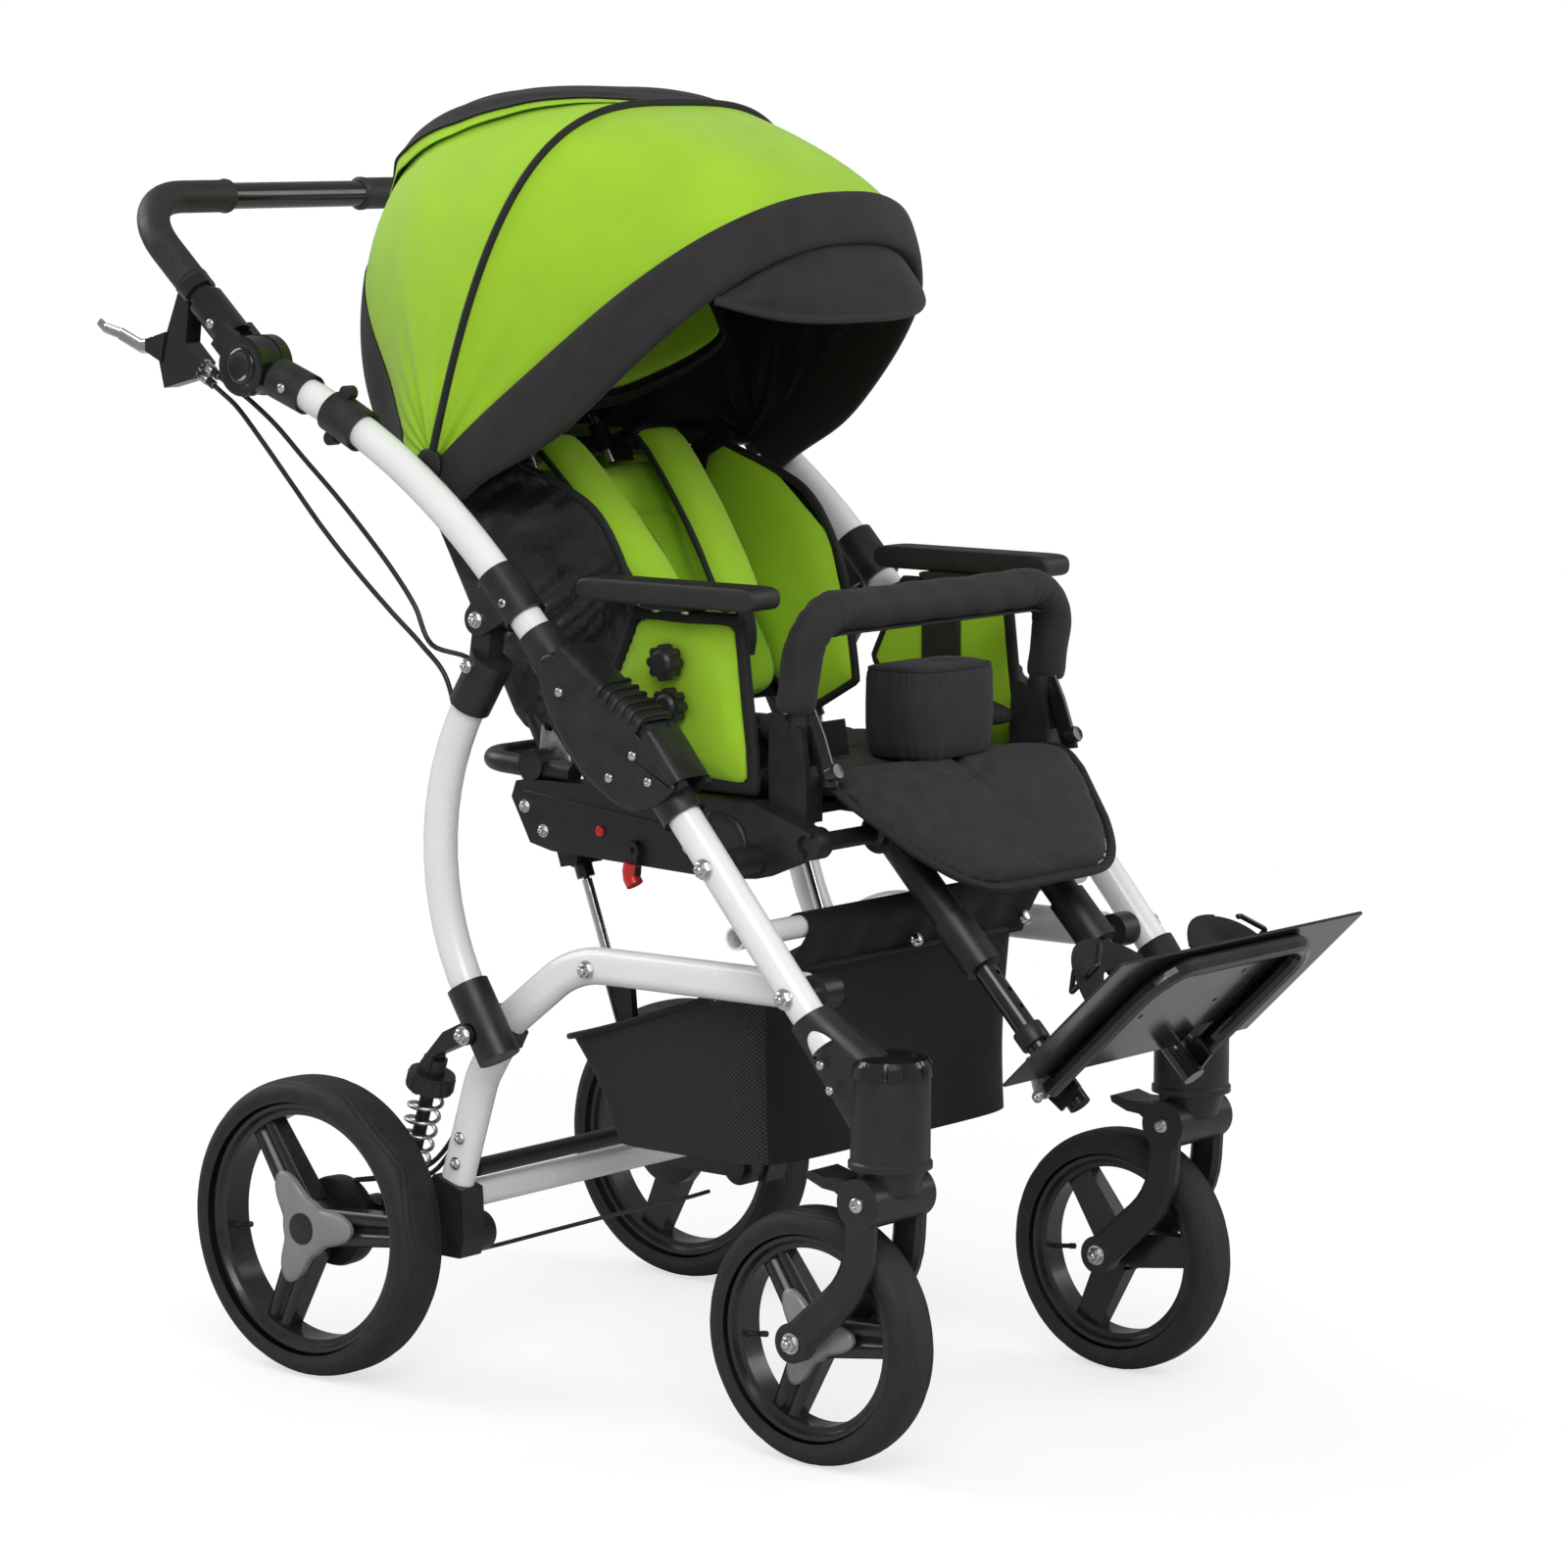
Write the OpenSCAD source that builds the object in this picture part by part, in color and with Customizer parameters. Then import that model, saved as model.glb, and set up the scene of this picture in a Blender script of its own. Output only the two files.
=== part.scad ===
// Special needs buggy: folding push frame, tilting seat unit, canopy, basket and footrest.
// X points to the child's left, Y to the rear, Z up. The origin lies on the floor under the
// middle of the buggy. Side points are written as [y, z].

/* [Frame] */
// Half distance between the side tubes, centre to centre
frame_x = 272; // [262:1:282]
// Outer radius of the white side tubes
tube_r = 16.5; // [15:0.5:18]
// Wall of every steel tube
tube_wall = 2; // [1.5:0.1:2.6]
// Length of the front tube below the fold housing
front_len = 300; // [290:1:310]
// Slope of the front tube from level
front_slope = 49; // [47:0.5:51]
// Radius of the long bend in the upper tube
upper_bend = 720; // [600:10:760]
// Radius of the bowed rear leg
leg_bend = 270; // [240:5:275]
// Half thickness of the fold housing across the frame
housing_half = 21; // [20:0.5:22]
// Radius of the fold housing round its pivot
housing_r = 32; // [28:1:34]
// Radius of the pivot pins
pin_r = 6; // [5:0.5:7]

/* [Lower frame] */
// Half distance between the lower arms, centre to centre
arm_x = 235; // [233:0.5:236]
// Width of the oval arm across the frame
arm_w = 25; // [22:1:26]
// Height of the oval arm
arm_h = 36; // [30:1:40]
// Height of the swing arm pivot and of the rear axle
axle_z = 150; // [140:1:160]
// Turns of each suspension spring
spring_turns = 7; // [4:1:10]
// Radius of a suspension spring to the middle of its wire
spring_r = 16; // [14:0.5:17]
// Radius of the spring wire
wire_r = 2; // [1.5:0.1:2.4]

/* [Wheels] */
// Half distance between the rear wheels
rear_x = 286; // [284:1:296]
// Rear axle behind the origin
rear_y = 305; // [300:1:312]
// Width of a rear tyre
rear_w = 61; // [52:1:62]
// Radius of a front tyre
front_r = 121.5; // [116:0.5:124]
// Width of a front tyre
front_w = 51; // [44:1:53]
// Half distance between the casters
caster_x = 240; // [236:1:244]
// Distance of the front axle behind the caster stem
caster_trail = 82; // [76:1:86]
// Radius of a caster housing
caster_r = 37; // [34:0.5:38]
// Radius of a caster stem
stem_r = 10; // [8:0.5:12]
// Depth of the tyre outside its rim
tyre_depth = 23; // [18:1:24]

/* [Handle] */
// Length of the push handle from its hinge
handle_len = 242; // [230:1:250]
// Slope of the push handle
handle_slope = 42; // [36:1:46]
// Radius of the handle bar
bar_r = 13.5; // [12:0.5:14]
// Thickness of the handle grip sleeves
grip_t = 3.5; // [2:0.5:4]
// Bend radius at the handle corners
handle_bend = 75; // [60:1:90]

/* [Seat] */
// Thickness of a seat rail
rail_t = 24; // [20:1:26]
// Half width of the seat cushion
seat_half = 171; // [160:1:173]
// Thickness of the seat cushion at its crown
cushion_t = 36; // [28:1:37]
// Half width of the pommel
pommel_half = 62; // [50:1:70]
// Width of an armrest pad
armrest_w = 44; // [38:1:44]
// Length of an armrest pad
armrest_len = 220; // [200:1:222]
// Length of the backrest tubes
back_len = 330; // [325:1:345]
// Slope of the backrest
back_slope = 60.4; // [57:0.2:64]
// Half width of the back cushion
back_half = 156; // [140:1:158]
// Radius of the padded bumper bar
bumper_r = 19; // [16:0.5:19.5]

/* [Footrest] */
// Half distance between the legrest tubes
leg_x = 92; // [86:1:98]
// Radius of the legrest tubes
leg_r = 11; // [9:0.5:12]
// Length from the legrest hinge to the footplate
leg_len = 297; // [280:1:310]
// Slope of the legrest
leg_slope = 46.2; // [44:0.2:50]
// Depth of the footplate
plate_len = 195; // [170:1:200]
// Half width of the footplate
plate_half = 195; // [175:1:198]
// Thickness of the footplate sheet
plate_t = 3; // [2:0.5:4]
// Radius of the bolt holes in the footplate
plate_hole_r = 3; // [2:0.25:3.5]

/* [Canopy] */
// Half width of the canopy
canopy_half = 236; // [228:1:240]
// Radius of the canopy at the middle bow
canopy_r = 360; // [340:1:375]
// Reach of the front bow beyond the middle bow
canopy_reach = 48; // [36:1:60]
// Thickness of the canopy cloth solids
cloth_t = 3; // [2:0.5:3.5]

/* [Basket] */
// Half width of the basket
basket_half = 208; // [190:1:212]
// Height of the basket floor
basket_z = 258; // [250:1:260]
// Thickness of the basket walls
basket_t = 3; // [2:0.5:4]

/* [Hidden] */
$fn = 48;

// Running clearance of a pin in its bore, and the gap between neighbouring pieces
fit = 0.05;
gap = 0.3;

white = [0.93, 0.93, 0.92];
black = [0.07, 0.07, 0.07];
gloss = [0.03, 0.03, 0.035];
zinc = [0.75, 0.76, 0.78];
lime = [0.62, 0.80, 0.14];
charcoal = [0.16, 0.15, 0.15];
rubber = [0.09, 0.09, 0.09];
red = [0.85, 0.06, 0.08];

// Main pivots in the side view
fold_pivot = [-108, 662];
arm_pivot = [-297, 444];
seat_pivot = [-201, 555];
leg_top = [80, 769];
leg_foot = [94, 367];
handle_pivot = [390, 1000];
recline_pivot = [80, 622];
legrest_pivot = [-262, 575];
strut_foot = [-33, 275];
strut_top = [62, 532];
swing_pivot = [165, axle_z];
spring_top = [203, 292];
spring_foot = [236, 184];
bumper_pivot = [-230, 665];

// Directions in the side view
function dir(a) = [cos(a), sin(a)];
function unit(v) = v / norm(v);
function cross2(v) = [-v[1], v[0]];
front_dir = dir(front_slope);
front_top = [-149, 615] + 28 * front_dir;
front_low = [-149, 615] - (front_len - 17) * front_dir;
upper_low = [-4, 732];
upper_corner = [174, 921];
upper_end = handle_pivot - 36 * unit(handle_pivot - upper_corner);
upper_dir = unit(upper_corner - upper_low);
tail_dir = unit(handle_pivot - upper_corner);
cheek_t = 8;
housing_in = frame_x - housing_half;
tyre_in = 1.2;

// Placing helpers: a side drawing at x, and a copy on the other side
module side_at(x) translate([x, 0, 0]) rotate([90, 0, 90]) children();
module both() { children(); mirror([1, 0, 0]) children(); }
module at_side(p, x = 0) translate([x, p[0], p[1]]) children();
module along_x() rotate([0, 90, 0]) children();
module tilt_frame(p, a) translate([0, p[0], p[1]]) rotate([a, 0, 0]) children();

// A straight round bar between two points
module bar(p, q, r) {
  d = q - p;
  translate(p) rotate([0, acos(d[2] / norm(d)), atan2(d[1], d[0])]) cylinder(h = norm(d), r = r);
}
function at(x, p) = [x, p[0], p[1]];

// Points round one corner of a path, as an arc of radius r
function corner(a, b, c, r, step) =
  let (u = unit(a - b), v = unit(c - b), half = acos(u * v) / 2, t = r / tan(half),
    m = b + unit(u + v) * r / sin(half), e = (b + u * t - m) / r,
    sweep = 180 - 2 * half, n = max(1, ceil(sweep / step)))
  [for (i = [0:n]) m + r * (e * cos(sweep * i / n) - u * sin(sweep * i / n))];
function bent(p, r, step = 9) = concat([p[0]],
  [for (i = [1:len(p) - 2]) each corner(p[i - 1], p[i], p[i + 1], r, step)], [p[len(p) - 1]]);
function tangent(p, i) = unit(p[min(i + 1, len(p) - 1)] - p[max(i - 1, 0)]);

// Sections of tubes: a ring of points, and an oval of two half rounds
function ring(r, n) = [for (j = [0:n - 1]) r * [cos(360 * j / n), sin(360 * j / n)]];
function oval(w, h, n) = [for (j = [0:n - 1]) let (a = 360 * j / n)
  [w / 2 * cos(a), w / 2 * sin(a) + (sin(a) >= 0 ? 1 : -1) * (h - w) / 2]];

// Rings of a section carried along a path that lies in the plane square to axis
function rings(p, section, axis) = [for (i = [0:len(p) - 1]) let (t = tangent(p, i), m = cross(t, axis))
  [for (s = section) p[i] + s[0] * axis + s[1] * unit(m)]];
function flat(g) = [for (row = g) each row];
function wall_faces(n, m, o, flip) = [for (i = [0:n - 2], j = [0:m - 1])
  let (a = o + i * m + j, b = o + i * m + (j + 1) % m, c = b + m, d = a + m)
  each flip ? [[a, c, d], [a, b, c]] : [[a, d, c], [a, c, b]]];

// A solid bar and a hollow tube along a path
module sweep_bar(p, section, axis) {
  g = rings(p, section, axis);
  n = len(g);
  m = len(section);
  last = n * m + 1;
  polyhedron(concat(flat(g), [p[0], p[n - 1]]), concat(wall_faces(n, m, 0, false),
    [for (j = [0:m - 1]) [last - 1, j, (j + 1) % m]],
    [for (j = [0:m - 1]) [last, (n - 1) * m + (j + 1) % m, (n - 1) * m + j]]));
}
module sweep_tube(p, outer, inner, axis) {
  a = rings(p, outer, axis);
  b = rings(p, inner, axis);
  n = len(a);
  m = len(outer);
  o = n * m;
  e = (n - 1) * m;
  polyhedron(concat(flat(a), flat(b)), concat(wall_faces(n, m, 0, false), wall_faces(n, m, o, true),
    [for (j = [0:m - 1]) let (k = (j + 1) % m) each [[j, k, o + k], [j, o + k, o + j]]],
    [for (j = [0:m - 1]) let (k = (j + 1) % m) each [[e + j, o + e + k, e + k], [e + j, o + e + j, o + e + k]]]));
}

// A closed solid between two sheets of points with the same rows and columns
module slab(top, low) {
  n = len(top);
  m = len(top[0]);
  o = n * m;
  rim = concat([for (j = [0:m - 1]) j], [for (i = [1:n - 1]) i * m + m - 1],
    [for (j = [m - 2:-1:0]) (n - 1) * m + j], [for (i = [n - 2:-1:1]) i * m]);
  k = len(rim);
  polyhedron(concat(flat(top), flat(low)), concat(
    [for (i = [0:n - 2], j = [0:m - 2]) let (a = i * m + j)
      each [[a, a + m, a + m + 1], [a, a + m + 1, a + 1]]],
    [for (i = [0:n - 2], j = [0:m - 2]) let (a = o + i * m + j)
      each [[a, a + m + 1, a + m], [a, a + 1, a + m + 1]]],
    [for (i = [0:k - 1]) let (a = rim[i], b = rim[(i + 1) % k])
      each [[a, b, o + b], [a, o + b, o + a]]]));
}

// A cushion: half sizes a and b, a crown of height t over an edge of height e, sides drawn in
// by pull between the corners, and sewn channels across it at the shares in cuts
function swell(u, v, cuts, depth) = (1 - pow(abs(u), 4)) * (1 - pow(abs(v), 6))
  - depth * max([0, for (c = cuts) exp(-pow((v - c) / 0.09, 2))]) * (1 - pow(abs(u), 4));
function pad_sheet(a, b, e, t, pull, cuts, depth, nu, nv) = [for (i = [0:nv]) [for (j = [0:nu])
  let (u = 1 - 2 * j / nu, v = 1 - 2 * i / nv)
  [a * u * (1 - pull * (1 - v * v)), b * v * (1 - pull * (1 - u * u)), e + (t - e) * swell(u, v, cuts, depth)]]];
module pad(a, b, e, t, pull = 0.04, cuts = [], depth = 0.35, nu = 12, nv = 16, low = 0) {
  top = pad_sheet(a, b, e, t, pull, cuts, depth, nu, nv);
  slab(top, [for (row = top) [for (p = row) [p[0], p[1], low]]]);
}

// A ring on an axis along X, with a bore, from x0 to x1
module eye(p, x0, x1, r, bore) side_at(x0) translate(p) difference() {
  cylinder(h = x1 - x0, r = r);
  translate([0, 0, -1]) cylinder(h = x1 - x0 + 2, r = bore);
}
// A bolt along X: a shank and a round head with a domed nut on its outer end
module bolt(p, x0, x1, r, head) side_at(0) translate(p) {
  translate([0, 0, x0]) cylinder(h = x1 - x0, r = r);
  translate([0, 0, x1]) cylinder(h = 4, r = head);
  translate([0, 0, x1 + 4]) cylinder(h = 3, r = head * 0.6);
}

// Front frame
cross_pos = [-222, 490];
cross_r = 11;
module front_tubes() color(white) {
  both() difference() {
    bar(at(frame_x, front_top), at(frame_x, front_low), tube_r);
    bar(at(frame_x, front_top + 5 * front_dir), at(frame_x, front_low - 5 * front_dir), tube_r - tube_wall);
    for (p = [arm_pivot, seat_pivot])
      side_at(0) translate(p) cylinder(h = 400, r = pin_r + fit);
    side_at(0) translate(cross_pos) cylinder(h = frame_x, r = cross_r + fit);
  }
  difference() {
    bar([-(frame_x - 2), cross_pos[0], cross_pos[1]], [frame_x - 2, cross_pos[0], cross_pos[1]], cross_r);
    bar([-frame_x, cross_pos[0], cross_pos[1]], [frame_x, cross_pos[0], cross_pos[1]], cross_r - tube_wall);
  }
}

// Lower half of the fold housing: a sleeve on the front tube and two cheeks
sleeve_r = tube_r + 5;
module cheek_outline() {
  translate(fold_pivot) circle(housing_r);
  polygon([[-180, 631], [-147, 610], [-127, 603], [-105, 604], [-84, 618], [-90, 640], [-108, 690], [-133, 684]]);
}
module fold_housings() color(black) both() {
  low = [-149, 615] - 22 * front_dir;
  high = [-149, 615] + 20 * front_dir;
  difference() {
    union() {
      bar(at(frame_x, low), at(frame_x, high), sleeve_r);
      for (x = [housing_in, frame_x + housing_half - cheek_t])
        side_at(x) linear_extrude(cheek_t) cheek_outline();
    }
    bar(at(frame_x, low - 20 * front_dir), at(frame_x, front_top + 2 * front_dir), tube_r + gap);
    side_at(0) translate(fold_pivot) cylinder(h = 400, r = pin_r + fit);
  }
}

// Caster housing: stem tube with a domed cap, joined to a sleeve on the front tube
stem_y = -300 - caster_trail;
housing_low = 291;
housing_top = 378;
module caster_housings() color(black) both() difference() {
  union() {
    translate([caster_x, stem_y, housing_low]) cylinder(h = housing_top - housing_low, r = caster_r);
    translate([caster_x, stem_y, housing_top]) cylinder(h = 12, r1 = caster_r + 1, r2 = caster_r - 4);
    translate([caster_x, stem_y, housing_top + 12]) cylinder(h = 4, r = caster_r - 14);
    hull() {
      bar(at(frame_x - 2, front_low + 32 * front_dir), at(frame_x - 2, front_low + 28 * front_dir), sleeve_r);
      translate([caster_x, stem_y + 8, housing_low + 30]) cylinder(h = 54, r = caster_r - 9, $fn = 32);
    }
  }
  bar(at(frame_x, front_low - 4 * front_dir), at(frame_x, front_low + 80 * front_dir), tube_r + gap);
  translate([caster_x, stem_y, housing_low - 1]) cylinder(h = 72, r = stem_r + fit);
}
module frame_bolts() color(zinc) both() {
  side_at(0) translate(fold_pivot) translate([0, 0, housing_in]) cylinder(h = 2 * housing_half, r = pin_r);
  bolt(arm_pivot, arm_x - arm_w / 2 - 1, frame_x + tube_r + 1, pin_r, 9);
  bolt(seat_pivot, seat_half + 24, frame_x + tube_r + 1, pin_r, 9);
}

// Upper frame: bent tubes, upper half of the fold housing, leg connector, handle knuckle
upper_path = [for (p = bent([upper_low, upper_corner, upper_end], upper_bend, 5.5)) at(frame_x, p)];
module upper_tubes() color(white) both()
  sweep_tube(upper_path, ring(tube_r, 16), ring(tube_r - tube_wall, 16), [1, 0, 0]);

connector_mid = upper_low + 82 * upper_dir;
ear_t = 9;
module sleeve_on(p, d, len, r, bore) difference() {
  bar(at(frame_x, p - len / 2 * d), at(frame_x, p + len / 2 * d), r);
  bar(at(frame_x, p - len * d), at(frame_x, p + len * d), bore);
}
knuckle_r = 30;
tongue_half = 8;
module upper_fittings() color(black) both() {
  // upper half of the fold housing
  difference() {
    union() {
      side_at(housing_in + cheek_t + gap) linear_extrude(2 * (housing_half - cheek_t - gap)) {
        translate(fold_pivot) circle(housing_r - 1);
        polygon([[-84, 642], [-46, 660], [8, 704], [-28, 742], [-108, 692]]);
      }
      side_at(housing_in) linear_extrude(2 * housing_half)
        polygon([[-75, 716], [-30, 752], [4, 731], [-13, 678], [-57, 628], [-68, 640], [-70, 664], [-80, 696]]);
      bar(at(frame_x, upper_low - 26 * upper_dir), at(frame_x, upper_low + 34 * upper_dir), sleeve_r);
    }
    bar(at(frame_x, upper_low - gap * upper_dir), at(frame_x, upper_low + 80 * upper_dir), tube_r + 2 * gap);
    side_at(0) translate(fold_pivot) cylinder(h = 400, r = pin_r + fit);
    side_at(0) translate(fold_pivot) cylinder(h = housing_in + cheek_t + gap, r = housing_r + 4);
    side_at(frame_x + housing_half - cheek_t - gap) translate(fold_pivot) cylinder(h = 100, r = housing_r + 4);
  }
  // connector that carries the rear leg
  difference() {
    union() {
      bar(at(frame_x, connector_mid - 27 * upper_dir), at(frame_x, connector_mid + 27 * upper_dir), sleeve_r);
      for (x = [-1, 1]) side_at(frame_x + x * 15.2 - ear_t / 2) linear_extrude(ear_t) {
        translate(leg_top) circle(15);
        polygon([leg_top + [-8, -14], leg_top + [14, 6], connector_mid + 24 * upper_dir, connector_mid - 24 * upper_dir]);
      }
    }
    bar(at(frame_x, connector_mid - 80 * upper_dir), at(frame_x, connector_mid + 80 * upper_dir), tube_r + 4 * gap);
  }
  side_at(0) translate(leg_top) translate([0, 0, frame_x - 19]) cylinder(h = 38, r = pin_r - 1);
  // knuckle of the handle hinge
  difference() {
    union() {
      bar(at(frame_x, handle_pivot - 78 * tail_dir), at(frame_x, handle_pivot - 34 * tail_dir), sleeve_r - 1);
      side_at(frame_x - tongue_half) linear_extrude(2 * tongue_half) {
        translate(handle_pivot) circle(knuckle_r - 1);
        polygon([handle_pivot + 14 * cross2(tail_dir), handle_pivot - 14 * cross2(tail_dir),
          handle_pivot - 40 * tail_dir - 14 * cross2(tail_dir), handle_pivot - 40 * tail_dir + 14 * cross2(tail_dir)]);
      }
    }
    bar(at(frame_x, handle_pivot - 120 * tail_dir), at(frame_x, upper_end + gap * tail_dir), tube_r + 2 * gap);
    side_at(0) translate(handle_pivot) cylinder(h = 400, r = pin_r + fit);
  }
}

// Locking sliders that release the fold, one round each upper tube
bend_half = (atan2(upper_dir[1], upper_dir[0]) - atan2(tail_dir[1], tail_dir[0])) / 2;
bend_end = upper_corner + upper_bend * tan(bend_half) * tail_dir;
slider_back = 76;
slider_turn = slider_back / upper_bend * 180 / PI;
slider_dir = dir(atan2(tail_dir[1], tail_dir[0]) + slider_turn);
slider_mid = bend_end - upper_bend * sin(slider_turn) * tail_dir - upper_bend * (1 - cos(slider_turn)) * cross2(tail_dir);
module fold_sliders() color(black) both() difference() {
  union() {
    bar(at(frame_x, slider_mid - 22 * slider_dir), at(frame_x, slider_mid + 22 * slider_dir), sleeve_r);
    for (s = [-1, 1]) side_at(frame_x - 6) translate(slider_mid + 12 * slider_dir + s * 25 * cross2(slider_dir))
      cylinder(h = 12, r = 7);
  }
  bar(at(frame_x, slider_mid - 60 * slider_dir), at(frame_x, slider_mid + 60 * slider_dir), tube_r + 5 * gap);
}

// Push handle, drawn in its own plane: x, distance from the hinge, height over the plane
handle_path = bent([[frame_x, 40, 0], [frame_x, handle_len, 0], [-frame_x, handle_len, 0], [-frame_x, 40, 0]],
  handle_bend, 12);
grip_path = bent([[frame_x, 122, 0], [frame_x, handle_len, 0], [130, handle_len, 0]], handle_bend, 12);
module in_handle() tilt_frame(handle_pivot, handle_slope) children();
module handle_bar() color(gloss) in_handle()
  sweep_tube(handle_path, ring(bar_r, 14), ring(bar_r - tube_wall, 14), [0, 0, 1]);
module handle_grips() color(charcoal) in_handle() both()
  sweep_tube(grip_path, ring(bar_r + grip_t, 14), ring(bar_r + gap, 14), [0, 0, 1]);
hinge_cheek_t = 13;
module handle_hinges() color(gloss) both() {
  difference() {
    union() {
      for (s = [-1, 1]) side_at(frame_x + s * (tongue_half + gap + hinge_cheek_t / 2) - hinge_cheek_t / 2)
        translate(handle_pivot) cylinder(h = hinge_cheek_t, r = knuckle_r);
      in_handle() for (s = [-1, 1])
        translate([frame_x + s * (tongue_half + gap + 5.5) - 5.5, 20, -14]) cube([11, 26, 28]);
      in_handle() bar([frame_x, 38, 0], [frame_x, 92, 0], bar_r + 5);
    }
    in_handle() bar([frame_x, 39, 0], [frame_x, 140, 0], bar_r + gap);
    side_at(frame_x + tongue_half + gap + hinge_cheek_t - 6) translate(handle_pivot) cylinder(h = 20, r = 18 + fit);
  }
  side_at(0) translate(handle_pivot) translate([0, 0, frame_x - tongue_half - 1])
    cylinder(h = 2 * tongue_half + 2, r = pin_r);
}
module hinge_button(s) color(gloss) mirror([s < 0 ? 1 : 0, 0, 0])
  side_at(frame_x + tongue_half + gap + hinge_cheek_t - 2) translate(handle_pivot) {
    cylinder(h = 4, r = 18);
    translate([0, 0, 4]) cylinder(h = 1, r1 = 18, r2 = 16);
  }
module hinge_button_left() hinge_button(1);
module hinge_button_right() hinge_button(-1);

// Brake: bracket under the right-hand grip, lever and cable adjusters
bracket_s = 112;
lever_pivot = [528, 1016];
function on_handle(s, n) = handle_pivot + s * dir(handle_slope) + n * dir(handle_slope + 90);
module brake_bracket() color(gloss) {
  difference() {
    union() {
      in_handle() bar([-frame_x, bracket_s - 9, 0], [-frame_x, bracket_s + 9, 0], bar_r + 4);
      side_at(-frame_x - 10) linear_extrude(20)
        polygon([on_handle(bracket_s - 9, -10), on_handle(bracket_s + 9, -10), [505, 1030], [518, 1024],
          [518, 1006], [510, 974], [470, 984], [456, 1000], [478, 1020]]);
    }
    in_handle() bar([-frame_x, bracket_s - 30, 0], [-frame_x, bracket_s + 30, 0], bar_r + gap);
  }
  side_at(-frame_x - 10) translate(lever_pivot) cylinder(h = 20, r = 4);
  for (s = [-1, 1]) side_at(-frame_x + s * 11 - 1.5) linear_extrude(3)
    polygon([[505, 1030], lever_pivot + [6, 6], lever_pivot + [6, -6], [512, 1000]]);
  for (i = [0, 1]) side_at(-frame_x) translate([470.3 - 7 * i, 990.5 + 9 * i])
    rotate(210) along_x() cylinder(h = 24, r = 4.5);
}
module brake_lever() color(zinc) difference() {
  side_at(-frame_x - 7) linear_extrude(14) {
    translate(lever_pivot) circle(8);
    polygon([lever_pivot + [2, 8], lever_pivot + [2, -8], [560, 1010], [580, 1022], [606, 1028], [612, 1036],
      [604, 1040], [578, 1032], [556, 1022]]);
  }
  side_at(-500) translate(lever_pivot) cylinder(h = 500, r = 4 + fit);
}

// Rear legs with their top cap and foot shoe
leg_start = [89, 712];
leg_end = [104, 396];
leg_path = [for (p = bent([leg_start, [196, 544], leg_end], leg_bend, 9)) at(frame_x, p)];
leg_top_dir = unit([196, 544] - leg_start);
leg_low_dir = unit(leg_end - [196, 544]);
module rear_legs() color(white) both()
  sweep_tube(leg_path, ring(tube_r, 16), ring(tube_r - tube_wall, 16), [1, 0, 0]);
cap_dir = unit(leg_start - leg_top);
module leg_end_caps() color(black) both() {
  difference() {
    union() {
      bar(at(frame_x, leg_start - 22 * leg_top_dir), at(frame_x, leg_start + 34 * leg_top_dir), tube_r + 4.5);
      side_at(frame_x - 10) linear_extrude(20) {
        translate(leg_top) circle(13);
        polygon([leg_top + 12 * cross2(cap_dir), leg_top - 12 * cross2(cap_dir),
          leg_top + 46 * cap_dir - 12 * cross2(cap_dir), leg_top + 46 * cap_dir + 12 * cross2(cap_dir)]);
      }
    }
    bar(at(frame_x, leg_start - gap * leg_top_dir), at(frame_x, leg_start + 80 * leg_top_dir), tube_r + 3 * gap);
    side_at(0) translate(leg_top) cylinder(h = 400, r = pin_r - 1 + fit);
  }
  difference() {
    bar(at(frame_x, leg_end - 17 * leg_low_dir), at(frame_x, leg_end + 62 * leg_low_dir), tube_r + 4.5);
    bar(at(frame_x, leg_end - 60 * leg_low_dir), at(frame_x, leg_end + gap * leg_low_dir), tube_r + 3 * gap);
    side_at(0) translate(leg_foot) cylinder(h = 400, r = pin_r + 5);
  }
}

// Brake cables: from the adjusters, in a bow behind the upper tube, then down the inner back of the leg
cable_r = 2.5;
cable_bows = [
  [[-272, 449, 978], [-273, 438, 972], [-274, 414, 957], [-276, 380, 927], [-277, 340, 888],
    [-277, 298, 846], [-274, 256, 806], [-269, 214, 768], [-263, 178, 736], [-258, 150, 704]],
  [[-272, 442, 987], [-270, 430, 980], [-269, 404, 966], [-268, 368, 942], [-267, 330, 910],
    [-267, 290, 878], [-268, 250, 844], [-268, 212, 808], [-268, 182, 774], [-268, 160, 738]]];
cable_offsets = [[14.8, 14.8], [4.2, 20.6]];
function leg_back(i) = let (t = tangent(leg_path, i)) [0, -t[2], t[1]];
function leg_side(i, o) = [-frame_x + o[0], leg_path[i][1], leg_path[i][2]] + o[1] * leg_back(i);
function lerp_path(p, k) = [for (i = [0:(len(p) - 1) * k]) let (a = floor(i / k), f = i / k - a,
  b = min(a + 1, len(p) - 1), z = max(a - 1, 0), c = min(a + 2, len(p) - 1))
  0.5 * (2 * p[a] + f * (p[b] - p[z]) + f * f * (2 * p[z] - 5 * p[a] + 4 * p[b] - p[c])
    + f * f * f * (3 * p[a] - p[z] - 3 * p[b] + p[c]))];
module brake_cables() color(black) for (k = [0, 1]) sweep_bar(lerp_path(concat(cable_bows[k],
  [for (i = [2:len(leg_path) - 3]) leg_side(i, cable_offsets[k])]), 2), ring(cable_r, 6), [1, 0, 0]);

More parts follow.
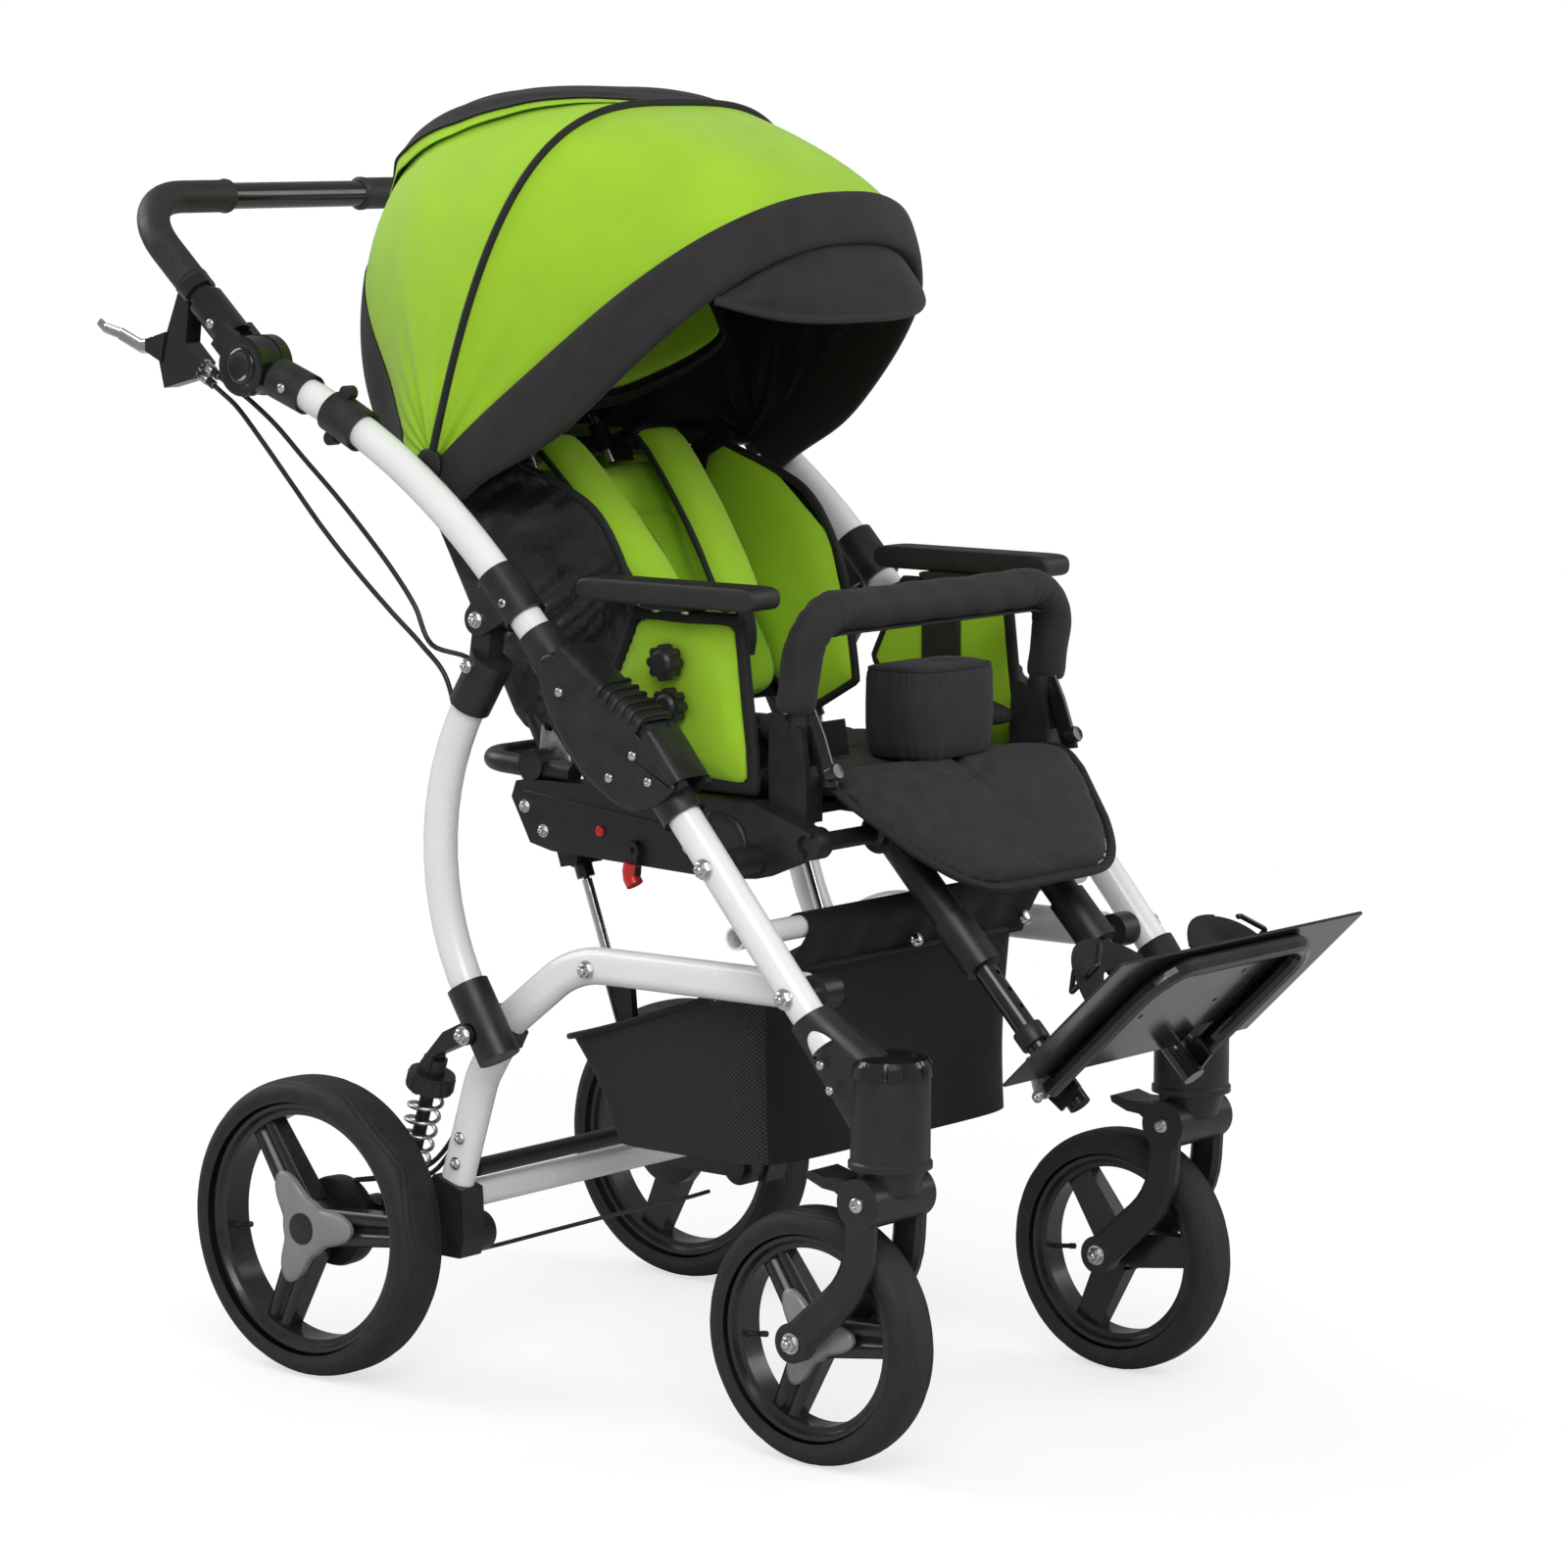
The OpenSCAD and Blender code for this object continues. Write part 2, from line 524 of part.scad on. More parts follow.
// Lower frame: oval arms, lower legs and the rear cross bar
arm_path = [for (p = bent([[-279.5, 442], [6, 439], [88, 376]], 110, 10)) at(arm_x, p)];
lower_leg_path = [for (p = bent([[102, 354], [128, 314], [162, 207]], 90, 12)) at(arm_x, p)];
crossbar_pos = [158, 191];
rod_pos = [150, 218];
module oval_tube(path) sweep_tube(path, oval(arm_w, arm_h, 16), oval(arm_w - 2 * tube_wall, arm_h - 2 * tube_wall, 16), [1, 0, 0]);
module oval_tube_x(p, half) sweep_tube([at(-half, p), at(0, p), at(half, p)], oval(20, 28, 12),
  oval(20 - 2 * tube_wall, 28 - 2 * tube_wall, 12), [0, 1, 0]);
module rear_frame() color(white) {
  both() {
    oval_tube(arm_path);
    oval_tube(lower_leg_path);
  }
  oval_tube_x(crossbar_pos, arm_x - 15 - gap);
}

// Knuckles, axle blocks, shock heads, cross bar sleeves and the cradle of the gas struts
knuckle_t = arm_w - 1;
block_in = arm_x - 15;
block_out = arm_x + 16;
spring_dir = unit(spring_foot - spring_top);
cradle_x = 193;
cradle_bolt = [-19, 434];
module rear_brackets() color(black) {
  both() {
    difference() {
      union() {
        side_at(arm_x - arm_w / 2) translate(arm_pivot) cylinder(h = arm_w, r = 17);
        side_at(arm_x - 8) linear_extrude(16) polygon([[-297, 433], [-262, 433], [-262, 451], [-297, 453]]);
      }
      side_at(0) translate(arm_pivot) cylinder(h = 400, r = pin_r + fit);
    }
    side_at(arm_x - knuckle_t / 2) linear_extrude(knuckle_t)
      polygon([[99.2, 390.1], [117, 364.6], [87, 345], [78, 361.6]]);
    side_at(arm_x + knuckle_t / 2 - 2) translate(leg_foot) {
      cylinder(h = frame_x + tube_r + 6 - arm_x - knuckle_t / 2 + 2, r = pin_r - 1);
      translate([0, 0, frame_x + tube_r + 6 - arm_x - knuckle_t / 2 + 2]) cylinder(h = 5, r = 10);
    }
    // axle block under the lower leg, with the swing arm pin
    side_at(block_in) linear_extrude(block_out - block_in)
      polygon([[143, 200.5], [180, 212], [187, 204], [187, 150], [182, 132], [146, 132], [140, 150]]);
    side_at(block_in - 24) translate(swing_pivot) cylinder(h = 26, r = 8);
    side_at(block_in - 28) translate(swing_pivot) cylinder(h = 4, r = 13);
    // shock head on the knuckle, collar nut and guide rod of the spring
    side_at(arm_x - 10) linear_extrude(20)
      polygon([[96, 384], [113, 366], [118.5, 365.5], [131, 352], [186, 328], [196, 296], [210, 306], [202, 322],
        [172, 354], [130, 374], [100, 389]]);
    bar(at(arm_x - 3, spring_top - 34 * spring_dir), at(arm_x - 3, spring_top - 6 * spring_dir), 12);
    bar(at(arm_x - 3, spring_top - 18 * spring_dir), at(arm_x - 3, spring_top), 23);
    bar(at(arm_x - 3, spring_top), at(arm_x - 3, spring_top + 70 * spring_dir), 7);
    // cradle leg from the arm down into the basket
    side_at(cradle_x - 4) linear_extrude(8)
      polygon([cradle_bolt + [-9, 8], cradle_bolt + [9, 8], strut_foot + [11, -9], strut_foot + [-11, -9]]);
    side_at(cradle_x) translate(cradle_bolt) cylinder(h = arm_x - arm_w / 2 - cradle_x - gap, r = 6);
  }
  side_at(-cradle_x) translate(strut_foot) cylinder(h = 2 * cradle_x, r = 7);
  bar(at(-arm_x + arm_w / 2 + gap, rod_pos), at(arm_x - arm_w / 2 - gap, rod_pos), 9);
}

// Suspension springs: one wire each, closed up towards the ends
spring_len = norm(spring_foot - spring_top) - 2 * wire_r - 2 * gap;
spring_side = [1, 0, 0];
function spring_point(t) = let (a = 360 * spring_turns * t)
  at(arm_x - 3, spring_top + (wire_r + gap + spring_len * t) * spring_dir)
  + spring_r * (cos(a) * spring_side + sin(a) * at(0, cross2(spring_dir)));
spring_pts = [for (i = [0:8 * spring_turns]) spring_point(i / (8 * spring_turns))];
spring_least_gap = min([for (i = [0:len(spring_pts) - 7], j = [i + 6:len(spring_pts) - 1])
  norm(spring_pts[i] - spring_pts[j]) - 2 * wire_r]);
echo(spring_least_gap = spring_least_gap);
function coil_ring(i) = let (t = tangent(spring_pts, i), e = at(0, spring_dir), n = unit(cross(e, t)), m = cross(t, n))
  [for (j = [0:5]) spring_pts[i] + wire_r * (cos(60 * j) * n + sin(60 * j) * m)];
module coil() {
  g = [for (i = [0:len(spring_pts) - 1]) coil_ring(i)];
  n = len(g);
  last = n * 6 + 1;
  polyhedron(concat(flat(g), [spring_pts[0], spring_pts[n - 1]]), concat(wall_faces(n, 6, 0, false),
    [for (j = [0:5]) [last - 1, j, (j + 1) % 6]],
    [for (j = [0:5]) [last, (n - 1) * 6 + (j + 1) % 6, (n - 1) * 6 + j]]));
}
module suspension_springs() color(zinc) both() coil();

// Basket: an open bag under the seat, higher at the front
function basket_hull(inset) = [
  [-206 + inset, basket_z + inset, basket_half - 6 - inset], [8 - inset, basket_z + inset, basket_half - 6 - inset],
  [66 - inset, 352, basket_half - inset], [-212 + inset, 446, basket_half - inset]];
module basket_shape(inset, lift) {
  c = basket_hull(inset);
  top = [for (p = c) [p[0], p[1] + (p[1] > 300 ? lift : 0), p[2]]];
  polyhedron([for (s = [-1, 1], p = top) [s * p[2], p[0], p[1]]],
    [[0, 2, 3], [0, 1, 2], [4, 6, 5], [4, 7, 6], [0, 5, 1], [0, 4, 5], [1, 6, 2], [1, 5, 6],
      [2, 7, 3], [2, 6, 7], [3, 4, 0], [3, 7, 4]]);
}
module basket() color(black) {
  difference() {
    basket_shape(0, 0);
    basket_shape(basket_t, 40);
  }
  // tabs that hang the bag on the arms and on the strut cradle
  both() {
    translate([basket_half - 4, -204, 434]) cube([arm_x - arm_w / 2 - gap - basket_half + 4, 20, 3]);
    translate([cradle_x + 4 + gap, -36, 338]) cube([basket_half - cradle_x - 4 - gap - 1, 16, 3]);
  }
}

// Swing arms with the axle, the brake drum and the spring seat
arm_in = block_in - 22;
module swing_arm(s) color(black) mirror([s < 0 ? 1 : 0, 0, 0]) {
  axle = [rear_y, axle_z];
  difference() {
    union() {
      side_at(arm_in) translate(swing_pivot) cylinder(h = 20, r = 20);
      side_at(arm_in) translate(swing_pivot + [0, -12]) linear_extrude(20) square([rear_y - swing_pivot[0], 24]);
      side_at(arm_in) translate(axle) cylinder(h = 20, r = 18);
      side_at(arm_in) linear_extrude(arm_x + 8 - arm_in)
        polygon([spring_foot + [-16, -30], spring_foot + [26, -30], spring_foot + 3 * spring_dir + 20 * cross2(spring_dir),
          spring_foot + 3 * spring_dir - 20 * cross2(spring_dir)]);
      bar(at(arm_x - 3, spring_foot), at(arm_x - 3, spring_foot + 14 * spring_dir), 19);
    }
    side_at(0) translate(swing_pivot) cylinder(h = 400, r = 8 + fit);
  }
  side_at(arm_in + 10) translate(axle) cylinder(h = rear_x + 22 - arm_in - 10, r = 8);
  side_at(arm_in + 10) translate(axle) cylinder(h = rear_x - 20 - arm_in - 10, r = 16);
  side_at(rear_x - 38) translate(axle) cylinder(h = 18, r = 44);
}
module swing_arm_left() swing_arm(1);
module swing_arm_right() swing_arm(-1);

// Wheels: a rim with three spokes on a hub, and a round tyre
module tyre(r, w) color(rubber) along_x() rotate_extrude($fn = 96) difference() {
  translate([r - w / 2, 0]) circle(w / 2);
  translate([-1, -w]) square([r - tyre_depth + 1, 2 * w]);
}
module rim(r, w, hub_r, bore) color(black) along_x() difference() {
  union() {
    rotate_extrude($fn = 96) translate([r - tyre_depth - gap - 12, -w / 2 + 4]) square([12, w - 8]);
    for (i = [0:2]) rotate(120 * i + 25) translate([4, -13, -w / 4 + 1]) cube([r - tyre_depth - gap - 9, 26, w / 2 - 2]);
    cylinder(h = w - 14, r = hub_r, center = true);
  }
  cylinder(h = 4 * w, r = bore, center = true);
}
rear_r = axle_z;
module rear_wheel_at(s) translate([s * rear_x, rear_y, axle_z]) children();
module rear_rim_left() rear_wheel_at(1) rim(rear_r, rear_w - 20, 26, 8 + fit);
module rear_rim_right() rear_wheel_at(-1) rim(rear_r, rear_w - 20, 26, 8 + fit);
module rear_tyre_left() rear_wheel_at(1) tyre(rear_r, rear_w);
module rear_tyre_right() rear_wheel_at(-1) tyre(rear_r, rear_w);
module front_wheel_at(s) translate([s * caster_x, stem_y + caster_trail, front_r]) children();
module front_rim_left() front_wheel_at(1) rim(front_r, front_w, 20, pin_r + fit);
module front_rim_right() front_wheel_at(-1) rim(front_r, front_w, 20, pin_r + fit);
module front_tyre_left() front_wheel_at(1) tyre(front_r, front_w);
module front_tyre_right() front_wheel_at(-1) tyre(front_r, front_w);

// Caster fork: stem, crown, two bowed legs and the front axle; lever that locks the swivel
crown = [stem_y + 4, 262];
fork_leg_t = 14;
fork_in = front_w / 2 + 4;
lever_pin = [stem_y + 38, 271];
fork_leg_path = bent([crown, crown + [4, -74], [stem_y + caster_trail, front_r]], 80, 9);
function block_section(w, h) = [[w / 2, -h / 2 + 5], [w / 2, h / 2 - 5], [w / 2 - 4, h / 2], [-w / 2 + 4, h / 2],
  [-w / 2, h / 2 - 5], [-w / 2, -h / 2 + 5], [-w / 2 + 4, -h / 2], [w / 2 - 4, -h / 2]];
module fork(s) color(black) translate([s * caster_x, 0, 0]) {
  translate([0, stem_y, housing_low - 20]) cylinder(h = 85, r = stem_r);
  translate([0, stem_y, housing_low - 22]) cylinder(h = 22 - gap, r1 = 27, r2 = 33);
  side_at(-fork_in - fork_leg_t) translate(crown) cylinder(h = 2 * (fork_in + fork_leg_t), r = 24);
  for (d = [-1, 1]) {
    x = d * (fork_in + fork_leg_t / 2);
    sweep_bar([for (p = fork_leg_path) at(x, p)], block_section(fork_leg_t, 34), [1, 0, 0]);
    side_at(x - fork_leg_t / 2) translate([stem_y + caster_trail, front_r]) cylinder(h = fork_leg_t, r = 19);
    side_at(d * 25 - 2.5) linear_extrude(5)
      polygon([crown + [8, 20], crown + [20, -8], lever_pin + [6, -4], lever_pin + [4, 6]]);
  }
  side_at(-fork_in - fork_leg_t - 3) translate([stem_y + caster_trail, front_r])
    cylinder(h = 2 * (fork_in + fork_leg_t + 3), r = pin_r);
  side_at(-26) translate(lever_pin) cylinder(h = 52, r = 4);
}
module fork_left() fork(1);
module fork_right() fork(-1);
module lock_lever(s) color(black) translate([s * caster_x, 0, 0]) difference() {
  side_at(-20) linear_extrude(40) {
    translate(lever_pin) circle(7.5);
    polygon([lever_pin + [2, 7], lever_pin + [2, -7], lever_pin + [26, -5], lever_pin + [44, 2], lever_pin + [46, 8],
      lever_pin + [40, 10], lever_pin + [24, 6]]);
  }
  side_at(-50) translate(lever_pin) cylinder(h = 100, r = 4 + fit);
}
module lock_lever_left() lock_lever(1);
module lock_lever_right() lock_lever(-1);

// Seat carrier bushes on the tilt axis
rail_in = 193;
rail_out = rail_in + rail_t;
module tilt_trunnions() color(zinc) both() eye(seat_pivot, rail_out + gap, frame_x - tube_r - gap, 15, pin_r + fit);

// Seat rails with the board, the cross bars, the rear hoop, the strut lugs and the bumper sockets
board_z = 592;
board_t = 10;
cushion_z = board_z + board_t + gap;
socket_in = 175.5;
socket_t = 7;
module seat_rails() color(black) {
  both() {
    difference() {
      union() {
        side_at(rail_in) linear_extrude(rail_t)
          polygon([[98, 606], [104, 590], [80, 547], [52, 541], [-160, 534], [-204, 538], [-258, 560], [-270, 586],
            [-200, 609], [60, 609]]);
        side_at(rail_in) linear_extrude(rail_t - 4) translate(legrest_pivot) circle(15);
        side_at(rail_in) linear_extrude(rail_t) translate(recline_pivot) circle(15);
        for (x = [146, 177]) side_at(x) linear_extrude(7)
          polygon([strut_top + [-12, -8], strut_top + [8, -12], [80, 550], [84, 592.5], [40, 592.5], [44, 550]]);
        side_at(146) linear_extrude(rail_in - 146 + 2) polygon([[44, 582], [84, 582], [84, 592.5], [44, 592.5]]);
      }
      side_at(0) translate(seat_pivot) cylinder(h = 400, r = pin_r + fit);
      side_at(rail_out - 5) translate(legrest_pivot) cylinder(h = 40, r = 9);
    }
    side_at(146) translate(strut_top) cylinder(h = 38, r = 4);
    // bumper socket: foot on the rail, two cheeks and the hinge pin
    side_at(socket_in) linear_extrude(24.5) polygon([[-250, 592], [-206, 600], [-204, 645], [-250, 645]]);
    for (x = [socket_in, socket_in + 24.5 - socket_t]) side_at(x) linear_extrude(socket_t)
      polygon([[-250, 640], [-204, 640], [-206, 686], [-216, 692], [-244, 680]]);
    side_at(socket_in) translate(bumper_pivot) cylinder(h = 24.5, r = 5);
  }
  side_at(-rail_out - gap - 11) translate(tilt_pin) cylinder(h = 14, r = 3);
  translate([-rail_in - 1, -214, board_z]) cube([2 * rail_in + 2, 290, board_t]);
  side_at(-rail_in - 1) translate(legrest_pivot) cylinder(h = 2 * rail_in + 2, r = 9);
  side_at(-rail_in - 1) translate(recline_pivot) cylinder(h = 2 * rail_in + 2, r = pin_r);
  sweep_tube(bent([[148, 70, 582], [148, 168, 606], [-148, 168, 606], [-148, 70, 582]], 45, 15),
    ring(10, 10), ring(10 - tube_wall, 10), unit([0, -24, 98]));
}
module seat_cushion() color(charcoal) translate([0, -100, cushion_z])
  pad(seat_half, 163, 16, cushion_t, 0.03, [-0.3, 0.35], 0.25, 14, 18);
module side_panels() color(lime) both() translate([201, 0, 0]) {
  // outline rows from the top edge to the bottom edge, as [y front, y rear, z]
  rows = [[-190, -48, 780], [-192, -30, 740], [-194, -12, 700], [-195, -40, 660], [-195, -74, 609 + gap]];
  top = [for (i = [0:8]) let (k = i / 2, a = floor(k), b = min(a + 1, 4), r = rows[a] + (k - a) * (rows[b] - rows[a]))
    [for (j = [0:10]) let (u = j / 5 - 1, v = i / 4 - 1)
      [6 + 6 * (1 - pow(abs(u), 4)) * (1 - pow(abs(v), 4)), r[0] + (r[1] - r[0]) * j / 10, r[2]]]];
  slab([for (row = top) [for (j = [10:-1:0]) row[j]]], [for (row = top) [for (j = [10:-1:0]) [0, row[j][1], row[j][2]]]]);
}
pommel_z = cushion_z + cushion_t - 1.1;
pommel_y = -240;
// Rounded block: an oval plan that swells in the middle and draws in at the seams
function pommel_plan(k, f, n) = [for (j = [0:n - 1]) let (a = 360 * j / n, c = cos(a), s = sin(a))
  [f * pommel_half * sign(c) * pow(abs(c), 0.55), pommel_y + f * 42 * sign(s) * pow(abs(s), 0.6), k]];
module pommel() color(charcoal) {
  n = 20;
  levels = [[0, 0.86], [6, 0.95], [40, 1], [76, 0.99], [86, 0.93], [92, 0.74], [95, 0.4]];
  g = [for (l = levels) pommel_plan(pommel_z + l[0], l[1], n)];
  m = len(levels);
  polyhedron(concat(flat(g), [[0, pommel_y, pommel_z], [0, pommel_y, pommel_z + 96]]), concat(wall_faces(m, n, 0, false),
    [for (j = [0:n - 1]) [m * n, j, (j + 1) % n]],
    [for (j = [0:n - 1]) [m * n + 1, (m - 1) * n + (j + 1) % n, (m - 1) * n + j]]));
}
tilt_pin = [-56, 552];
module tilt_lever() color(red) difference() {
  side_at(-rail_out - gap - 8) linear_extrude(8) {
    translate(tilt_pin) circle(9);
    polygon([tilt_pin + [-8, 2], tilt_pin + [7, 4], tilt_pin + [10, -22], tilt_pin + [4, -28], tilt_pin + [-6, -24]]);
  }
  side_at(-300) translate(tilt_pin) cylinder(h = 300, r = 3 + fit);
}

// Star knobs that clamp the side panels
knob_spots = [[-100, 735], [-105, 694]];
knob_x = 213 + gap;
module star_knob(p) side_at(knob_x) translate(p) {
  cylinder(h = 6, r = 9);
  translate([0, 0, 6]) linear_extrude(13) union() {
    circle(14);
    for (i = [0:7]) rotate(45 * i) translate([13, 0]) circle(4.6);
  }
  translate([0, 0, 19]) cylinder(h = 3, r1 = 12, r2 = 9);
}
module star_knobs_upper() color(black) both() star_knob(knob_spots[0]);
module star_knobs_lower() color(black) both() star_knob(knob_spots[1]);

// Padded bumper bar
bumper_x = 195;
bumper_top = [-246, 787];
bumper_dir = unit(bumper_top - bumper_pivot);
module bumper_bar() color(charcoal) {
  h = norm(bumper_top - bumper_pivot);
  tilt_frame(bumper_pivot, atan2(bumper_dir[1], bumper_dir[0]))
    sweep_bar(bent([[bumper_x, 32, 0], [bumper_x, h, 0], [-bumper_x, h, 0], [-bumper_x, 32, 0]], 46, 11),
      ring(bumper_r, 14), [0, 0, 1]);
  both() {
    eye(bumper_pivot, socket_in + socket_t + gap, socket_in + 24.5 - socket_t - gap, 11, 5 + fit);
    tilt_frame(bumper_pivot, atan2(bumper_dir[1], bumper_dir[0]))
      translate([socket_in + socket_t + gap, 9, -8]) cube([24.5 - 2 * socket_t - 2 * gap, 26, 16]);
  }
}
armrest_z = 790;
armrest_t = 23;
armrest_mid = 226.5;
module armrest(s) color(black) mirror([s < 0 ? 1 : 0, 0, 0]) {
  x0 = armrest_mid - armrest_w / 2;
  translate([x0 + 6, -226, armrest_z]) cube([armrest_w - 12, armrest_len, armrest_t]);
  translate([x0, -220, armrest_z + 4]) cube([armrest_w, armrest_len - 12, armrest_t - 8]);
  translate([193.6, -130, armrest_z - 6]) cube([armrest_mid - 186, 56, 6.5]);
  translate([193.6, -126, 690]) cube([7.4 - gap, 48, armrest_z - 689]);
}
module armrest_left() armrest(1);
module armrest_right() armrest(-1);

// Gas struts between the cradle and the seat: barrel, rod and fork head
strut_x = 165;
strut_dir = unit(strut_top - strut_foot);
strut_len = norm(strut_top - strut_foot);
function on_strut(s) = at(strut_x, strut_foot + s * strut_dir);
module strut_barrels() color(gloss) both() difference() {
  union() {
    eye(strut_foot, strut_x - 8, strut_x + 8, 13, 7 + fit);
    bar(on_strut(11), on_strut(150), 10);
  }
  bar(on_strut(22), on_strut(160), 5 + fit);
  side_at(0) translate(strut_foot) cylinder(h = 400, r = 7 + fit);
}
module strut_rods() color(zinc) both() difference() {
  bar(on_strut(110), on_strut(strut_len - 26), 5);
  bar(on_strut(146), on_strut(strut_len), 3 + fit);
}
module strut_forks() color(black) both() {
  bar(on_strut(strut_len - 116), on_strut(strut_len - 18), 3);
  difference() {
    union() {
      bar(on_strut(strut_len - 24), on_strut(strut_len - 4), 9);
      side_at(strut_x - 8) translate(strut_top) cylinder(h = 16, r = 13);
    }
    side_at(0) translate(strut_top) cylinder(h = 400, r = 4 + 4.8);
  }
}

// Backrest in its own plane: x, distance up the back from the recline pivot, height to the front
module in_back() tilt_frame(recline_pivot, back_slope) children();
back_x = 180;
back_r = 11;
canopy_s = back_len - 30.19;
canopy_n = 55.306;
canopy_pivot = recline_pivot + canopy_s * dir(back_slope) + canopy_n * dir(back_slope + 90);
pin_x = canopy_half - 1;
stem_x = 60;
stem_n = 18;
module back_frame() color(black) {
  in_back() sweep_tube(bent([[back_x, 11, 0], [back_x, back_len, 0], [-back_x, back_len, 0], [-back_x, 11, 0]], 40, 15),
    ring(back_r, 12), ring(back_r - tube_wall, 12), [0, 0, 1]);
  // back panel between the tubes, and two sleeves for the headrest stems
  in_back() translate([-174, 34, 7.5]) cube([348, back_len - 66, 3]);
  in_back() for (s = [-1, 1]) difference() {
    bar([s * stem_x, back_len - 14, stem_n], [s * stem_x, back_len + 16, stem_n], 9);
    bar([s * stem_x, back_len - 40, stem_n], [s * stem_x, back_len + 40, stem_n], 5 + fit);
  }
  both() {
    eye(recline_pivot, back_x - 12, back_x + 12, 15, pin_r + fit);
    in_back() translate([back_x + 4, canopy_s - 22, 9]) cube([6, 36, canopy_n - 9]);
    side_at(back_x + 4.5) translate(canopy_pivot) cylinder(h = 5, r = 16);
    side_at(back_x + 9) translate(canopy_pivot) cylinder(h = pin_x + 4 - back_x - 9, r = 5);
    side_at(pin_x + 3) translate(canopy_pivot) cylinder(h = 4, r = 10);
  }
}
wing_in = 159.5;
wing_t = 7;
module back_cushion() color(lime) {
  in_back() translate([0, back_len / 2 - 7, 10.5 + gap]) pad(back_half, back_len / 2 - 27, 14, 46, 0.03, [-0.3, 0.35], 0.3, 14, 18);
  // side wings that stand up along the cushion
  both() in_back() {
    rows = [for (r = [[0.158, 96], [0.273, 136], [0.455, 158], [0.636, 140], [0.794, 92]]) [r[0] * back_len, 10.8, r[1]]];
    sheet = [for (i = [0:8]) let (k = i / 2, a = floor(k), b = min(a + 1, 4), r = rows[a] + (k - a) * (rows[b] - rows[a]))
      [for (j = [0:8]) let (u = j / 4 - 1, v = i / 4 - 1)
        [wing_in + wing_t * (0.6 + 0.4 * (1 - pow(abs(u), 4)) * (1 - pow(abs(v), 4))), r[0], r[1] + (r[2] - r[1]) * j / 8]]];
    slab([for (row = sheet) [for (j = [8:-1:0]) row[j]]],
      [for (row = sheet) [for (j = [8:-1:0]) [wing_in, row[j][1], row[j][2]]]]);
  }
}
// Headrest: a pad that wraps forward at both sides, on two stems in front of the back frame
function head_curve(u, out) = [132 * u, 0, 24 + 74 * pow(abs(u), 2.6) + out];
module headrest() color(lime) in_back() {
  top = [for (i = [0:10]) [for (j = [0:16]) let (u = 1 - j / 8, v = 1 - i / 5,
    out = 8 + 26 * (1 - pow(abs(u), 4)) * (1 - pow(abs(v), 4)), p = head_curve(u, out))
    [p[0], 392 + 48 * v * (1 - 0.08 * u * u), p[2]]]];
  low = [for (i = [0:10]) [for (j = [0:16]) let (u = 1 - j / 8, v = 1 - i / 5, p = head_curve(u, 0))
    [p[0], 392 + 48 * v * (1 - 0.08 * u * u), p[2]]]];
  slab(top, low);
  for (s = [-1, 1]) {
    bar([s * stem_x, back_len - 28, stem_n], [s * stem_x, 392, stem_n], 5);
    translate([s * stem_x - 9, 366, stem_n - 4]) cube([18, 40, 26]);
  }
}

// Canopy: three nested cloth panels that turn about the canopy pivot
canopy_knots = [[8, -160], [40, -76], [76, -8], [108, 0], [140, canopy_reach], [165, canopy_reach + 4]];
function canopy_radius(a) = canopy_r + lookup(a, canopy_knots);
function hoop(a, f, w, dr) = let (r = (canopy_radius(a) + dr) * pow(sin(f), 0.66), x = w * sign(cos(f)) * pow(abs(cos(f)), 0.7))
  [x, canopy_pivot[0] + r * cos(a), canopy_pivot[1] + r * sin(a)];
function canopy_sheet(a0, a1, w, dr, f0, draw_in, na, nf) = [for (i = [0:na]) [for (j = [0:nf])
  let (t = i / na)
  hoop(a0 + (a1 - a0) * t, f0 + (180 - 2 * f0) * j / nf, w - draw_in * (1 - t), dr)]];
module canopy_panel(a0, a1, w, dr, f0, draw_in = 0) slab(canopy_sheet(a0, a1, w, dr, f0, draw_in, 6, 18),
  canopy_sheet(a0, a1, w - cloth_t, dr - cloth_t, f0, draw_in, 6, 18));
rear_w0 = canopy_half - 10;
mid_w0 = canopy_half - 5;
// Arm of a bow: a flat bar from the pivot to the edge of its panel
module bow_arm(a, x0, t, r) both() difference() {
  union() {
    side_at(x0) translate(canopy_pivot) cylinder(h = t, r = 13);
    side_at(x0) translate(canopy_pivot) rotate(a) translate([8, -6, 0.4]) linear_extrude(t - 0.8) square([r - 8, 12]);
  }
  side_at(0) translate(canopy_pivot) cylinder(h = 400, r = 5 + fit);
}
module canopy_rear() color(lime) {
  canopy_panel(10, 78, rear_w0, -8, 7, 28);
  bow_arm(46, rear_w0 - 21.5, 4, 125);
}
module canopy_mid() color(lime) {
  canopy_panel(76, 110, mid_w0, -2, 5);
  bow_arm(108, mid_w0 - 5, 4, 104);
}
module canopy_front() color(lime) {
  canopy_panel(108, 142, canopy_half, 4, 5);
  slab(canopy_sheet(139, 150, canopy_half + 1, 7, 5, 0, 3, 18), canopy_sheet(139, 150, canopy_half - 3.2, -3, 5, 0, 3, 18));
  bow_arm(141, canopy_half - 4.5, 4, 140);
}

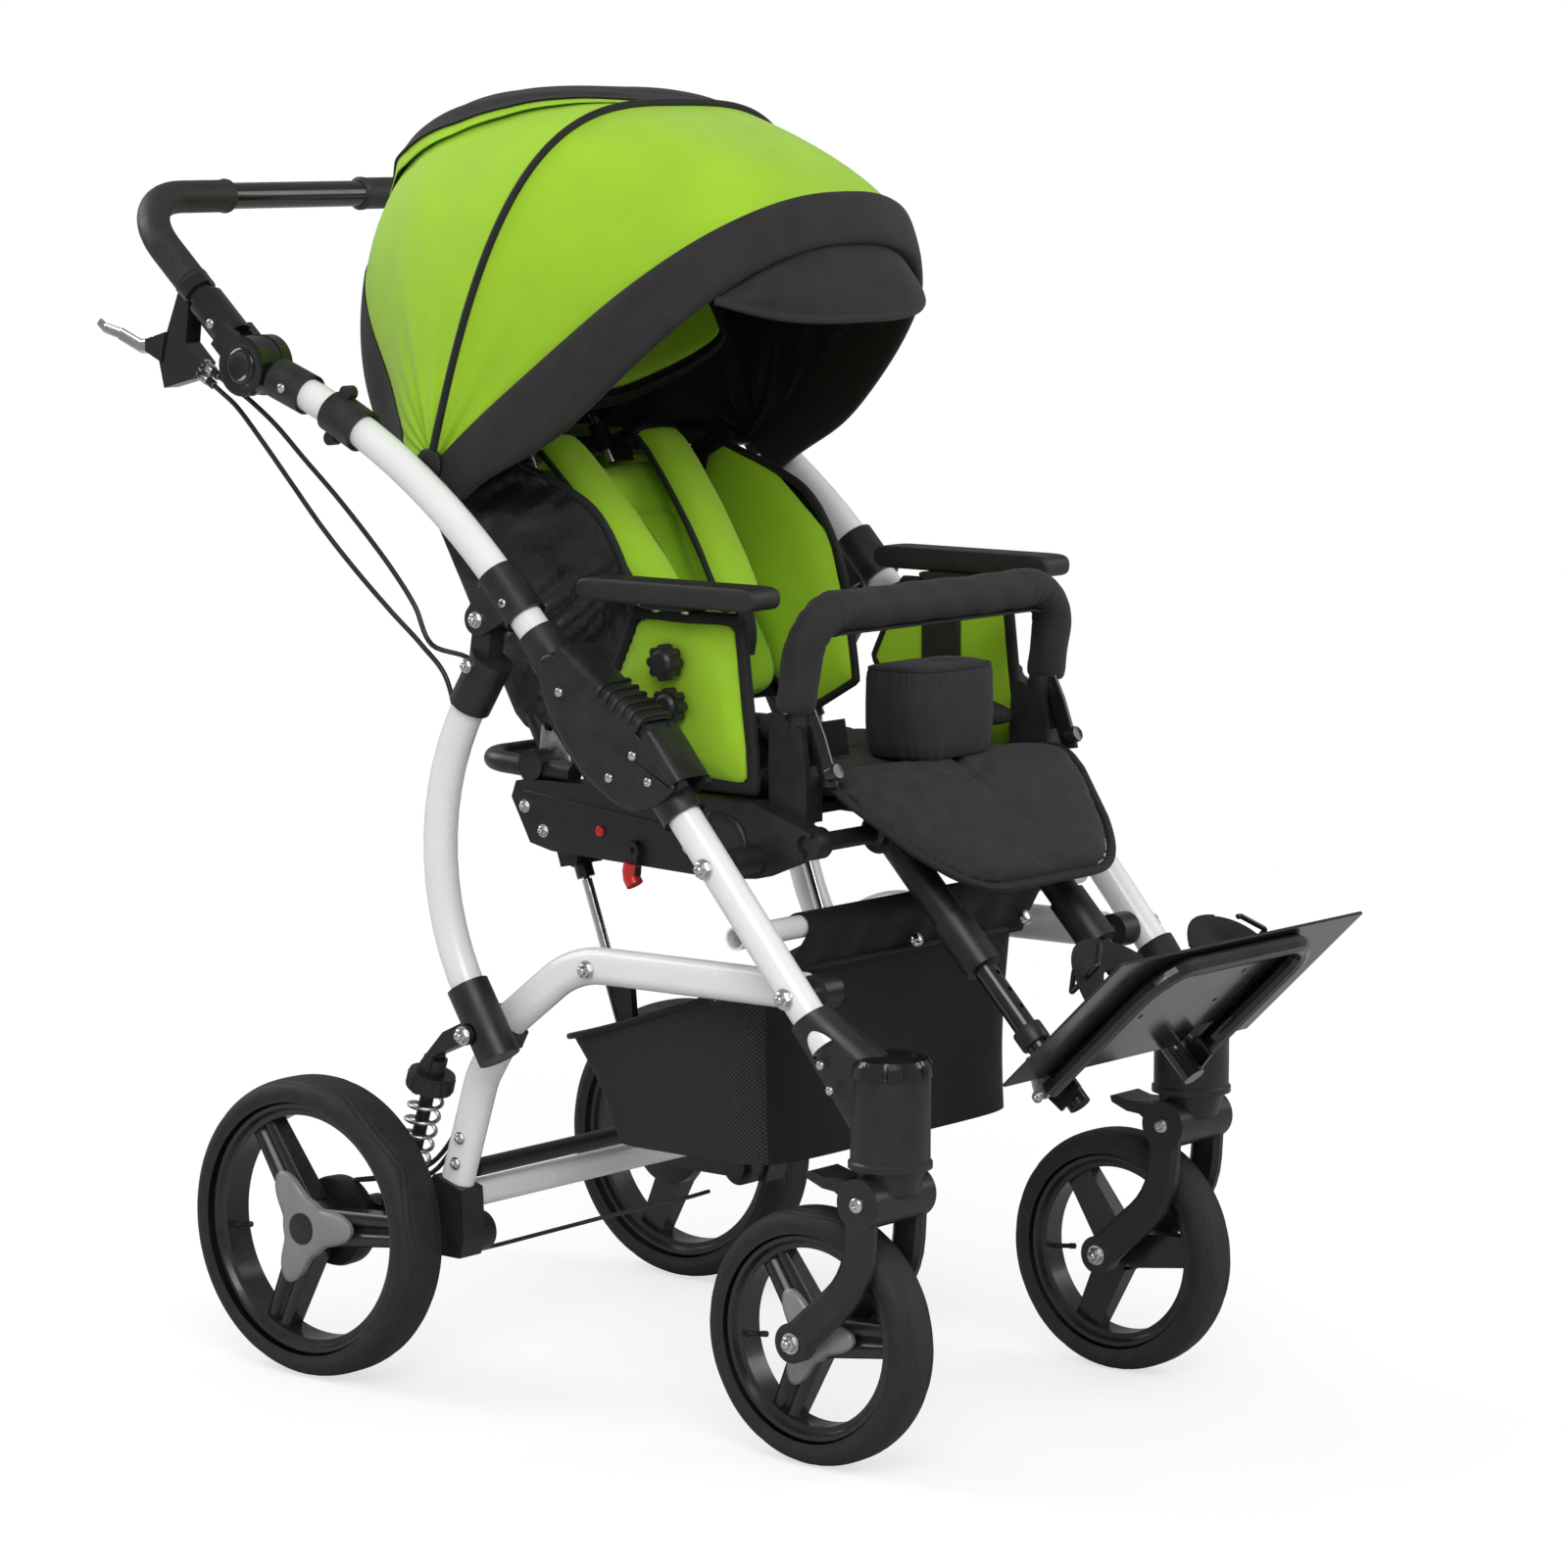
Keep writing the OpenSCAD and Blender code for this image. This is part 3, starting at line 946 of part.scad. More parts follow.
// Legrest in its own line: distance down the leg from the hinge, height to the front
leg_dir = -dir(leg_slope);
leg_up = [-sin(leg_slope), cos(leg_slope)];
function on_leg(s, n) = legrest_pivot + s * leg_dir + n * leg_up;
function leg_at(x, s, n) = at(x, on_leg(s, n));
module legrest_hangers() color(black) both() difference() {
  union() {
    side_at(leg_x - 16) translate(legrest_pivot) cylinder(h = 32, r = 20);
    bar(leg_at(leg_x, 0, 0), leg_at(leg_x, 110, 0), leg_r + 5);
    bar(leg_at(leg_x, 108, 0), leg_at(leg_x, 165, 0), leg_r + 8);
  }
  bar(leg_at(leg_x, 40, 0), leg_at(leg_x, 200, 0), leg_r + fit);
  side_at(0) translate(legrest_pivot) cylinder(h = 300, r = 9 + fit);
}
module calf_pad() color(charcoal) {
  // rows down the pad: distance down the leg, height of the underside, half width
  rows = [[8, 18.9, 168], [34, 20.9, 166], [60, 23.9, 158], [86, 26.9, 140], [112, 29.9, 116]];
  sheet = [for (i = [0:12]) let (k = i / 3, a = floor(k), b = min(a + 1, 4), r = rows[a] + (k - a) * (rows[b] - rows[a]))
    [for (j = [0:14]) let (u = 1 - j / 7, v = i / 6 - 1, h = 9 + 17 * (1 - pow(abs(u), 4)) * (1 - pow(abs(v), 4)))
      [r[2] * u, r[0], r[1], h]]];
  slab([for (row = sheet) [for (p = row) leg_at(p[0], p[1], p[2] + p[3])]],
    [for (row = sheet) [for (p = row) leg_at(p[0], p[1], p[2])]]);
}
module legrest_tubes() color(gloss) both() {
  difference() {
    bar(leg_at(leg_x, 60, 0), leg_at(leg_x, leg_len + 30, 0), leg_r);
    bar(leg_at(leg_x, 50, 0), leg_at(leg_x, leg_len + 25, 0), leg_r - tube_wall);
    for (i = [0:4]) bar(leg_at(leg_x, 178 + 20 * i, 0), leg_at(leg_x, 178 + 20 * i, 20), 2.5);
  }
  side_at(leg_x + leg_r - 1) translate(on_leg(leg_len + 12, 0)) cylinder(h = 9, r = 4);
}

// Footplate: bent sheet on a U tube, hung on two triangular side plates
rail_x = 122;
notch = 46;
module footplate() color(gloss) {
  translate(leg_at(0, leg_len, 0)) rotate([leg_slope, 0, 0]) {
    // local Y runs up the leg, local Z to the toe
    difference() {
      translate([-plate_half, 0, 14]) cube([2 * plate_half, plate_t, plate_len - 14]);
      for (s = [-1, 1]) translate([s * leg_x - leg_r - 2.5, -1, 0]) cube([2 * leg_r + 5, plate_t + 2, notch]);
      for (s = [-1, 1], i = [0:1]) translate([s * 60, plate_t + 1, 90 + 45 * i]) rotate([90, 0, 0])
        cylinder(h = plate_t + 2, r = plate_hole_r);
    }
    sweep_tube(bent([[rail_x, -8.5, 4], [rail_x, -8.5, plate_len - 14], [-rail_x, -8.5, plate_len - 14], [-rail_x, -8.5, 4]], 40, 15),
      ring(9, 10), ring(9 - tube_wall, 10), [0, 1, 0]);
  }
  both() difference() {
    side_at(leg_x + leg_r + 1) linear_extrude(4)
      polygon([on_leg(leg_len - 12, -18), on_leg(leg_len + 2, 22), on_leg(leg_len + 22, 22), on_leg(leg_len + 26, -10)]);
    side_at(0) translate(on_leg(leg_len + 12, 0)) cylinder(h = 300, r = 4 + fit);
  }
}
// Foot straps: a webbing arch over each foot
module foot_straps() color(black) for (s = [-1, 1]) {
  sheet = [for (i = [0:1]) [for (j = [0:12]) let (a = 180 * j / 12)
    leg_at(s * 92 + 46 * cos(a), leg_len - plate_t - gap - 46 * sin(a), 96 + 36 * i)]];
  inner = [for (i = [0:1]) [for (j = [0:12]) let (a = 180 * j / 12)
    leg_at(s * 92 + 43 * cos(a), leg_len - plate_t - gap - 43 * sin(a), 96 + 36 * i)]];
  slab(sheet, inner);
}

front_tubes();
fold_housings();
caster_housings();
frame_bolts();
upper_tubes();
upper_fittings();
brake_cables();
fold_sliders();
handle_bar();
handle_grips();
handle_hinges();
brake_bracket();
brake_lever();
hinge_button_left();
hinge_button_right();
rear_legs();
leg_end_caps();
rear_frame();
rear_brackets();
suspension_springs();
basket();
swing_arm_left();
swing_arm_right();
rear_rim_left();
rear_rim_right();
rear_tyre_left();
rear_tyre_right();
fork_left();
fork_right();
lock_lever_left();
lock_lever_right();
front_rim_left();
front_rim_right();
front_tyre_left();
front_tyre_right();
tilt_trunnions();
seat_rails();
seat_cushion();
side_panels();
pommel();
tilt_lever();
star_knobs_upper();
star_knobs_lower();
bumper_bar();
armrest_left();
armrest_right();
strut_barrels();
strut_rods();
strut_forks();
back_frame();
back_cushion();
headrest();
canopy_rear();
canopy_mid();
canopy_front();
legrest_hangers();
calf_pad();
legrest_tubes();
footplate();
foot_straps();
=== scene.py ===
import math

import bmesh
import bpy
import numpy as np
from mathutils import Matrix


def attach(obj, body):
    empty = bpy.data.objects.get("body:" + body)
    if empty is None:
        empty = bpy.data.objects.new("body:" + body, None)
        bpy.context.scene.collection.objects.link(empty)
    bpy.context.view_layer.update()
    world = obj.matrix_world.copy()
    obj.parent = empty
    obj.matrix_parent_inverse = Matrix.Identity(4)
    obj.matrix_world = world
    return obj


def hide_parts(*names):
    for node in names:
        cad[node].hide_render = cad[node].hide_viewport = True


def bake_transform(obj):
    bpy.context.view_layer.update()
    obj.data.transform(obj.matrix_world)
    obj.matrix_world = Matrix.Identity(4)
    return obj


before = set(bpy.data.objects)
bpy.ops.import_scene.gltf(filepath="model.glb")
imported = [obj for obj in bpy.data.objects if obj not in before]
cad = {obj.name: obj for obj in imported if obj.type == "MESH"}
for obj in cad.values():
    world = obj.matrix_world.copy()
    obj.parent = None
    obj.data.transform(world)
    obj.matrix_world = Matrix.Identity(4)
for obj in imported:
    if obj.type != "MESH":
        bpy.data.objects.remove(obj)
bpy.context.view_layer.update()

# Studio: a pale floor, soft lamps above and beside the buggy, and the camera of the picture.
# The floor looks white to the camera and keeps the soft shadow under the wheels.
scene = bpy.context.scene
scene.view_settings.view_transform = "Standard"
camera_data = bpy.data.cameras.new("view")
camera_data.lens = 119.3
camera_data.sensor_width = 36.0
camera = bpy.data.objects.new("view", camera_data)
camera.location = (-3.9134, -3.2637, 1.2571)
camera.rotation_euler = (math.radians(90.0 - 7.475), 0.0, math.radians(-50.693))
scene.collection.objects.link(camera)
scene.camera = camera


def soft_lamp(name, spot, aim, size, watts):
    """A square area lamp at a spot, turned to face the point it is aimed at."""
    data = bpy.data.lights.new(name, "AREA")
    data.size = size
    data.energy = watts
    lamp = bpy.data.objects.new(name, data)
    lamp.location = spot
    away = np.array(spot) - np.array(aim)
    flat = math.hypot(away[0], away[1])
    lamp.rotation_euler = (math.atan2(flat, away[2]), 0.0, math.atan2(away[0], -away[1]))
    scene.collection.objects.link(lamp)


soft_lamp("key_lamp", (-2.6, -2.4, 3.2), (0, 0, 0.6), 2.4, 92)
soft_lamp("side_lamp", (2.6, -2.8, 2.2), (0, 0, 0.6), 2.0, 34)
soft_lamp("back_lamp", (-0.8, 3.0, 2.6), (0, 0, 0.7), 2.0, 48)

world = bpy.data.worlds.new("studio")
world.use_nodes = True
scene.world = world
sky = world.node_tree
sky_rays = sky.nodes.new("ShaderNodeLightPath")
sky_seen = sky.nodes.new("ShaderNodeMath")
sky_seen.operation = "MAXIMUM"
sky_mix = sky.nodes.new("ShaderNodeMixShader")
sky_fill = sky.nodes["Background"]
sky_fill.inputs["Color"].default_value = (1, 1, 1, 1)
sky_fill.inputs["Strength"].default_value = 0.62
sky_white = sky.nodes.new("ShaderNodeBackground")
sky_white.inputs["Color"].default_value = (1, 1, 1, 1)
sky_white.inputs["Strength"].default_value = 1.0
sky.links.new(sky_rays.outputs["Is Camera Ray"], sky_seen.inputs[0])
sky.links.new(sky_rays.outputs["Is Transmission Ray"], sky_seen.inputs[1])
sky.links.new(sky_seen.outputs[0], sky_mix.inputs[0])
sky.links.new(sky_fill.outputs[0], sky_mix.inputs[1])
sky.links.new(sky_white.outputs[0], sky_mix.inputs[2])
sky_shine = sky.nodes.new("ShaderNodeBackground")
sky_shine.inputs["Color"].default_value = (1, 1, 1, 1)
sky_shine.inputs["Strength"].default_value = 0.28
sky_all = sky.nodes.new("ShaderNodeMixShader")
sky.links.new(sky_rays.outputs["Is Glossy Ray"], sky_all.inputs[0])
sky.links.new(sky_mix.outputs[0], sky_all.inputs[1])
sky.links.new(sky_shine.outputs[0], sky_all.inputs[2])
sky.links.new(sky_all.outputs[0], sky.nodes["World Output"].inputs["Surface"])

floor_mesh = bpy.data.meshes.new("floor")
floor_mesh.from_pydata([(-30, -30, 0), (30, -30, 0), (30, 30, 0), (-30, 30, 0)], [], [(0, 1, 2, 3)])
floor = bpy.data.objects.new("floor", floor_mesh)
scene.collection.objects.link(floor)
floor_paint = bpy.data.materials.new("pale_floor")
floor_paint.use_nodes = True
tree = floor_paint.node_tree
rays = tree.nodes.new("ShaderNodeLightPath")
lit = tree.nodes.new("ShaderNodeBsdfDiffuse")
lit.inputs["Color"].default_value = (0.34, 0.34, 0.345, 1)
glow = tree.nodes.new("ShaderNodeEmission")
glow.inputs["Color"].default_value = (1, 1, 1, 1)
glow.inputs["Strength"].default_value = 0.68
both_lit = tree.nodes.new("ShaderNodeAddShader")
plain = tree.nodes.new("ShaderNodeBsdfDiffuse")
plain.inputs["Color"].default_value = (0.5, 0.5, 0.5, 1)
spot = tree.nodes.new("ShaderNodeTexCoord")
far_off = tree.nodes.new("ShaderNodeVectorMath")
far_off.operation = "LENGTH"
fade = tree.nodes.new("ShaderNodeMapRange")
fade.inputs["From Min"].default_value = 0.75
fade.inputs["From Max"].default_value = 1.9
pure = tree.nodes.new("ShaderNodeEmission")
pure.inputs["Color"].default_value = (1, 1, 1, 1)
shown = tree.nodes.new("ShaderNodeMixShader")
tree.links.new(spot.outputs["Object"], far_off.inputs[0])
tree.links.new(far_off.outputs["Value"], fade.inputs["Value"])
tree.links.new(fade.outputs["Result"], shown.inputs[0])
tree.links.new(both_lit.outputs[0], shown.inputs[1])
tree.links.new(pure.outputs[0], shown.inputs[2])
floor_mix = tree.nodes.new("ShaderNodeMixShader")
tree.links.new(rays.outputs["Is Camera Ray"], floor_mix.inputs[0])
tree.links.new(lit.outputs[0], both_lit.inputs[0])
tree.links.new(glow.outputs[0], both_lit.inputs[1])
tree.links.new(plain.outputs[0], floor_mix.inputs[1])
tree.links.new(shown.outputs[0], floor_mix.inputs[2])
tree.links.new(floor_mix.outputs[0], tree.nodes["Material Output"].inputs["Surface"])
floor_mesh.materials.append(floor_paint)


# White frame tubes: bent steel tube, powder coated white and glossy. The front tubes run down to
# the casters, the upper tubes curve back to the handle, and the bowed legs and oval lower arms
# carry the rear wheels.
def finish(name, colour, rough, metal=0.0, coat=0.0, sheen=0.0, spec=0.5):
    """A Principled surface with its plain numbers set on the shader's own sockets."""
    made = bpy.data.materials.new(name)
    made.use_nodes = True
    shader = made.node_tree.nodes["Principled BSDF"]
    shader.inputs["Base Color"].default_value = (*colour, 1)
    shader.inputs["Roughness"].default_value = rough
    shader.inputs["Metallic"].default_value = metal
    shader.inputs["Coat Weight"].default_value = coat
    shader.inputs["Coat Roughness"].default_value = 0.12
    shader.inputs["Sheen Weight"].default_value = sheen
    shader.inputs["Sheen Roughness"].default_value = 0.45
    shader.inputs["Specular IOR Level"].default_value = spec
    return made


def drift(made, scale, colour_share, rough_share):
    """Colour and roughness that drift with a soft noise: each is its plain value times 1 +- share."""
    tree = made.node_tree
    shader = tree.nodes["Principled BSDF"]
    where = tree.nodes.new("ShaderNodeTexCoord")
    noise = tree.nodes.new("ShaderNodeTexNoise")
    noise.inputs["Scale"].default_value = scale
    noise.inputs["Detail"].default_value = 4.0
    tree.links.new(where.outputs["Object"], noise.inputs["Vector"])
    base = np.array(shader.inputs["Base Color"].default_value[:3])
    ramp = tree.nodes.new("ShaderNodeValToRGB")
    ramp.color_ramp.elements[0].position = 0.3
    ramp.color_ramp.elements[1].position = 0.7
    ramp.color_ramp.elements[0].color = (*np.clip(base * (1 - colour_share), 0, 1), 1)
    ramp.color_ramp.elements[1].color = (*np.clip(base * (1 + colour_share), 0, 1), 1)
    tree.links.new(noise.outputs["Fac"], ramp.inputs["Fac"])
    tree.links.new(ramp.outputs["Color"], shader.inputs["Base Color"])
    plain_rough = shader.inputs["Roughness"].default_value
    span = tree.nodes.new("ShaderNodeMapRange")
    span.inputs["From Min"].default_value = 0.3
    span.inputs["From Max"].default_value = 0.7
    span.inputs["To Min"].default_value = plain_rough * (1 - rough_share)
    span.inputs["To Max"].default_value = min(1.0, plain_rough * (1 + rough_share))
    tree.links.new(noise.outputs["Fac"], span.inputs["Value"])
    tree.links.new(span.outputs["Result"], shader.inputs["Roughness"])
    return made


def grain(made, scale, height, strength=0.35):
    """A fine pebbled bump of the given height in metres, from noise on Object coordinates."""
    tree = made.node_tree
    where = tree.nodes.new("ShaderNodeTexCoord")
    noise = tree.nodes.new("ShaderNodeTexNoise")
    noise.inputs["Scale"].default_value = scale
    noise.inputs["Detail"].default_value = 3.0
    bump = tree.nodes.new("ShaderNodeBump")
    bump.inputs["Strength"].default_value = strength
    bump.inputs["Distance"].default_value = height
    tree.links.new(where.outputs["Object"], noise.inputs["Vector"])
    tree.links.new(noise.outputs["Fac"], bump.inputs["Height"])
    tree.links.new(bump.outputs["Normal"], tree.nodes["Principled BSDF"].inputs["Normal"])
    return made


white_paint = grain(drift(finish("white_powder_coat", (0.84, 0.84, 0.835), 0.24, coat=0.35), 18, 0.02,
                          0.25),
                    900, 0.0002, 0.12)


def paint_node(node, made):
    """Puts a finish on a solid carried over from the CAD model."""
    cad[node].data.materials.clear()
    cad[node].data.materials.append(made)


def grid_quads(rows, cols, wrap, first):
    """Corners of the quads of a grid of points numbered row by row from first."""
    i = np.arange(rows - 1)[:, None] * cols
    j = np.arange(cols if wrap else cols - 1)[None, :]
    k = (j + 1) % cols
    return first + np.stack([i + j, i + k, i + cols + k, i + cols + j], axis=-1).reshape(-1, 4)


def make_piece(name, grids, made, body=None, instead=(), angle=40.0, closed=True, uv=None):
    """One piece from grids of points in mm: each is (points rows x cols x 3, wrap, capped). Wrapped
    grids join their last column to the first, capped ones get a flat face on their end rows."""
    points, faces, first = [], [], 0
    for grid in grids:
        spots, wrap, capped = (grid + (True, True))[:3] if isinstance(grid, tuple) else (grid, True, True)
        spots = np.asarray(spots, float)
        rows, cols = spots.shape[:2]
        points.append(spots.reshape(-1, 3))
        faces += grid_quads(rows, cols, wrap, first).tolist()
        if capped and wrap:
            faces.append(list(range(first + cols - 1, first - 1, -1)))
            faces.append(list(range(first + (rows - 1) * cols, first + rows * cols)))
        first += rows * cols
    mesh = bpy.data.meshes.new(name)
    mesh.from_pydata((np.concatenate(points) / 1000.0).tolist(), [], faces)
    if uv is not None:
        corner = np.empty(len(mesh.loops), dtype=np.int32)
        mesh.loops.foreach_get("vertex_index", corner)
        layer = mesh.uv_layers.new(name="cloth")
        layer.data.foreach_set("uv", (np.concatenate(uv).reshape(-1,
                2)[corner] / 1000.0).astype(np.float32).ravel())
    work = bmesh.new()
    work.from_mesh(mesh)
    bmesh.ops.remove_doubles(work, verts=work.verts, dist=1e-6)
    if closed:
        bmesh.ops.recalc_face_normals(work, faces=work.faces)
    work.to_mesh(mesh)
    work.free()
    mesh.shade_smooth()
    mesh.set_sharp_from_angle(angle=math.radians(angle))
    mesh.materials.append(made)
    piece = bpy.data.objects.new(name, mesh)
    scene.collection.objects.link(piece)
    if body:
        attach(piece, body)
    if instead:
        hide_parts(*instead)
    return piece


def rounded_path(points, radius, per_turn=14):
    """Straight runs through the points, each inner corner eased by an arc of the given radius."""
    points = np.asarray(points, float)
    path = [points[:1]]
    for a, b, c in zip(points[:-2], points[1:-1], points[2:]):
        u = (a - b) / np.linalg.norm(a - b)
        v = (c - b) / np.linalg.norm(c - b)
        half = math.acos(float(np.clip(u @ v, -1, 1))) / 2
        middle = b + (u + v) / np.linalg.norm(u + v) * radius / math.sin(half)
        out = (b + u * radius / math.tan(half) - middle) / radius
        turn = np.linspace(0, math.pi - 2 * half, per_turn)[:, None]
        path.append(middle + radius * (out * np.cos(turn) - u * np.sin(turn)))
    return np.concatenate(path + [points[-1:]])


def carried(path, profile, up):
    """A profile carried along a path: each point is path + side * across + normal * over, where
    side is tangent x up and normal is side x tangent. The profile may change along the path."""
    path = np.asarray(path, float)
    profile = np.asarray(profile, float)
    if profile.ndim == 2:
        profile = profile[None]
    tangent = np.gradient(path, axis=0)
    tangent /= np.linalg.norm(tangent, axis=1, keepdims=True)
    side = np.cross(tangent, np.asarray(up, float))
    side /= np.linalg.norm(side, axis=1, keepdims=True)
    normal = np.cross(side, tangent)
    return path[:, None] + side[:, None] * profile[..., 0:1] + normal[:, None] * profile[..., 1:2]


def round_profile(radius, sides=32):
    """A circle of points, as (across, over)."""
    turn = np.linspace(0, 2 * np.pi, sides, endpoint=False)
    return radius * np.stack([np.cos(turn), np.sin(turn)], axis=-1)


def oval_profile(wide, high, sides=40):
    """Two half rounds of the wide side set apart until the shape is as high as asked."""
    turn = np.linspace(0, 2 * np.pi, sides, endpoint=False)
    over = wide / 2 * np.sin(turn) + np.where(np.sin(turn) >= 0, 1, -1) * (high - wide) / 2
    return np.stack([over, wide / 2 * np.cos(turn)], axis=-1)


def side_path(x, points, radius=None):
    """A path in a side plane: (y, z) points at one x, with eased corners."""
    points = np.array([(x, y, z) for y, z in points], float)
    return rounded_path(points, radius) if radius else points


def mirrored(grids):
    """The grids and their copies on the other side of the buggy."""
    return grids + [(g[0] * (-1, 1, 1),) + g[1:] if isinstance(g, tuple) else g * (-1, 1, 1) for g in grids]


frame_x, tube_r = 272.0, 16.5
paint_node("front_tubes", white_paint)
handle_joint = np.array([390.0, 1000.0])
upper_tail = (handle_joint - (174, 921)) / np.linalg.norm(handle_joint - (174, 921))
upper_end = handle_joint - 36 * upper_tail
upper = side_path(frame_x, [(-4, 732), (174, 921), tuple(upper_end)], 720)
make_piece("upper_tube_pair", mirrored([carried(upper, round_profile(tube_r), (1, 0, 0))]), white_paint,
           "upper_frame", ["upper_tubes"])
leg = side_path(frame_x, [(89, 712), (196, 544), (104, 396)], 270)
make_piece("rear_leg_pair", mirrored([carried(leg, round_profile(tube_r), (1, 0, 0))]), white_paint,
           "rear_leg", ["rear_legs"])
arm = side_path(235, [(-279.5, 442), (6, 439), (88, 376)], 110)
lower_leg = side_path(235, [(102, 354), (128, 314), (162, 207)], 90)
crossbar = np.linspace((-219.7, 158, 191), (219.7, 158, 191), 5)
make_piece("lower_arms", mirrored([carried(arm, oval_profile(25, 36), (1, 0, 0)),
                                   carried(lower_leg, oval_profile(25, 36), (1, 0, 0))])
           + [carried(crossbar, oval_profile(20, 28), (0, 1, 0))], white_paint,
           "lower_frame", ["rear_frame"])

# Fold housings, leg connectors, hinge knuckles and caster housings: moulded black nylon with a
# satin grain, bolted over the white tubes. Grooved grips and small socket screws show on them.
satin_black = grain(drift(finish("satin_nylon", (0.017, 0.017, 0.018), 0.4, spec=0.45), 40, 0.25, 0.2),
                    1400, 0.0003, 0.25)
gloss_black = grain(drift(finish("gloss_enamel", (0.011, 0.011, 0.012), 0.17, coat=0.3), 25, 0.2, 0.35),
                    500, 0.0001, 0.08)
for node in ("fold_housings", "caster_housings", "upper_fittings", "fold_sliders", "leg_end_caps",
             "rear_brackets",
             "swing_arm_left", "swing_arm_right", "seat_rails", "back_frame", "lock_lever_left",
             "lock_lever_right",
             "star_knobs_upper", "star_knobs_lower", "fork_left", "fork_right"):
    paint_node(node, satin_black)
for node in ("handle_hinges", "hinge_button_left", "hinge_button_right", "brake_bracket", "strut_barrels",
             "legrest_tubes", "footplate", "strut_forks"):
    paint_node(node, gloss_black)


def turned(profile, centre, axis, sides=48, start=(0, 0, 1)):
    """A profile of (distance along the axis, radius) turned round an axis through centre:
    point = centre + axis * distance + radius * (cos * b + sin * c), b and c square to the axis."""
    profile = np.asarray(profile, float)
    axis = np.asarray(axis, float) / np.linalg.norm(axis)
    b = np.cross(axis, start if abs(np.dot(axis, start)) < 0.9 else (1, 0, 0))
    b /= np.linalg.norm(b)
    c = np.cross(axis, b)
    turn = np.linspace(0, 2 * np.pi, sides, endpoint=False)[None, :, None]
    return (np.asarray(centre, float) + profile[:, None, :1] * axis
            + profile[:, None, 1:] * (np.cos(turn) * b + np.sin(turn) * c))


zinc = drift(finish("zinc_plate", (0.62, 0.63, 0.65), 0.28, metal=1.0), 120, 0.12, 0.4)


def nut_and_washer(spot, axis, r, reach=0.0):
    """A washer, a six-sided nut and the domed end of its bolt, standing on a face."""
    spot = np.asarray(spot, float)
    return [turned([(reach, r * 0.5), (reach, r * 1.25), (reach + 1.2, r * 1.25), (reach + 1.4, r * 0.7)],
                   spot, axis, 28),
            turned([(reach + 1.2, r * 0.6), (reach + 1.2, r), (reach + 0.75 * r, r),
                    (reach + 0.9 * r, r * 0.8)], spot, axis, 6),
            turned([(reach + 0.8 * r, r * 0.62), (reach + 1.15 * r, r * 0.58), (reach + 1.4 * r, r * 0.34),
                    (reach + 1.46 * r, r * 0.05)], spot, axis, 20)]


def socket_screw(spot, axis, r):
    """A low domed screw head with a six-sided socket sunk in it."""
    return [turned([(0, r), (0.35 * r, r), (0.62 * r, r * 0.78), (0.7 * r, r * 0.5), (0.68 * r, r * 0.44),
                    (0.25 * r, r * 0.42), (0.24 * r, 0.02 * r)], spot, axis, 24)]


def both_sides(maker, spots, x, *sizes):
    """Fasteners at (y, z) spots on the outer faces at +x and -x."""
    made = []
    for y, z in spots:
        made += maker((x, y, z), (1, 0, 0), *sizes) + maker((-x, y, z), (-1, 0, 0), *sizes)
    return made


make_piece("frame_pivot_nuts", both_sides(nut_and_washer, [(-297, 444), (-201, 555)], 289.5, 8.0)
           + mirrored([turned([(0, 6), (61, 6)], (229, -297, 444), (1, 0, 0), 20),
                       turned([(0, 6), (94, 6)], (195.5, -201, 555), (1, 0, 0), 20),
                       turned([(0, 6), (42, 6)], (251, -108, 662), (1, 0, 0), 20)]),
           zinc, "front_frame", ["frame_bolts"])
make_piece("housing_screws", both_sides(socket_screw, [(-31, 708), (-122, 655), (-93, 632), (-141, 632)],
                                        297.6, 4.6),
           zinc, "front_frame")
make_piece("upper_screws", both_sides(socket_screw, [(-52, 664)], 293, 4.2)
           + both_sides(nut_and_washer, [(80, 769)], 291.7, 6.5)
           + both_sides(socket_screw, [(45, 787)], 291.7, 4.5), zinc, "upper_frame")
make_piece("leg_cap_bolts", both_sides(nut_and_washer, [(92, 724)], 292.5, 5.5), zinc, "rear_leg")

# Fold housings: a smooth moulded nylon cover screwed on the outside of each fold joint, and a rounded
# front in two halves that part when the joint folds, with six ribs over the seam for the hand.
def moulded_plate(edge, inner, outer, middle):
    """A thin cover between two x planes: the outline is eased by a running mean over its corners, its
    outer edge is rounded off, and the outer face is drawn in to a middle point."""
    edge, middle = np.asarray(edge, float), np.asarray(middle, float)
    whole = np.concatenate([edge, edge[:1]])
    spots = np.arange(len(edge) * 10) / 10
    eased_edge = sum(weight * np.column_stack([np.interp((spots + shift) % len(edge), np.arange(len(whole)),
            whole[:, k]) for k in (0, 1)])
                     for shift, weight in ((-0.6, 0.08), (-0.3, 0.24), (0, 0.36), (0.3, 0.24), (0.6, 0.08)))
    heading = np.roll(eased_edge, -1, axis=0) - np.roll(eased_edge, 1, axis=0)
    inward = (np.column_stack([-heading[:, 1], heading[:, 0]]) / np.linalg.norm(heading, axis=1,
            keepdims=True))
    inward *= np.sign((inward * (middle - eased_edge)).sum(axis=1).mean())
    rise = outer - inner
    rows = [(inner, 0.25 * rise), (inner + 0.35 * rise, 0.0), (inner + 0.7 * rise, 0.15 * rise),
            (inner + 0.93 * rise, 0.5 * rise), (outer, rise)]
    rows = [(x, eased_edge + inset * inward) for x, inset in rows]
    rows += [(outer, middle + share * (rows[-1][1] - middle)) for share in (0.7, 0.4, 0.1)]
    return np.stack([np.column_stack([np.full(len(points), x), points]) for x, points in rows])


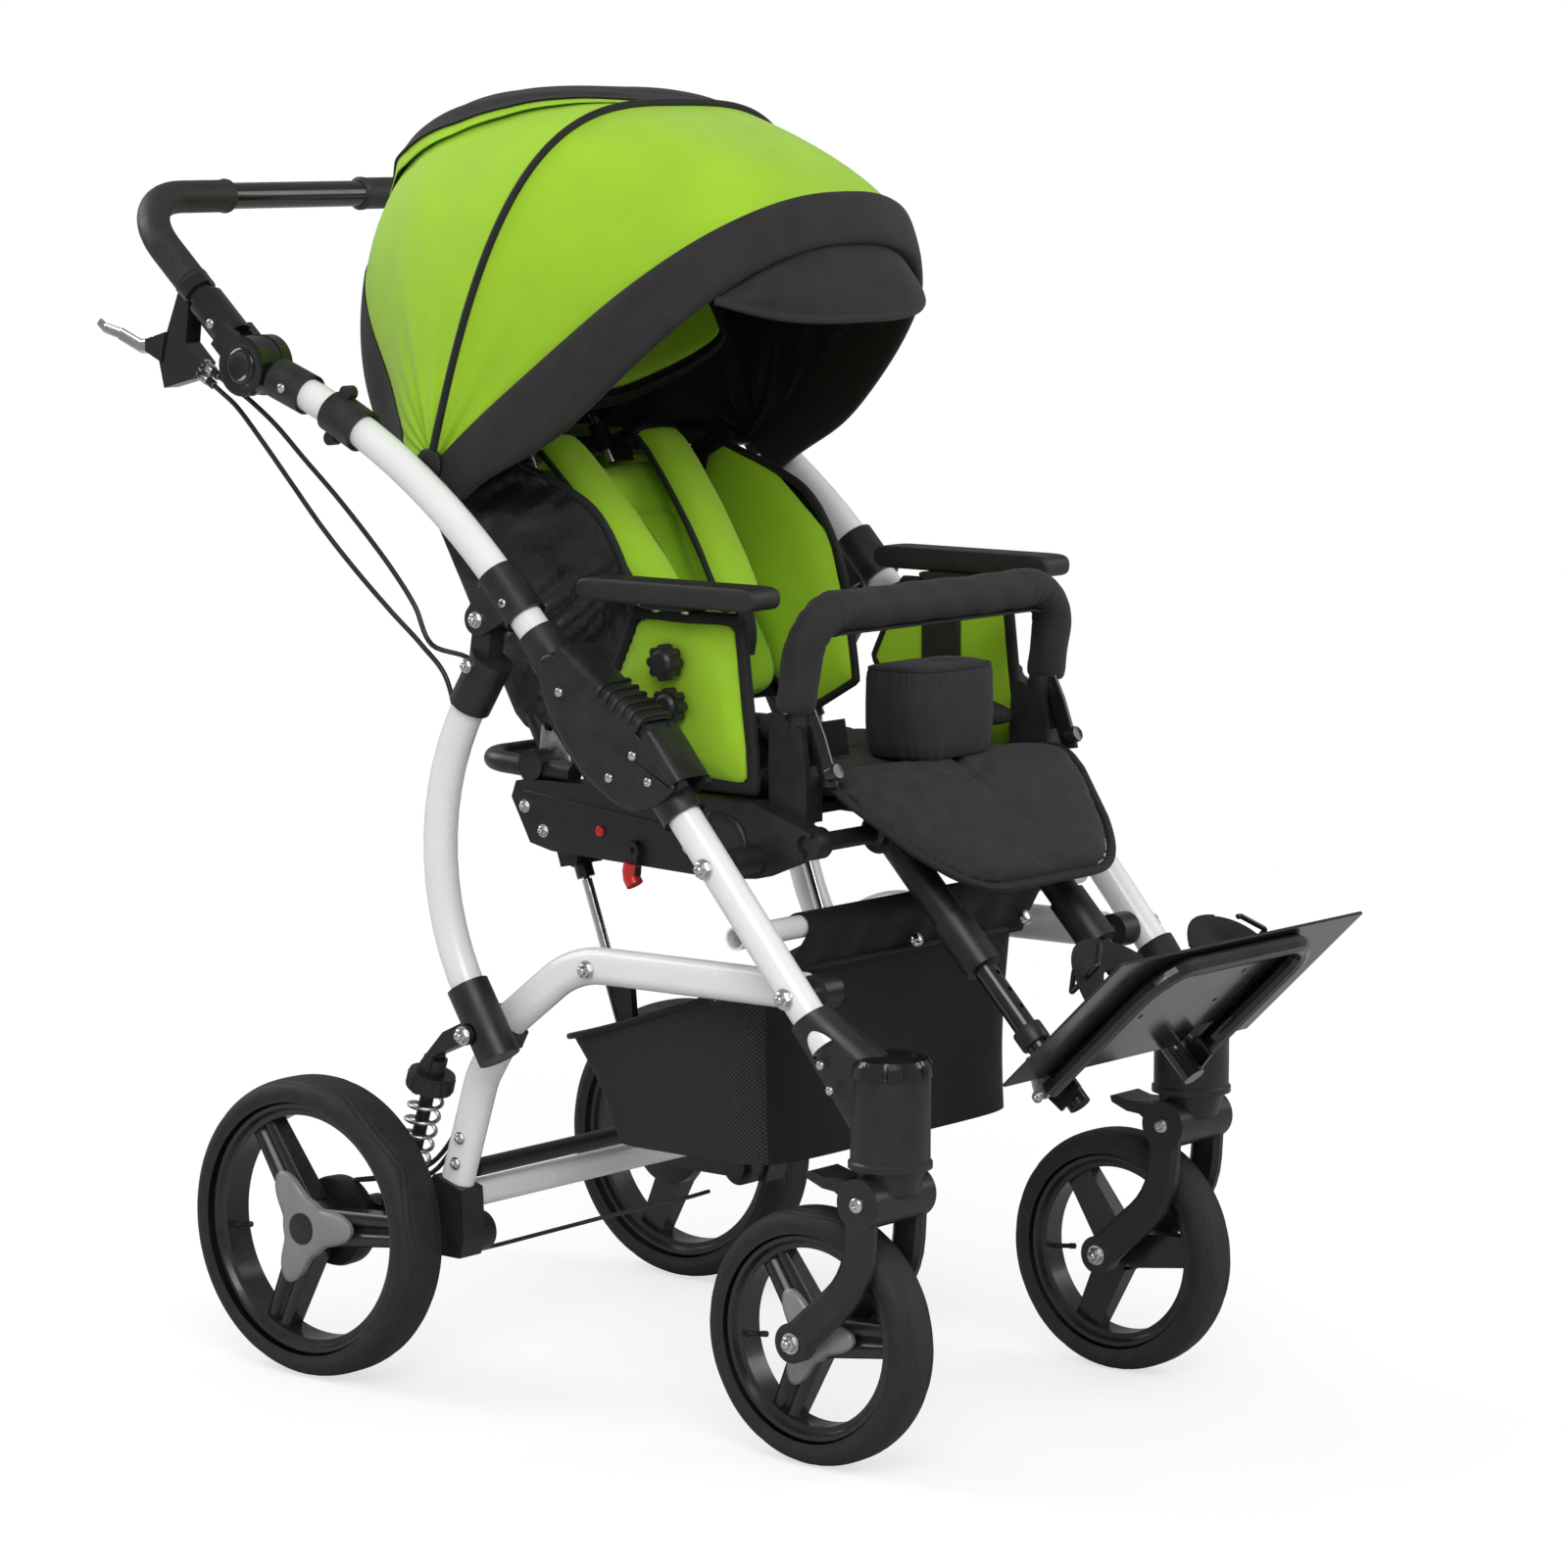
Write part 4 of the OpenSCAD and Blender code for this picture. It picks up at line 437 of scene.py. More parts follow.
cover_edge = [(-70, 710), (-47, 728), (-27, 742), (-12, 744), (1, 732), (-14, 687), (-48, 643), (-70, 623),
              (-104, 605), (-126, 602),
              (-151, 611), (-174, 628), (-167, 634), (-127, 676)]
make_piece("housing_covers", mirrored([moulded_plate(cover_edge, 293.7, 297.6, (-90, 668))]), satin_black,
           "front_frame")


def over_front(line, wide, high, start=0.0, end=np.pi):
    """Rows over the rounded front of a fold housing: at each place of a (y, z) line, a squarish arch
    x = frame_x + wide * cos^0.45, height = high * sin^0.45 - 13 square to the line."""
    line = np.asarray(line, float)
    way = np.gradient(line, axis=0)
    way /= np.linalg.norm(way, axis=1, keepdims=True)
    out = np.column_stack([-way[:, 1], way[:, 0]])
    turn = np.linspace(start, end, 40)[None, :]
    x = frame_x + wide * np.sign(np.cos(turn)) * np.abs(np.cos(turn)) ** 0.45 + 0 * line[:, :1]
    height = (high * np.abs(np.sin(turn)) ** 0.45 - 13)[..., None]
    return np.concatenate([x[..., None], line[:, None] + height * out[:, None]], axis=2)


for name, line, body in (("lower", [(-175, 636), (-162, 651), (-150, 666), (-138, 679)], "front_frame"),
                         ("upper", [(-130.5, 685.5), (-112, 697), (-93, 708), (-75, 718), (-52, 734),
                                    (-30, 750)], "upper_frame")):
    skin_rows = [np.concatenate([over_front(line, 24.8, 16.2), over_front(line, 23.6, 15.0)[:, ::-1]],
                                axis=1)]
    make_piece("housing_front_" + name, mirrored(skin_rows), satin_black, body, angle=50)
rib_feet = np.linspace((-78, 716), (-126, 688), 6)
rib_way = (rib_feet[-1] - rib_feet[0]) / np.linalg.norm(rib_feet[-1] - rib_feet[0])
ribs = []
for foot in rib_feet:
    lines = over_front(np.array([foot - 2 * rib_way, foot, foot + 2 * rib_way])[::-1], 25.2, 17.4,
                       0.02 * np.pi, 0.98 * np.pi)
    ribs.append(carried(lines[1] + np.outer(np.linspace(1, -1, 40), (0, *(rib_way * 4))),
                        oval_profile(4.0, 4.4, 12), (0, rib_way[0], rib_way[1])))
make_piece("housing_ribs", mirrored(ribs), satin_black, "upper_frame")

# Rear suspension: a bright coil spring over a guide rod on each side, between the shock head on
# the lower frame and the seat on the swing arm. The wire is drawn steel.
spring_head, spring_seat = np.array([203.0, 292.0]), np.array([236.0, 184.0])
spring_line = (spring_seat - spring_head) / np.linalg.norm(spring_seat - spring_head)
spring_span = np.linalg.norm(spring_seat - spring_head) - 4.6
for side, word in ((1, "left"), (-1, "right")):
    share = np.linspace(0, 1, 7 * 26 + 1)
    turn = 2 * np.pi * 7 * share
    along = (spring_head + (2.3 + spring_span * share)[:, None] * spring_line)
    coil = np.stack([side * (232 + 16 * np.cos(turn)), along[:, 0] - 16 * np.sin(turn) * spring_line[1],
                     along[:, 1] + 16 * np.sin(turn) * spring_line[0]], axis=-1)
    spring = make_piece("spring_" + word, [carried(coil, round_profile(2.1, 10), (0, *spring_line))], zinc,
                        None, ["suspension_springs"])
    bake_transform(spring)

# Fluted collar nuts above the springs: turned black nylon with a gripping edge, screwed on the
# shock head, and a rubber stop under each.
flute_turn = np.linspace(0, 2 * np.pi, 96, endpoint=False)
collar_rows = np.array([(-17, 20.5), (-15.5, 23.4), (-2, 23.6), (-0.6, 21)])
flute = 1 + 0.035 * np.sign(np.sin(18 * flute_turn)) * np.abs(np.sin(18 * flute_turn)) ** 0.4
collars = []
across = np.array([0, -spring_line[1], spring_line[0]])
for side in (1, -1):
    ring = np.array([side * 232, *spring_head]) + collar_rows[:, None, :1] * np.array([0, *spring_line])
    collars.append(ring + (collar_rows[:, 1:] * flute)[..., None]
                   * (np.cos(flute_turn)[:, None] * np.array([1, 0, 0]) + np.sin(flute_turn)[:, None]
                      * across))
make_piece("spring_collars", collars, satin_black, "lower_frame")
make_piece("lower_frame_nuts", both_sides(nut_and_washer, [(-19, 436)], 247.5, 7.5)
           + both_sides(nut_and_washer, [(94, 367)], 299.5, 7.5)
           + both_sides(nut_and_washer, [(112, 348), (147, 252), (153, 226)], 247.5, 5.0), zinc,
           "lower_frame")

# Wheels: a moulded black rim with three double-ribbed spokes, a grey three-armed hub cover and a
# foamed black tyre with scalloped shoulders. The rear pair is larger than the casters.
tyre_black = grain(drift(finish("tyre_rubber", (0.024, 0.024, 0.025), 0.62, spec=0.3), 60, 0.2, 0.12),
                   1100, 0.0004, 0.35)
rim_black = grain(drift(finish("rim_moulding", (0.014, 0.014, 0.015), 0.27, coat=0.15), 30, 0.2, 0.3),
                  1200, 0.0002, 0.12)
cover_grey = grain(drift(finish("hub_cover_grey", (0.27, 0.275, 0.285), 0.36, metal=0.25), 40, 0.1, 0.2),
                   1000, 0.0002, 0.15)


def wheel_grid(centre, along_axle, radius, turn):
    """Points at a distance along the axle and a radius, at an angle from straight down to the rear."""
    return np.stack(np.broadcast_arrays(centre[0] + along_axle, centre[1] + radius * np.sin(turn),
                                        centre[2] - radius * np.cos(turn)), axis=-1)


def tyre_grid(centre, r, half, bead_half, depth):
    """Tyre section from bead to bead: half-width half * (1 - |s|^3.2 at the crown), radius swelling from
    the bead to the crown, with a scalloped groove cut where |x| follows the wave of nine arcs."""
    s = np.linspace(-1, 1, 84)[:, None]
    turn = np.linspace(0, 2 * np.pi, 216, endpoint=False)[None, :]
    arc = np.pi * 0.5 * s
    across = (half * np.sign(s) * np.abs(np.sin(arc)) ** 0.62
              * np.where(np.abs(s) > 0.86, 1 - 0.55 * (np.abs(s) - 0.86), 1))
    rise = np.abs(np.cos(arc)) ** 0.62
    radius = r - depth + depth * rise
    wave = half * (0.5 + 0.3 * np.abs(np.sin(4.5 * turn)))
    groove = (np.exp(-((np.abs(across) - wave) / 1.3) ** 2) + 0.7
              * np.exp(-((np.abs(across) - wave + 0.2 * half) / 1.2) ** 2))
    return wheel_grid(centre, across + 0 * turn, radius - 1.3 * groove * rise, turn)


def rim_grids(centre, r, half, depth, spoke_angles, hub_r, side):
    """Rim ring, hub and three spokes. A spoke's outer face is two ribs with a valley between:
    height = 1 - 0.45 exp(-(u / 0.3)^2), falling off at both edges, along a line from hub to ring."""
    outer = r - depth - 0.3
    turn = np.linspace(0, 2 * np.pi, 120, endpoint=False)[None, :]
    ring = np.array([(-half, outer), (half, outer), (half + 1.5, outer - 2), (half + 1, outer - 6),
                     (half - 4, outer - 9),
                     (half - 5, outer - 14), (-half + 5, outer - 14), (-half + 4, outer - 9),
                     (-half - 1, outer - 6),
                     (-half - 1.5, outer - 2), (-half, outer)])
    grids = [(wheel_grid(centre, ring[:, :1] + 0 * turn, ring[:, 1:] + 0 * turn, turn), True, False)]
    hub = np.array([(-half + 6, 9), (-half + 6, hub_r), (half - 6, hub_r + 1), (half - 4, hub_r - 3),
                    (half - 3, 9)])
    grids.append((wheel_grid(centre, side * hub[:, :1] + 0 * turn, hub[:, 1:] + 0 * turn, turn), True,
                  True))
    u = np.concatenate([np.linspace(-1, 1, 25), np.linspace(0.96, -0.96, 9)])
    front = np.arange(34) < 25
    rib = 1 - 0.5 * np.exp(-(u / 0.26) ** 2) - 0.25 * np.abs(u) ** 6
    out = np.linspace(hub_r - 6, outer - 11, 16)[:, None]
    share = (out - out[0]) / (out[-1] - out[0])
    depth_out = np.where(front, (half - 5) * rib, -(half - 9)) * (1 - 0.18 * share)
    for angle in spoke_angles:
        a = math.radians(angle)
        wide = (19 - 3.5 * share) * u
        y = centre[1] + out * math.sin(a) + wide * math.cos(a)
        z = centre[2] - out * math.cos(a) + wide * math.sin(a)
        grids.append((np.stack([centre[0] + side * depth_out + 0 * y, y, z], axis=-1), True, True))
    return grids


def cover_grid(centre, reach, neck, spoke_angles, lift, side):
    """Three-armed hub cover: radius = neck + (reach - neck) * cos(1.5 a)^4 between the arms, as a low
    dome whose height falls with the fourth power of the distance from the middle."""
    turn = np.linspace(0, 2 * np.pi, 144, endpoint=False)[None, :]
    arm = np.abs(np.cos(1.5 * (turn - math.radians(spoke_angles[0])))) ** 5
    edge = neck + (reach - neck) * arm
    share = np.array([0.02, 0.3, 0.6, 0.85, 0.95, 1.0, 1.0, 0.9])[:, None]
    high = np.array([6, 6, 5.4, 4, 2.6, 0.4, -4, -4.5])[:, None]
    return (wheel_grid(centre, side * (lift + high) + 0 * turn, share * edge, turn), True, True)


rear_angles, front_angles = (25, 145, 265), (25, 145, 265)
for side, word in ((1, "left"), (-1, "right")):
    rear_hub = np.array([side * 286.0, 305.0, 150.0])
    front_hub = np.array([side * 240.0, -300.0, 121.5])
    for hub, r, half, bead, angles, hub_r, label, body in (
            (rear_hub, 150, 30.5, 20.5, rear_angles, 26, "rear", "rear_wheel_" + word),
            (front_hub, 121.5, 25.5, 18, front_angles, 20, "front", "front_wheel_" + word)):
        make_piece(f"{label}_tyre_{word}_cover", [(tyre_grid(hub, r, half, bead, 23), True, False)],
                   tyre_black,
                          body, [f"{label}_tyre_{word}"])
        rim = make_piece(f"{label}_rim_{word}_moulding", rim_grids(hub, r, bead, 23, angles, hub_r, side),
                         rim_black,
                         body, [f"{label}_rim_{word}"], angle=30)
        lift = bead - 2.5
        make_piece(f"{label}_hub_cover_{word}", [cover_grid(hub, r * 0.42, hub_r + 4, angles, lift, side)],
                   cover_grey, body, angle=35)
        cap = [(lift + 4.5, hub_r * 0.62), (lift + 7, hub_r * 0.6), (lift + 8, hub_r * 0.45),
               (lift + 8.2, 0.3)]
        make_piece(f"{label}_hub_cap_{word}", [turned(cap, hub, (side, 0, 0), 40)], satin_black, body)
        a = math.radians(angles[1] - 62)
        out = np.array([0, math.sin(a), -math.cos(a)])
        stem = [(0, 3.4), (3, 3.2), (4, 2.4), (17, 2.4), (18, 3.0), (24, 3.0), (25.5, 1.2)]
        make_piece(f"{label}_valve_{word}",
                   [turned(stem, hub + (r - 36) * out + (side * 4, 0, 0), -out, 16)],
                   satin_black, body)

# Brake drums behind the rear wheels: pressed black shells with a rolled edge, and the thin cable
# that joins them under the frame.
for side, word in ((1, "left"), (-1, "right")):
    shell = [(-6, 12), (-5, 40), (-3, 45), (10, 45.5), (13, 44), (13.5, 38), (11, 30), (11, 12)]
    make_piece("brake_drum_" + word, [turned(shell, (side * 251.0, 305, 150), (side, 0, 0), 64)],
               satin_black,
               "suspension_" + word)
cross_cable = rounded_path([(-198, 205, 118), (-150, 190, 122), (0, 182, 126), (150, 190, 122),
                            (198, 205, 118)], 90, 8)
make_piece("drum_cable", [carried(cross_cable, round_profile(2.2, 10), (0, 0, 1))], satin_black,
           "lower_frame")

# Caster forks and housings: black nylon mouldings. Each housing has a fluted cap, each fork a
# round boss with a bolt at the crown and a nut on its axle.
for side, word in ((1, "left"), (-1, "right")):
    centre = np.array([side * 240.0, -382.0, 0.0])
    turn = np.linspace(0, 2 * np.pi, 144, endpoint=False)
    cap_rows = np.array([(376, 36.5), (377, 39.6), (388, 38.6), (393, 35), (395.5, 28), (396, 20),
                         (395, 12), (395, 0.5)])
    notch = 1 - 0.045 * (np.cos(12 * turn) > 0.55) * np.clip((cap_rows[:, 1:] - 20) / 12, 0, 1)
    cap = centre + np.stack(np.broadcast_arrays(cap_rows[:, 1:] * notch * np.cos(turn),
            cap_rows[:, 1:] * notch * np.sin(turn),
                                                cap_rows[:, :1] + 0 * turn), axis=-1)
    make_piece("caster_cap_" + word, [cap], gloss_black, "front_frame", angle=30)
    ring = [(291, 37.2), (291.5, 39), (297, 39), (299, 37.2)]
    make_piece("caster_seal_" + word, [(turned(ring, centre, (0, 0, 1), 64), True, False)], satin_black,
               "front_frame")
    for d in (1, -1):
        make_piece(f"fork_bolts_{word}_{'outer' if d * side > 0 else 'inner'}",
                   nut_and_washer((side * 240 + d * 43.6, -300, 121.5), (d, 0, 0), 8.0)
                   + socket_screw((side * 240 + d * 43.5, -378, 262), (d, 0, 0), 7.5), zinc,
                   "caster_" + word)
make_piece("caster_sleeve_screws", both_sides(socket_screw, [(-341, 388), (-352, 366)], 291, 4.2), zinc,
           "front_frame")

# Push handle: a gloss black steel bar bent into a wide loop, with leatherette grips rolled on
# round its corners. It tilts on the two button hinges at the ends of the upper tubes.
handle_dir = np.array([math.cos(math.radians(42)), math.sin(math.radians(42))])
handle_up = np.array([-handle_dir[1], handle_dir[0]])


def on_handle(points):
    """Points of the handle's own plane, (x, distance from the hinge, height), in the buggy's frame."""
    points = np.asarray(points, float)
    side = handle_joint + points[..., 1:2] * handle_dir + points[..., 2:3] * handle_up
    return np.concatenate([points[..., :1], side], axis=-1)


handle_out = np.array([0, *handle_up])
loop_reach = 242
bar_path = on_handle(rounded_path([(frame_x, 40, 0), (frame_x, loop_reach, 0), (-frame_x, loop_reach, 0),
                                   (-frame_x, 40, 0)], 75, 18))
make_piece("handle_loop", [carried(bar_path, round_profile(13.5, 28), handle_out)], gloss_black,
           "push_handle",
           ["handle_bar"])
leatherette = finish("grip_leatherette", (0.026, 0.025, 0.025), 0.5, spec=0.4)
tree = leatherette.node_tree
cells = tree.nodes.new("ShaderNodeTexVoronoi")
cells.inputs["Scale"].default_value = 420.0
cell_where = tree.nodes.new("ShaderNodeTexCoord")
cell_bump = tree.nodes.new("ShaderNodeBump")
cell_bump.inputs["Strength"].default_value = 0.5
cell_bump.inputs["Distance"].default_value = 0.0006
tree.links.new(cell_where.outputs["Object"], cells.inputs["Vector"])
tree.links.new(cells.outputs["Distance"], cell_bump.inputs["Height"])
tree.links.new(cell_bump.outputs["Normal"], tree.nodes["Principled BSDF"].inputs["Normal"])
drift(leatherette, 60, 0.2, 0.2)


def grip_grid(points):
    """A sleeve along a handle path: radius 16.6, rolled up to 18 near both ends and closed to the bar."""
    path = on_handle(rounded_path(points, 75, 24))
    step = np.concatenate([[0], np.cumsum(np.linalg.norm(np.diff(path, axis=0), axis=1))])
    even = np.linspace(0, step[-1], 90)
    path = np.stack([np.interp(even, step, path[:, k]) for k in range(3)], axis=-1)
    end = np.minimum(even, step[-1] - even)
    radius = 16.6 + 1.2 * np.exp(-((end - 5) / 3.5) ** 2) - 2.6 * np.exp(-(end / 1.2) ** 2)
    return carried(path, radius[:, None, None] * round_profile(1.0, 28), handle_out)


make_piece("handle_grip_sleeves",
           [grip_grid([(-frame_x, 112, 0), (-frame_x, loop_reach, 0), (-130, loop_reach, 0)]),
                                   grip_grid([(frame_x, 112, 0), (frame_x, loop_reach, 0),
                                           (60, loop_reach, 0)])], leatherette,
           "push_handle", ["handle_grips"])
make_piece("hinge_screws", both_sides(socket_screw, [tuple(handle_joint + 60 * handle_dir)], 289.5, 5.0),
           zinc,
           "push_handle")
make_piece("knuckle_screws", both_sides(socket_screw, [tuple(handle_joint - 58 * upper_tail)], 291.5, 4.8),
           zinc,
           "upper_frame")
for side, word in ((1, "left"), (-1, "right")):
    rows = [(0, 18), (2.6, 18), (4.2, 16.6), (4.6, 14.2), (3.4, 12.6), (2.6, 9), (2.4, 0.4)]
    make_piece("hinge_push_" + word, [turned(rows, (side * 291.4, *handle_joint), (side, 0, 0), 48)],
               gloss_black,
               "handle_button_" + word, ["hinge_button_" + word])
    ring = [(0, 20), (0, 29.4), (1.2, 29.6), (1.6, 28), (1.2, 22), (0.6, 20)]
    make_piece("hinge_ring_" + word,
               [(turned(ring, (side * 292.9, *handle_joint), (side, 0, 0), 64), True, False)],
               gloss_black, "push_handle")

# Hand brake: a polished alloy lever on a black bracket under the near grip, with two knurled cable
# adjusters. It is pinned in the bracket and pulls both drum cables.
polished = drift(finish("polished_alloy", (0.72, 0.72, 0.73), 0.16, metal=1.0), 90, 0.06, 0.4)
lever_line = rounded_path([(-frame_x, 520, 1016), (-frame_x, 552, 1014), (-frame_x, 582, 1026),
                           (-frame_x, 604, 1031), (-frame_x, 612, 1037)], 9, 8)
share = np.linspace(0, 1, len(lever_line))[:, None, None]
lever_shape = oval_profile(1.0, 2.0, 24) * (1, 1)
lever = carried(lever_line, lever_shape * np.concatenate([7.5 - 3.4 * share, 7.2 - 2.2 * share], axis=-1),
                (1, 0, 0))
boss = turned([(-7, 2), (-7, 8.4), (-6, 9.4), (6, 9.4), (7, 8.4), (7, 2)], (-frame_x, 528, 1016), (1, 0, 0),
              32)
make_piece("brake_lever_arm", [lever, boss], polished, "hand_brake", ["brake_lever"])
adjuster_dir = np.array([0, math.cos(math.radians(210)), math.sin(math.radians(210))])
knurl = []
for y, z in ((470.3, 990.5), (463.3, 999.5)):
    spot = np.array([-frame_x, y, z])
    knurl.append(turned([(1, 2), (1, 6.4), (5, 6.4), (5, 2)], spot, adjuster_dir, 6))
    turn = np.linspace(0, 2 * np.pi, 72, endpoint=False)
    rows = np.array([(5, 3.5), (6, 5.3), (15, 5.3), (16, 4.2), (23, 3.4), (25, 3.0)])
    notch = 1 + 0.06 * np.sign(np.sin(12 * turn)) * (rows[:, 1:] > 5)
    across = np.cross(adjuster_dir, (1, 0, 0))
    knurl.append(spot + rows[:, None, :1] * adjuster_dir + (rows[:, 1:] * notch)[..., None]
                 * (np.cos(turn)[:, None] * np.array([1.0, 0, 0]) + np.sin(turn)[:, None] * across))
make_piece("cable_adjusters", knurl, polished, "push_handle")

# Brake cables: two thin black sheathed cables from the adjusters, in a free bow behind the upper
# tube to a tie on the near leg, then down its inner back and inside the lower leg to the drums.
cable_skin = grain(drift(finish("cable_sheath", (0.016, 0.016, 0.017), 0.36), 80, 0.2, 0.2), 900, 0.0002,
                   0.2)
bows = np.array([
    [[-272, 449, 978], [-273, 438, 972], [-274, 414, 957], [-276, 380, 927], [-277, 340, 888],
     [-277, 298, 846],
     [-274, 256, 806], [-269, 214, 768], [-263, 178, 736], [-258, 150, 704]],
    [[-272, 442, 987], [-270, 430, 980], [-269, 404, 966], [-268, 368, 942], [-267, 330, 910],
     [-267, 290, 878],
     [-268, 250, 844], [-268, 212, 808], [-268, 182, 774], [-268, 160, 738]]], float)


def eased(points, per=8):
    """A smooth curve through points: each span is the cubic whose slopes are half the neighbours' step."""
    p = np.concatenate([points[:1], points, points[-1:]])
    t = np.linspace(0, 1, per, endpoint=False)[None, :, None]
    a, b, c, d = (p[k:len(p) - 3 + k, None] for k in range(4))
    run = (0.5 * (2 * b + t * (c - a) + t ** 2 * (2 * a - 5 * b + 4 * c - d) + t ** 3
                  * (3 * b - a - 3 * c + d)))
    return np.concatenate([run.reshape(-1, points.shape[1]), points[-1:]])


leg_even = leg[::3] * (-1, 1, 1)
leg_slope = np.gradient(leg_even, axis=0)
leg_slope /= np.linalg.norm(leg_slope, axis=1, keepdims=True)
leg_back = np.stack([np.zeros(len(leg_even)), -leg_slope[:, 2], leg_slope[:, 1]], axis=-1)
for k, (inward, behind) in enumerate(((14, 14), (4, 19.5))):
    run = leg_even + (inward, 0, 0) + behind * leg_back
    run = run[(run[:, 2] < bows[k, -1, 2] - 14) & (run[:, 2] > 440)]
    route = eased(np.concatenate([bows[k], run]))
    cut = 5 * 8
    for part, (first, second, a, b) in enumerate((("push_handle", "upper_frame", 0, cut),
            ("upper_frame", "rear_leg", cut, None))):
        line = route[a:None if b is None else b + 1]
        piece = make_piece(f"brake_cable_{k + 1}_{'upper' if part == 0 else 'lower'}",
                           [carried(line, round_profile(2.5, 12), (1, 0, 0))], cable_skin, None,
                           ["brake_cables"])
        ends = (line[2], line[-3]) if part == 0 else (line[2], bows[k, -1])
        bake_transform(piece)
    tail = eased(np.array([(-256 + 6 * k, 128, 432), (-250 + 5 * k, 132, 400), (-217 + 3 * k, 150, 330),
                           (-214, 172, 268 - 8 * k),
                           (-216, 214, 214 - 10 * k), (-236, 262, 196), (-250, 288, 192)], float))
    make_piece(f"brake_cable_{k + 1}_tail", [carried(tail, round_profile(2.5, 12), (1, 0, 0))], cable_skin,
               "lower_frame")
tie_at = leg_even[np.argmin(np.abs(leg_even[:, 2] - 690))]
tie_dir = leg_slope[np.argmin(np.abs(leg_even[:, 2] - 690))]
tie_turn = np.linspace(0, 2 * np.pi, 64)
tie_side = np.cross(tie_dir, (1, 0, 0))
tie_path = (tie_at + 17.6 * np.cos(tie_turn)[:, None] * np.array([1.0, 0, 0]) + 17.6
            * np.sin(tie_turn)[:, None] * tie_side)
tie = carried(tie_path, oval_profile(1.4, 4.2, 12)[:, ::-1], tie_dir)
make_piece("cable_tie", [tie, turned([(0, 1), (0, 4), (9, 4), (9, 1)], tie_at + (-13, 0, 0) - 13 * tie_side,
                                     tie_dir, 4)],
           cable_skin, "rear_leg")

# Seat unit: a black board and rails on the tilt pivots, with a zinc notch plate for the recline, red
# stop pins and a black tilt lever with a red tip. The knobs and armrests are bolted to the rails.
paint_node("tilt_trunnions", satin_black)
paint_node("strut_rods", polished)
red_plastic = grain(drift(finish("red_nylon", (0.62, 0.012, 0.016), 0.3, coat=0.2), 70, 0.12, 0.2), 1200,
                    0.0002, 0.15)
paint_node("tilt_lever", satin_black)
lever_tip = side_path(-221.4, [(-55, 540), (-53, 532), (-54, 525), (-58, 519)])
make_piece("tilt_lever_tip", [carried(lever_tip, oval_profile(17.0, 17.0, 24), (1, 0, 0))], red_plastic,
           "tilt_handle")
make_piece("stop_pins", mirrored([turned([(-1, 5.2), (2.2, 5.2), (3.2, 4.2), (3.4, 0.4)], (217.0, y, z),
                                         (1, 0, 0), 24)
                                  for y, z in ((-11, 566), (-152, 588))]), red_plastic, "seat")
make_piece("rail_bolts", both_sides(nut_and_washer, [(86, 582), (62, 560)], 217, 5.2)
           + both_sides(nut_and_washer, [(-120, 560)], 217, 4.6), zinc, "seat")
notch_turn = np.linspace(-1.55, 0.1, 40)
notch_out = 35 + 2.5 * np.sign(np.sin(11 * notch_turn))
plate_edge = np.concatenate([np.stack([80 + notch_out * np.sin(notch_turn),
                                       622 + notch_out * np.cos(notch_turn)], axis=-1),
                             np.array([(90, 612), (76, 606), (50, 612)])])
notch_plate = [np.stack([np.stack([np.full(len(plate_edge), x), *plate_edge.T], axis=-1)
                         for x in (193.0, 195.6)])]
make_piece("recline_plates", mirrored(notch_plate), zinc, "seat", angle=25)
rail_flange = eased(np.array([(217.2, 88, 596.5), (217.2, 40, 592), (217.2, -40, 584),
                              (217.2, -112, 576.5)], float))
rail_end = [(-140, 598), (-168, 597), (-187, 588), (-195, 567), (-193, 547), (-180, 534), (-166, 533),
            (-158, 548), (-150, 570)]
make_piece("rail_ribs", mirrored([carried(rail_flange, oval_profile(3.0, 4.0, 14), (1, 0, 0)),
                                  moulded_plate(rail_end, 216.2, 220.4, (-172, 565))]),
           satin_black, "seat")
hoop_bend = np.array([(203, 34, 616), (203, 160, 622), (-203, 160, 622), (-203, 34, 616)], float)
make_piece("rear_hoop", [carried(rounded_path(hoop_bend, 38), round_profile(10.4, 24), (0, -0.05, 1))],
           satin_black, "seat")

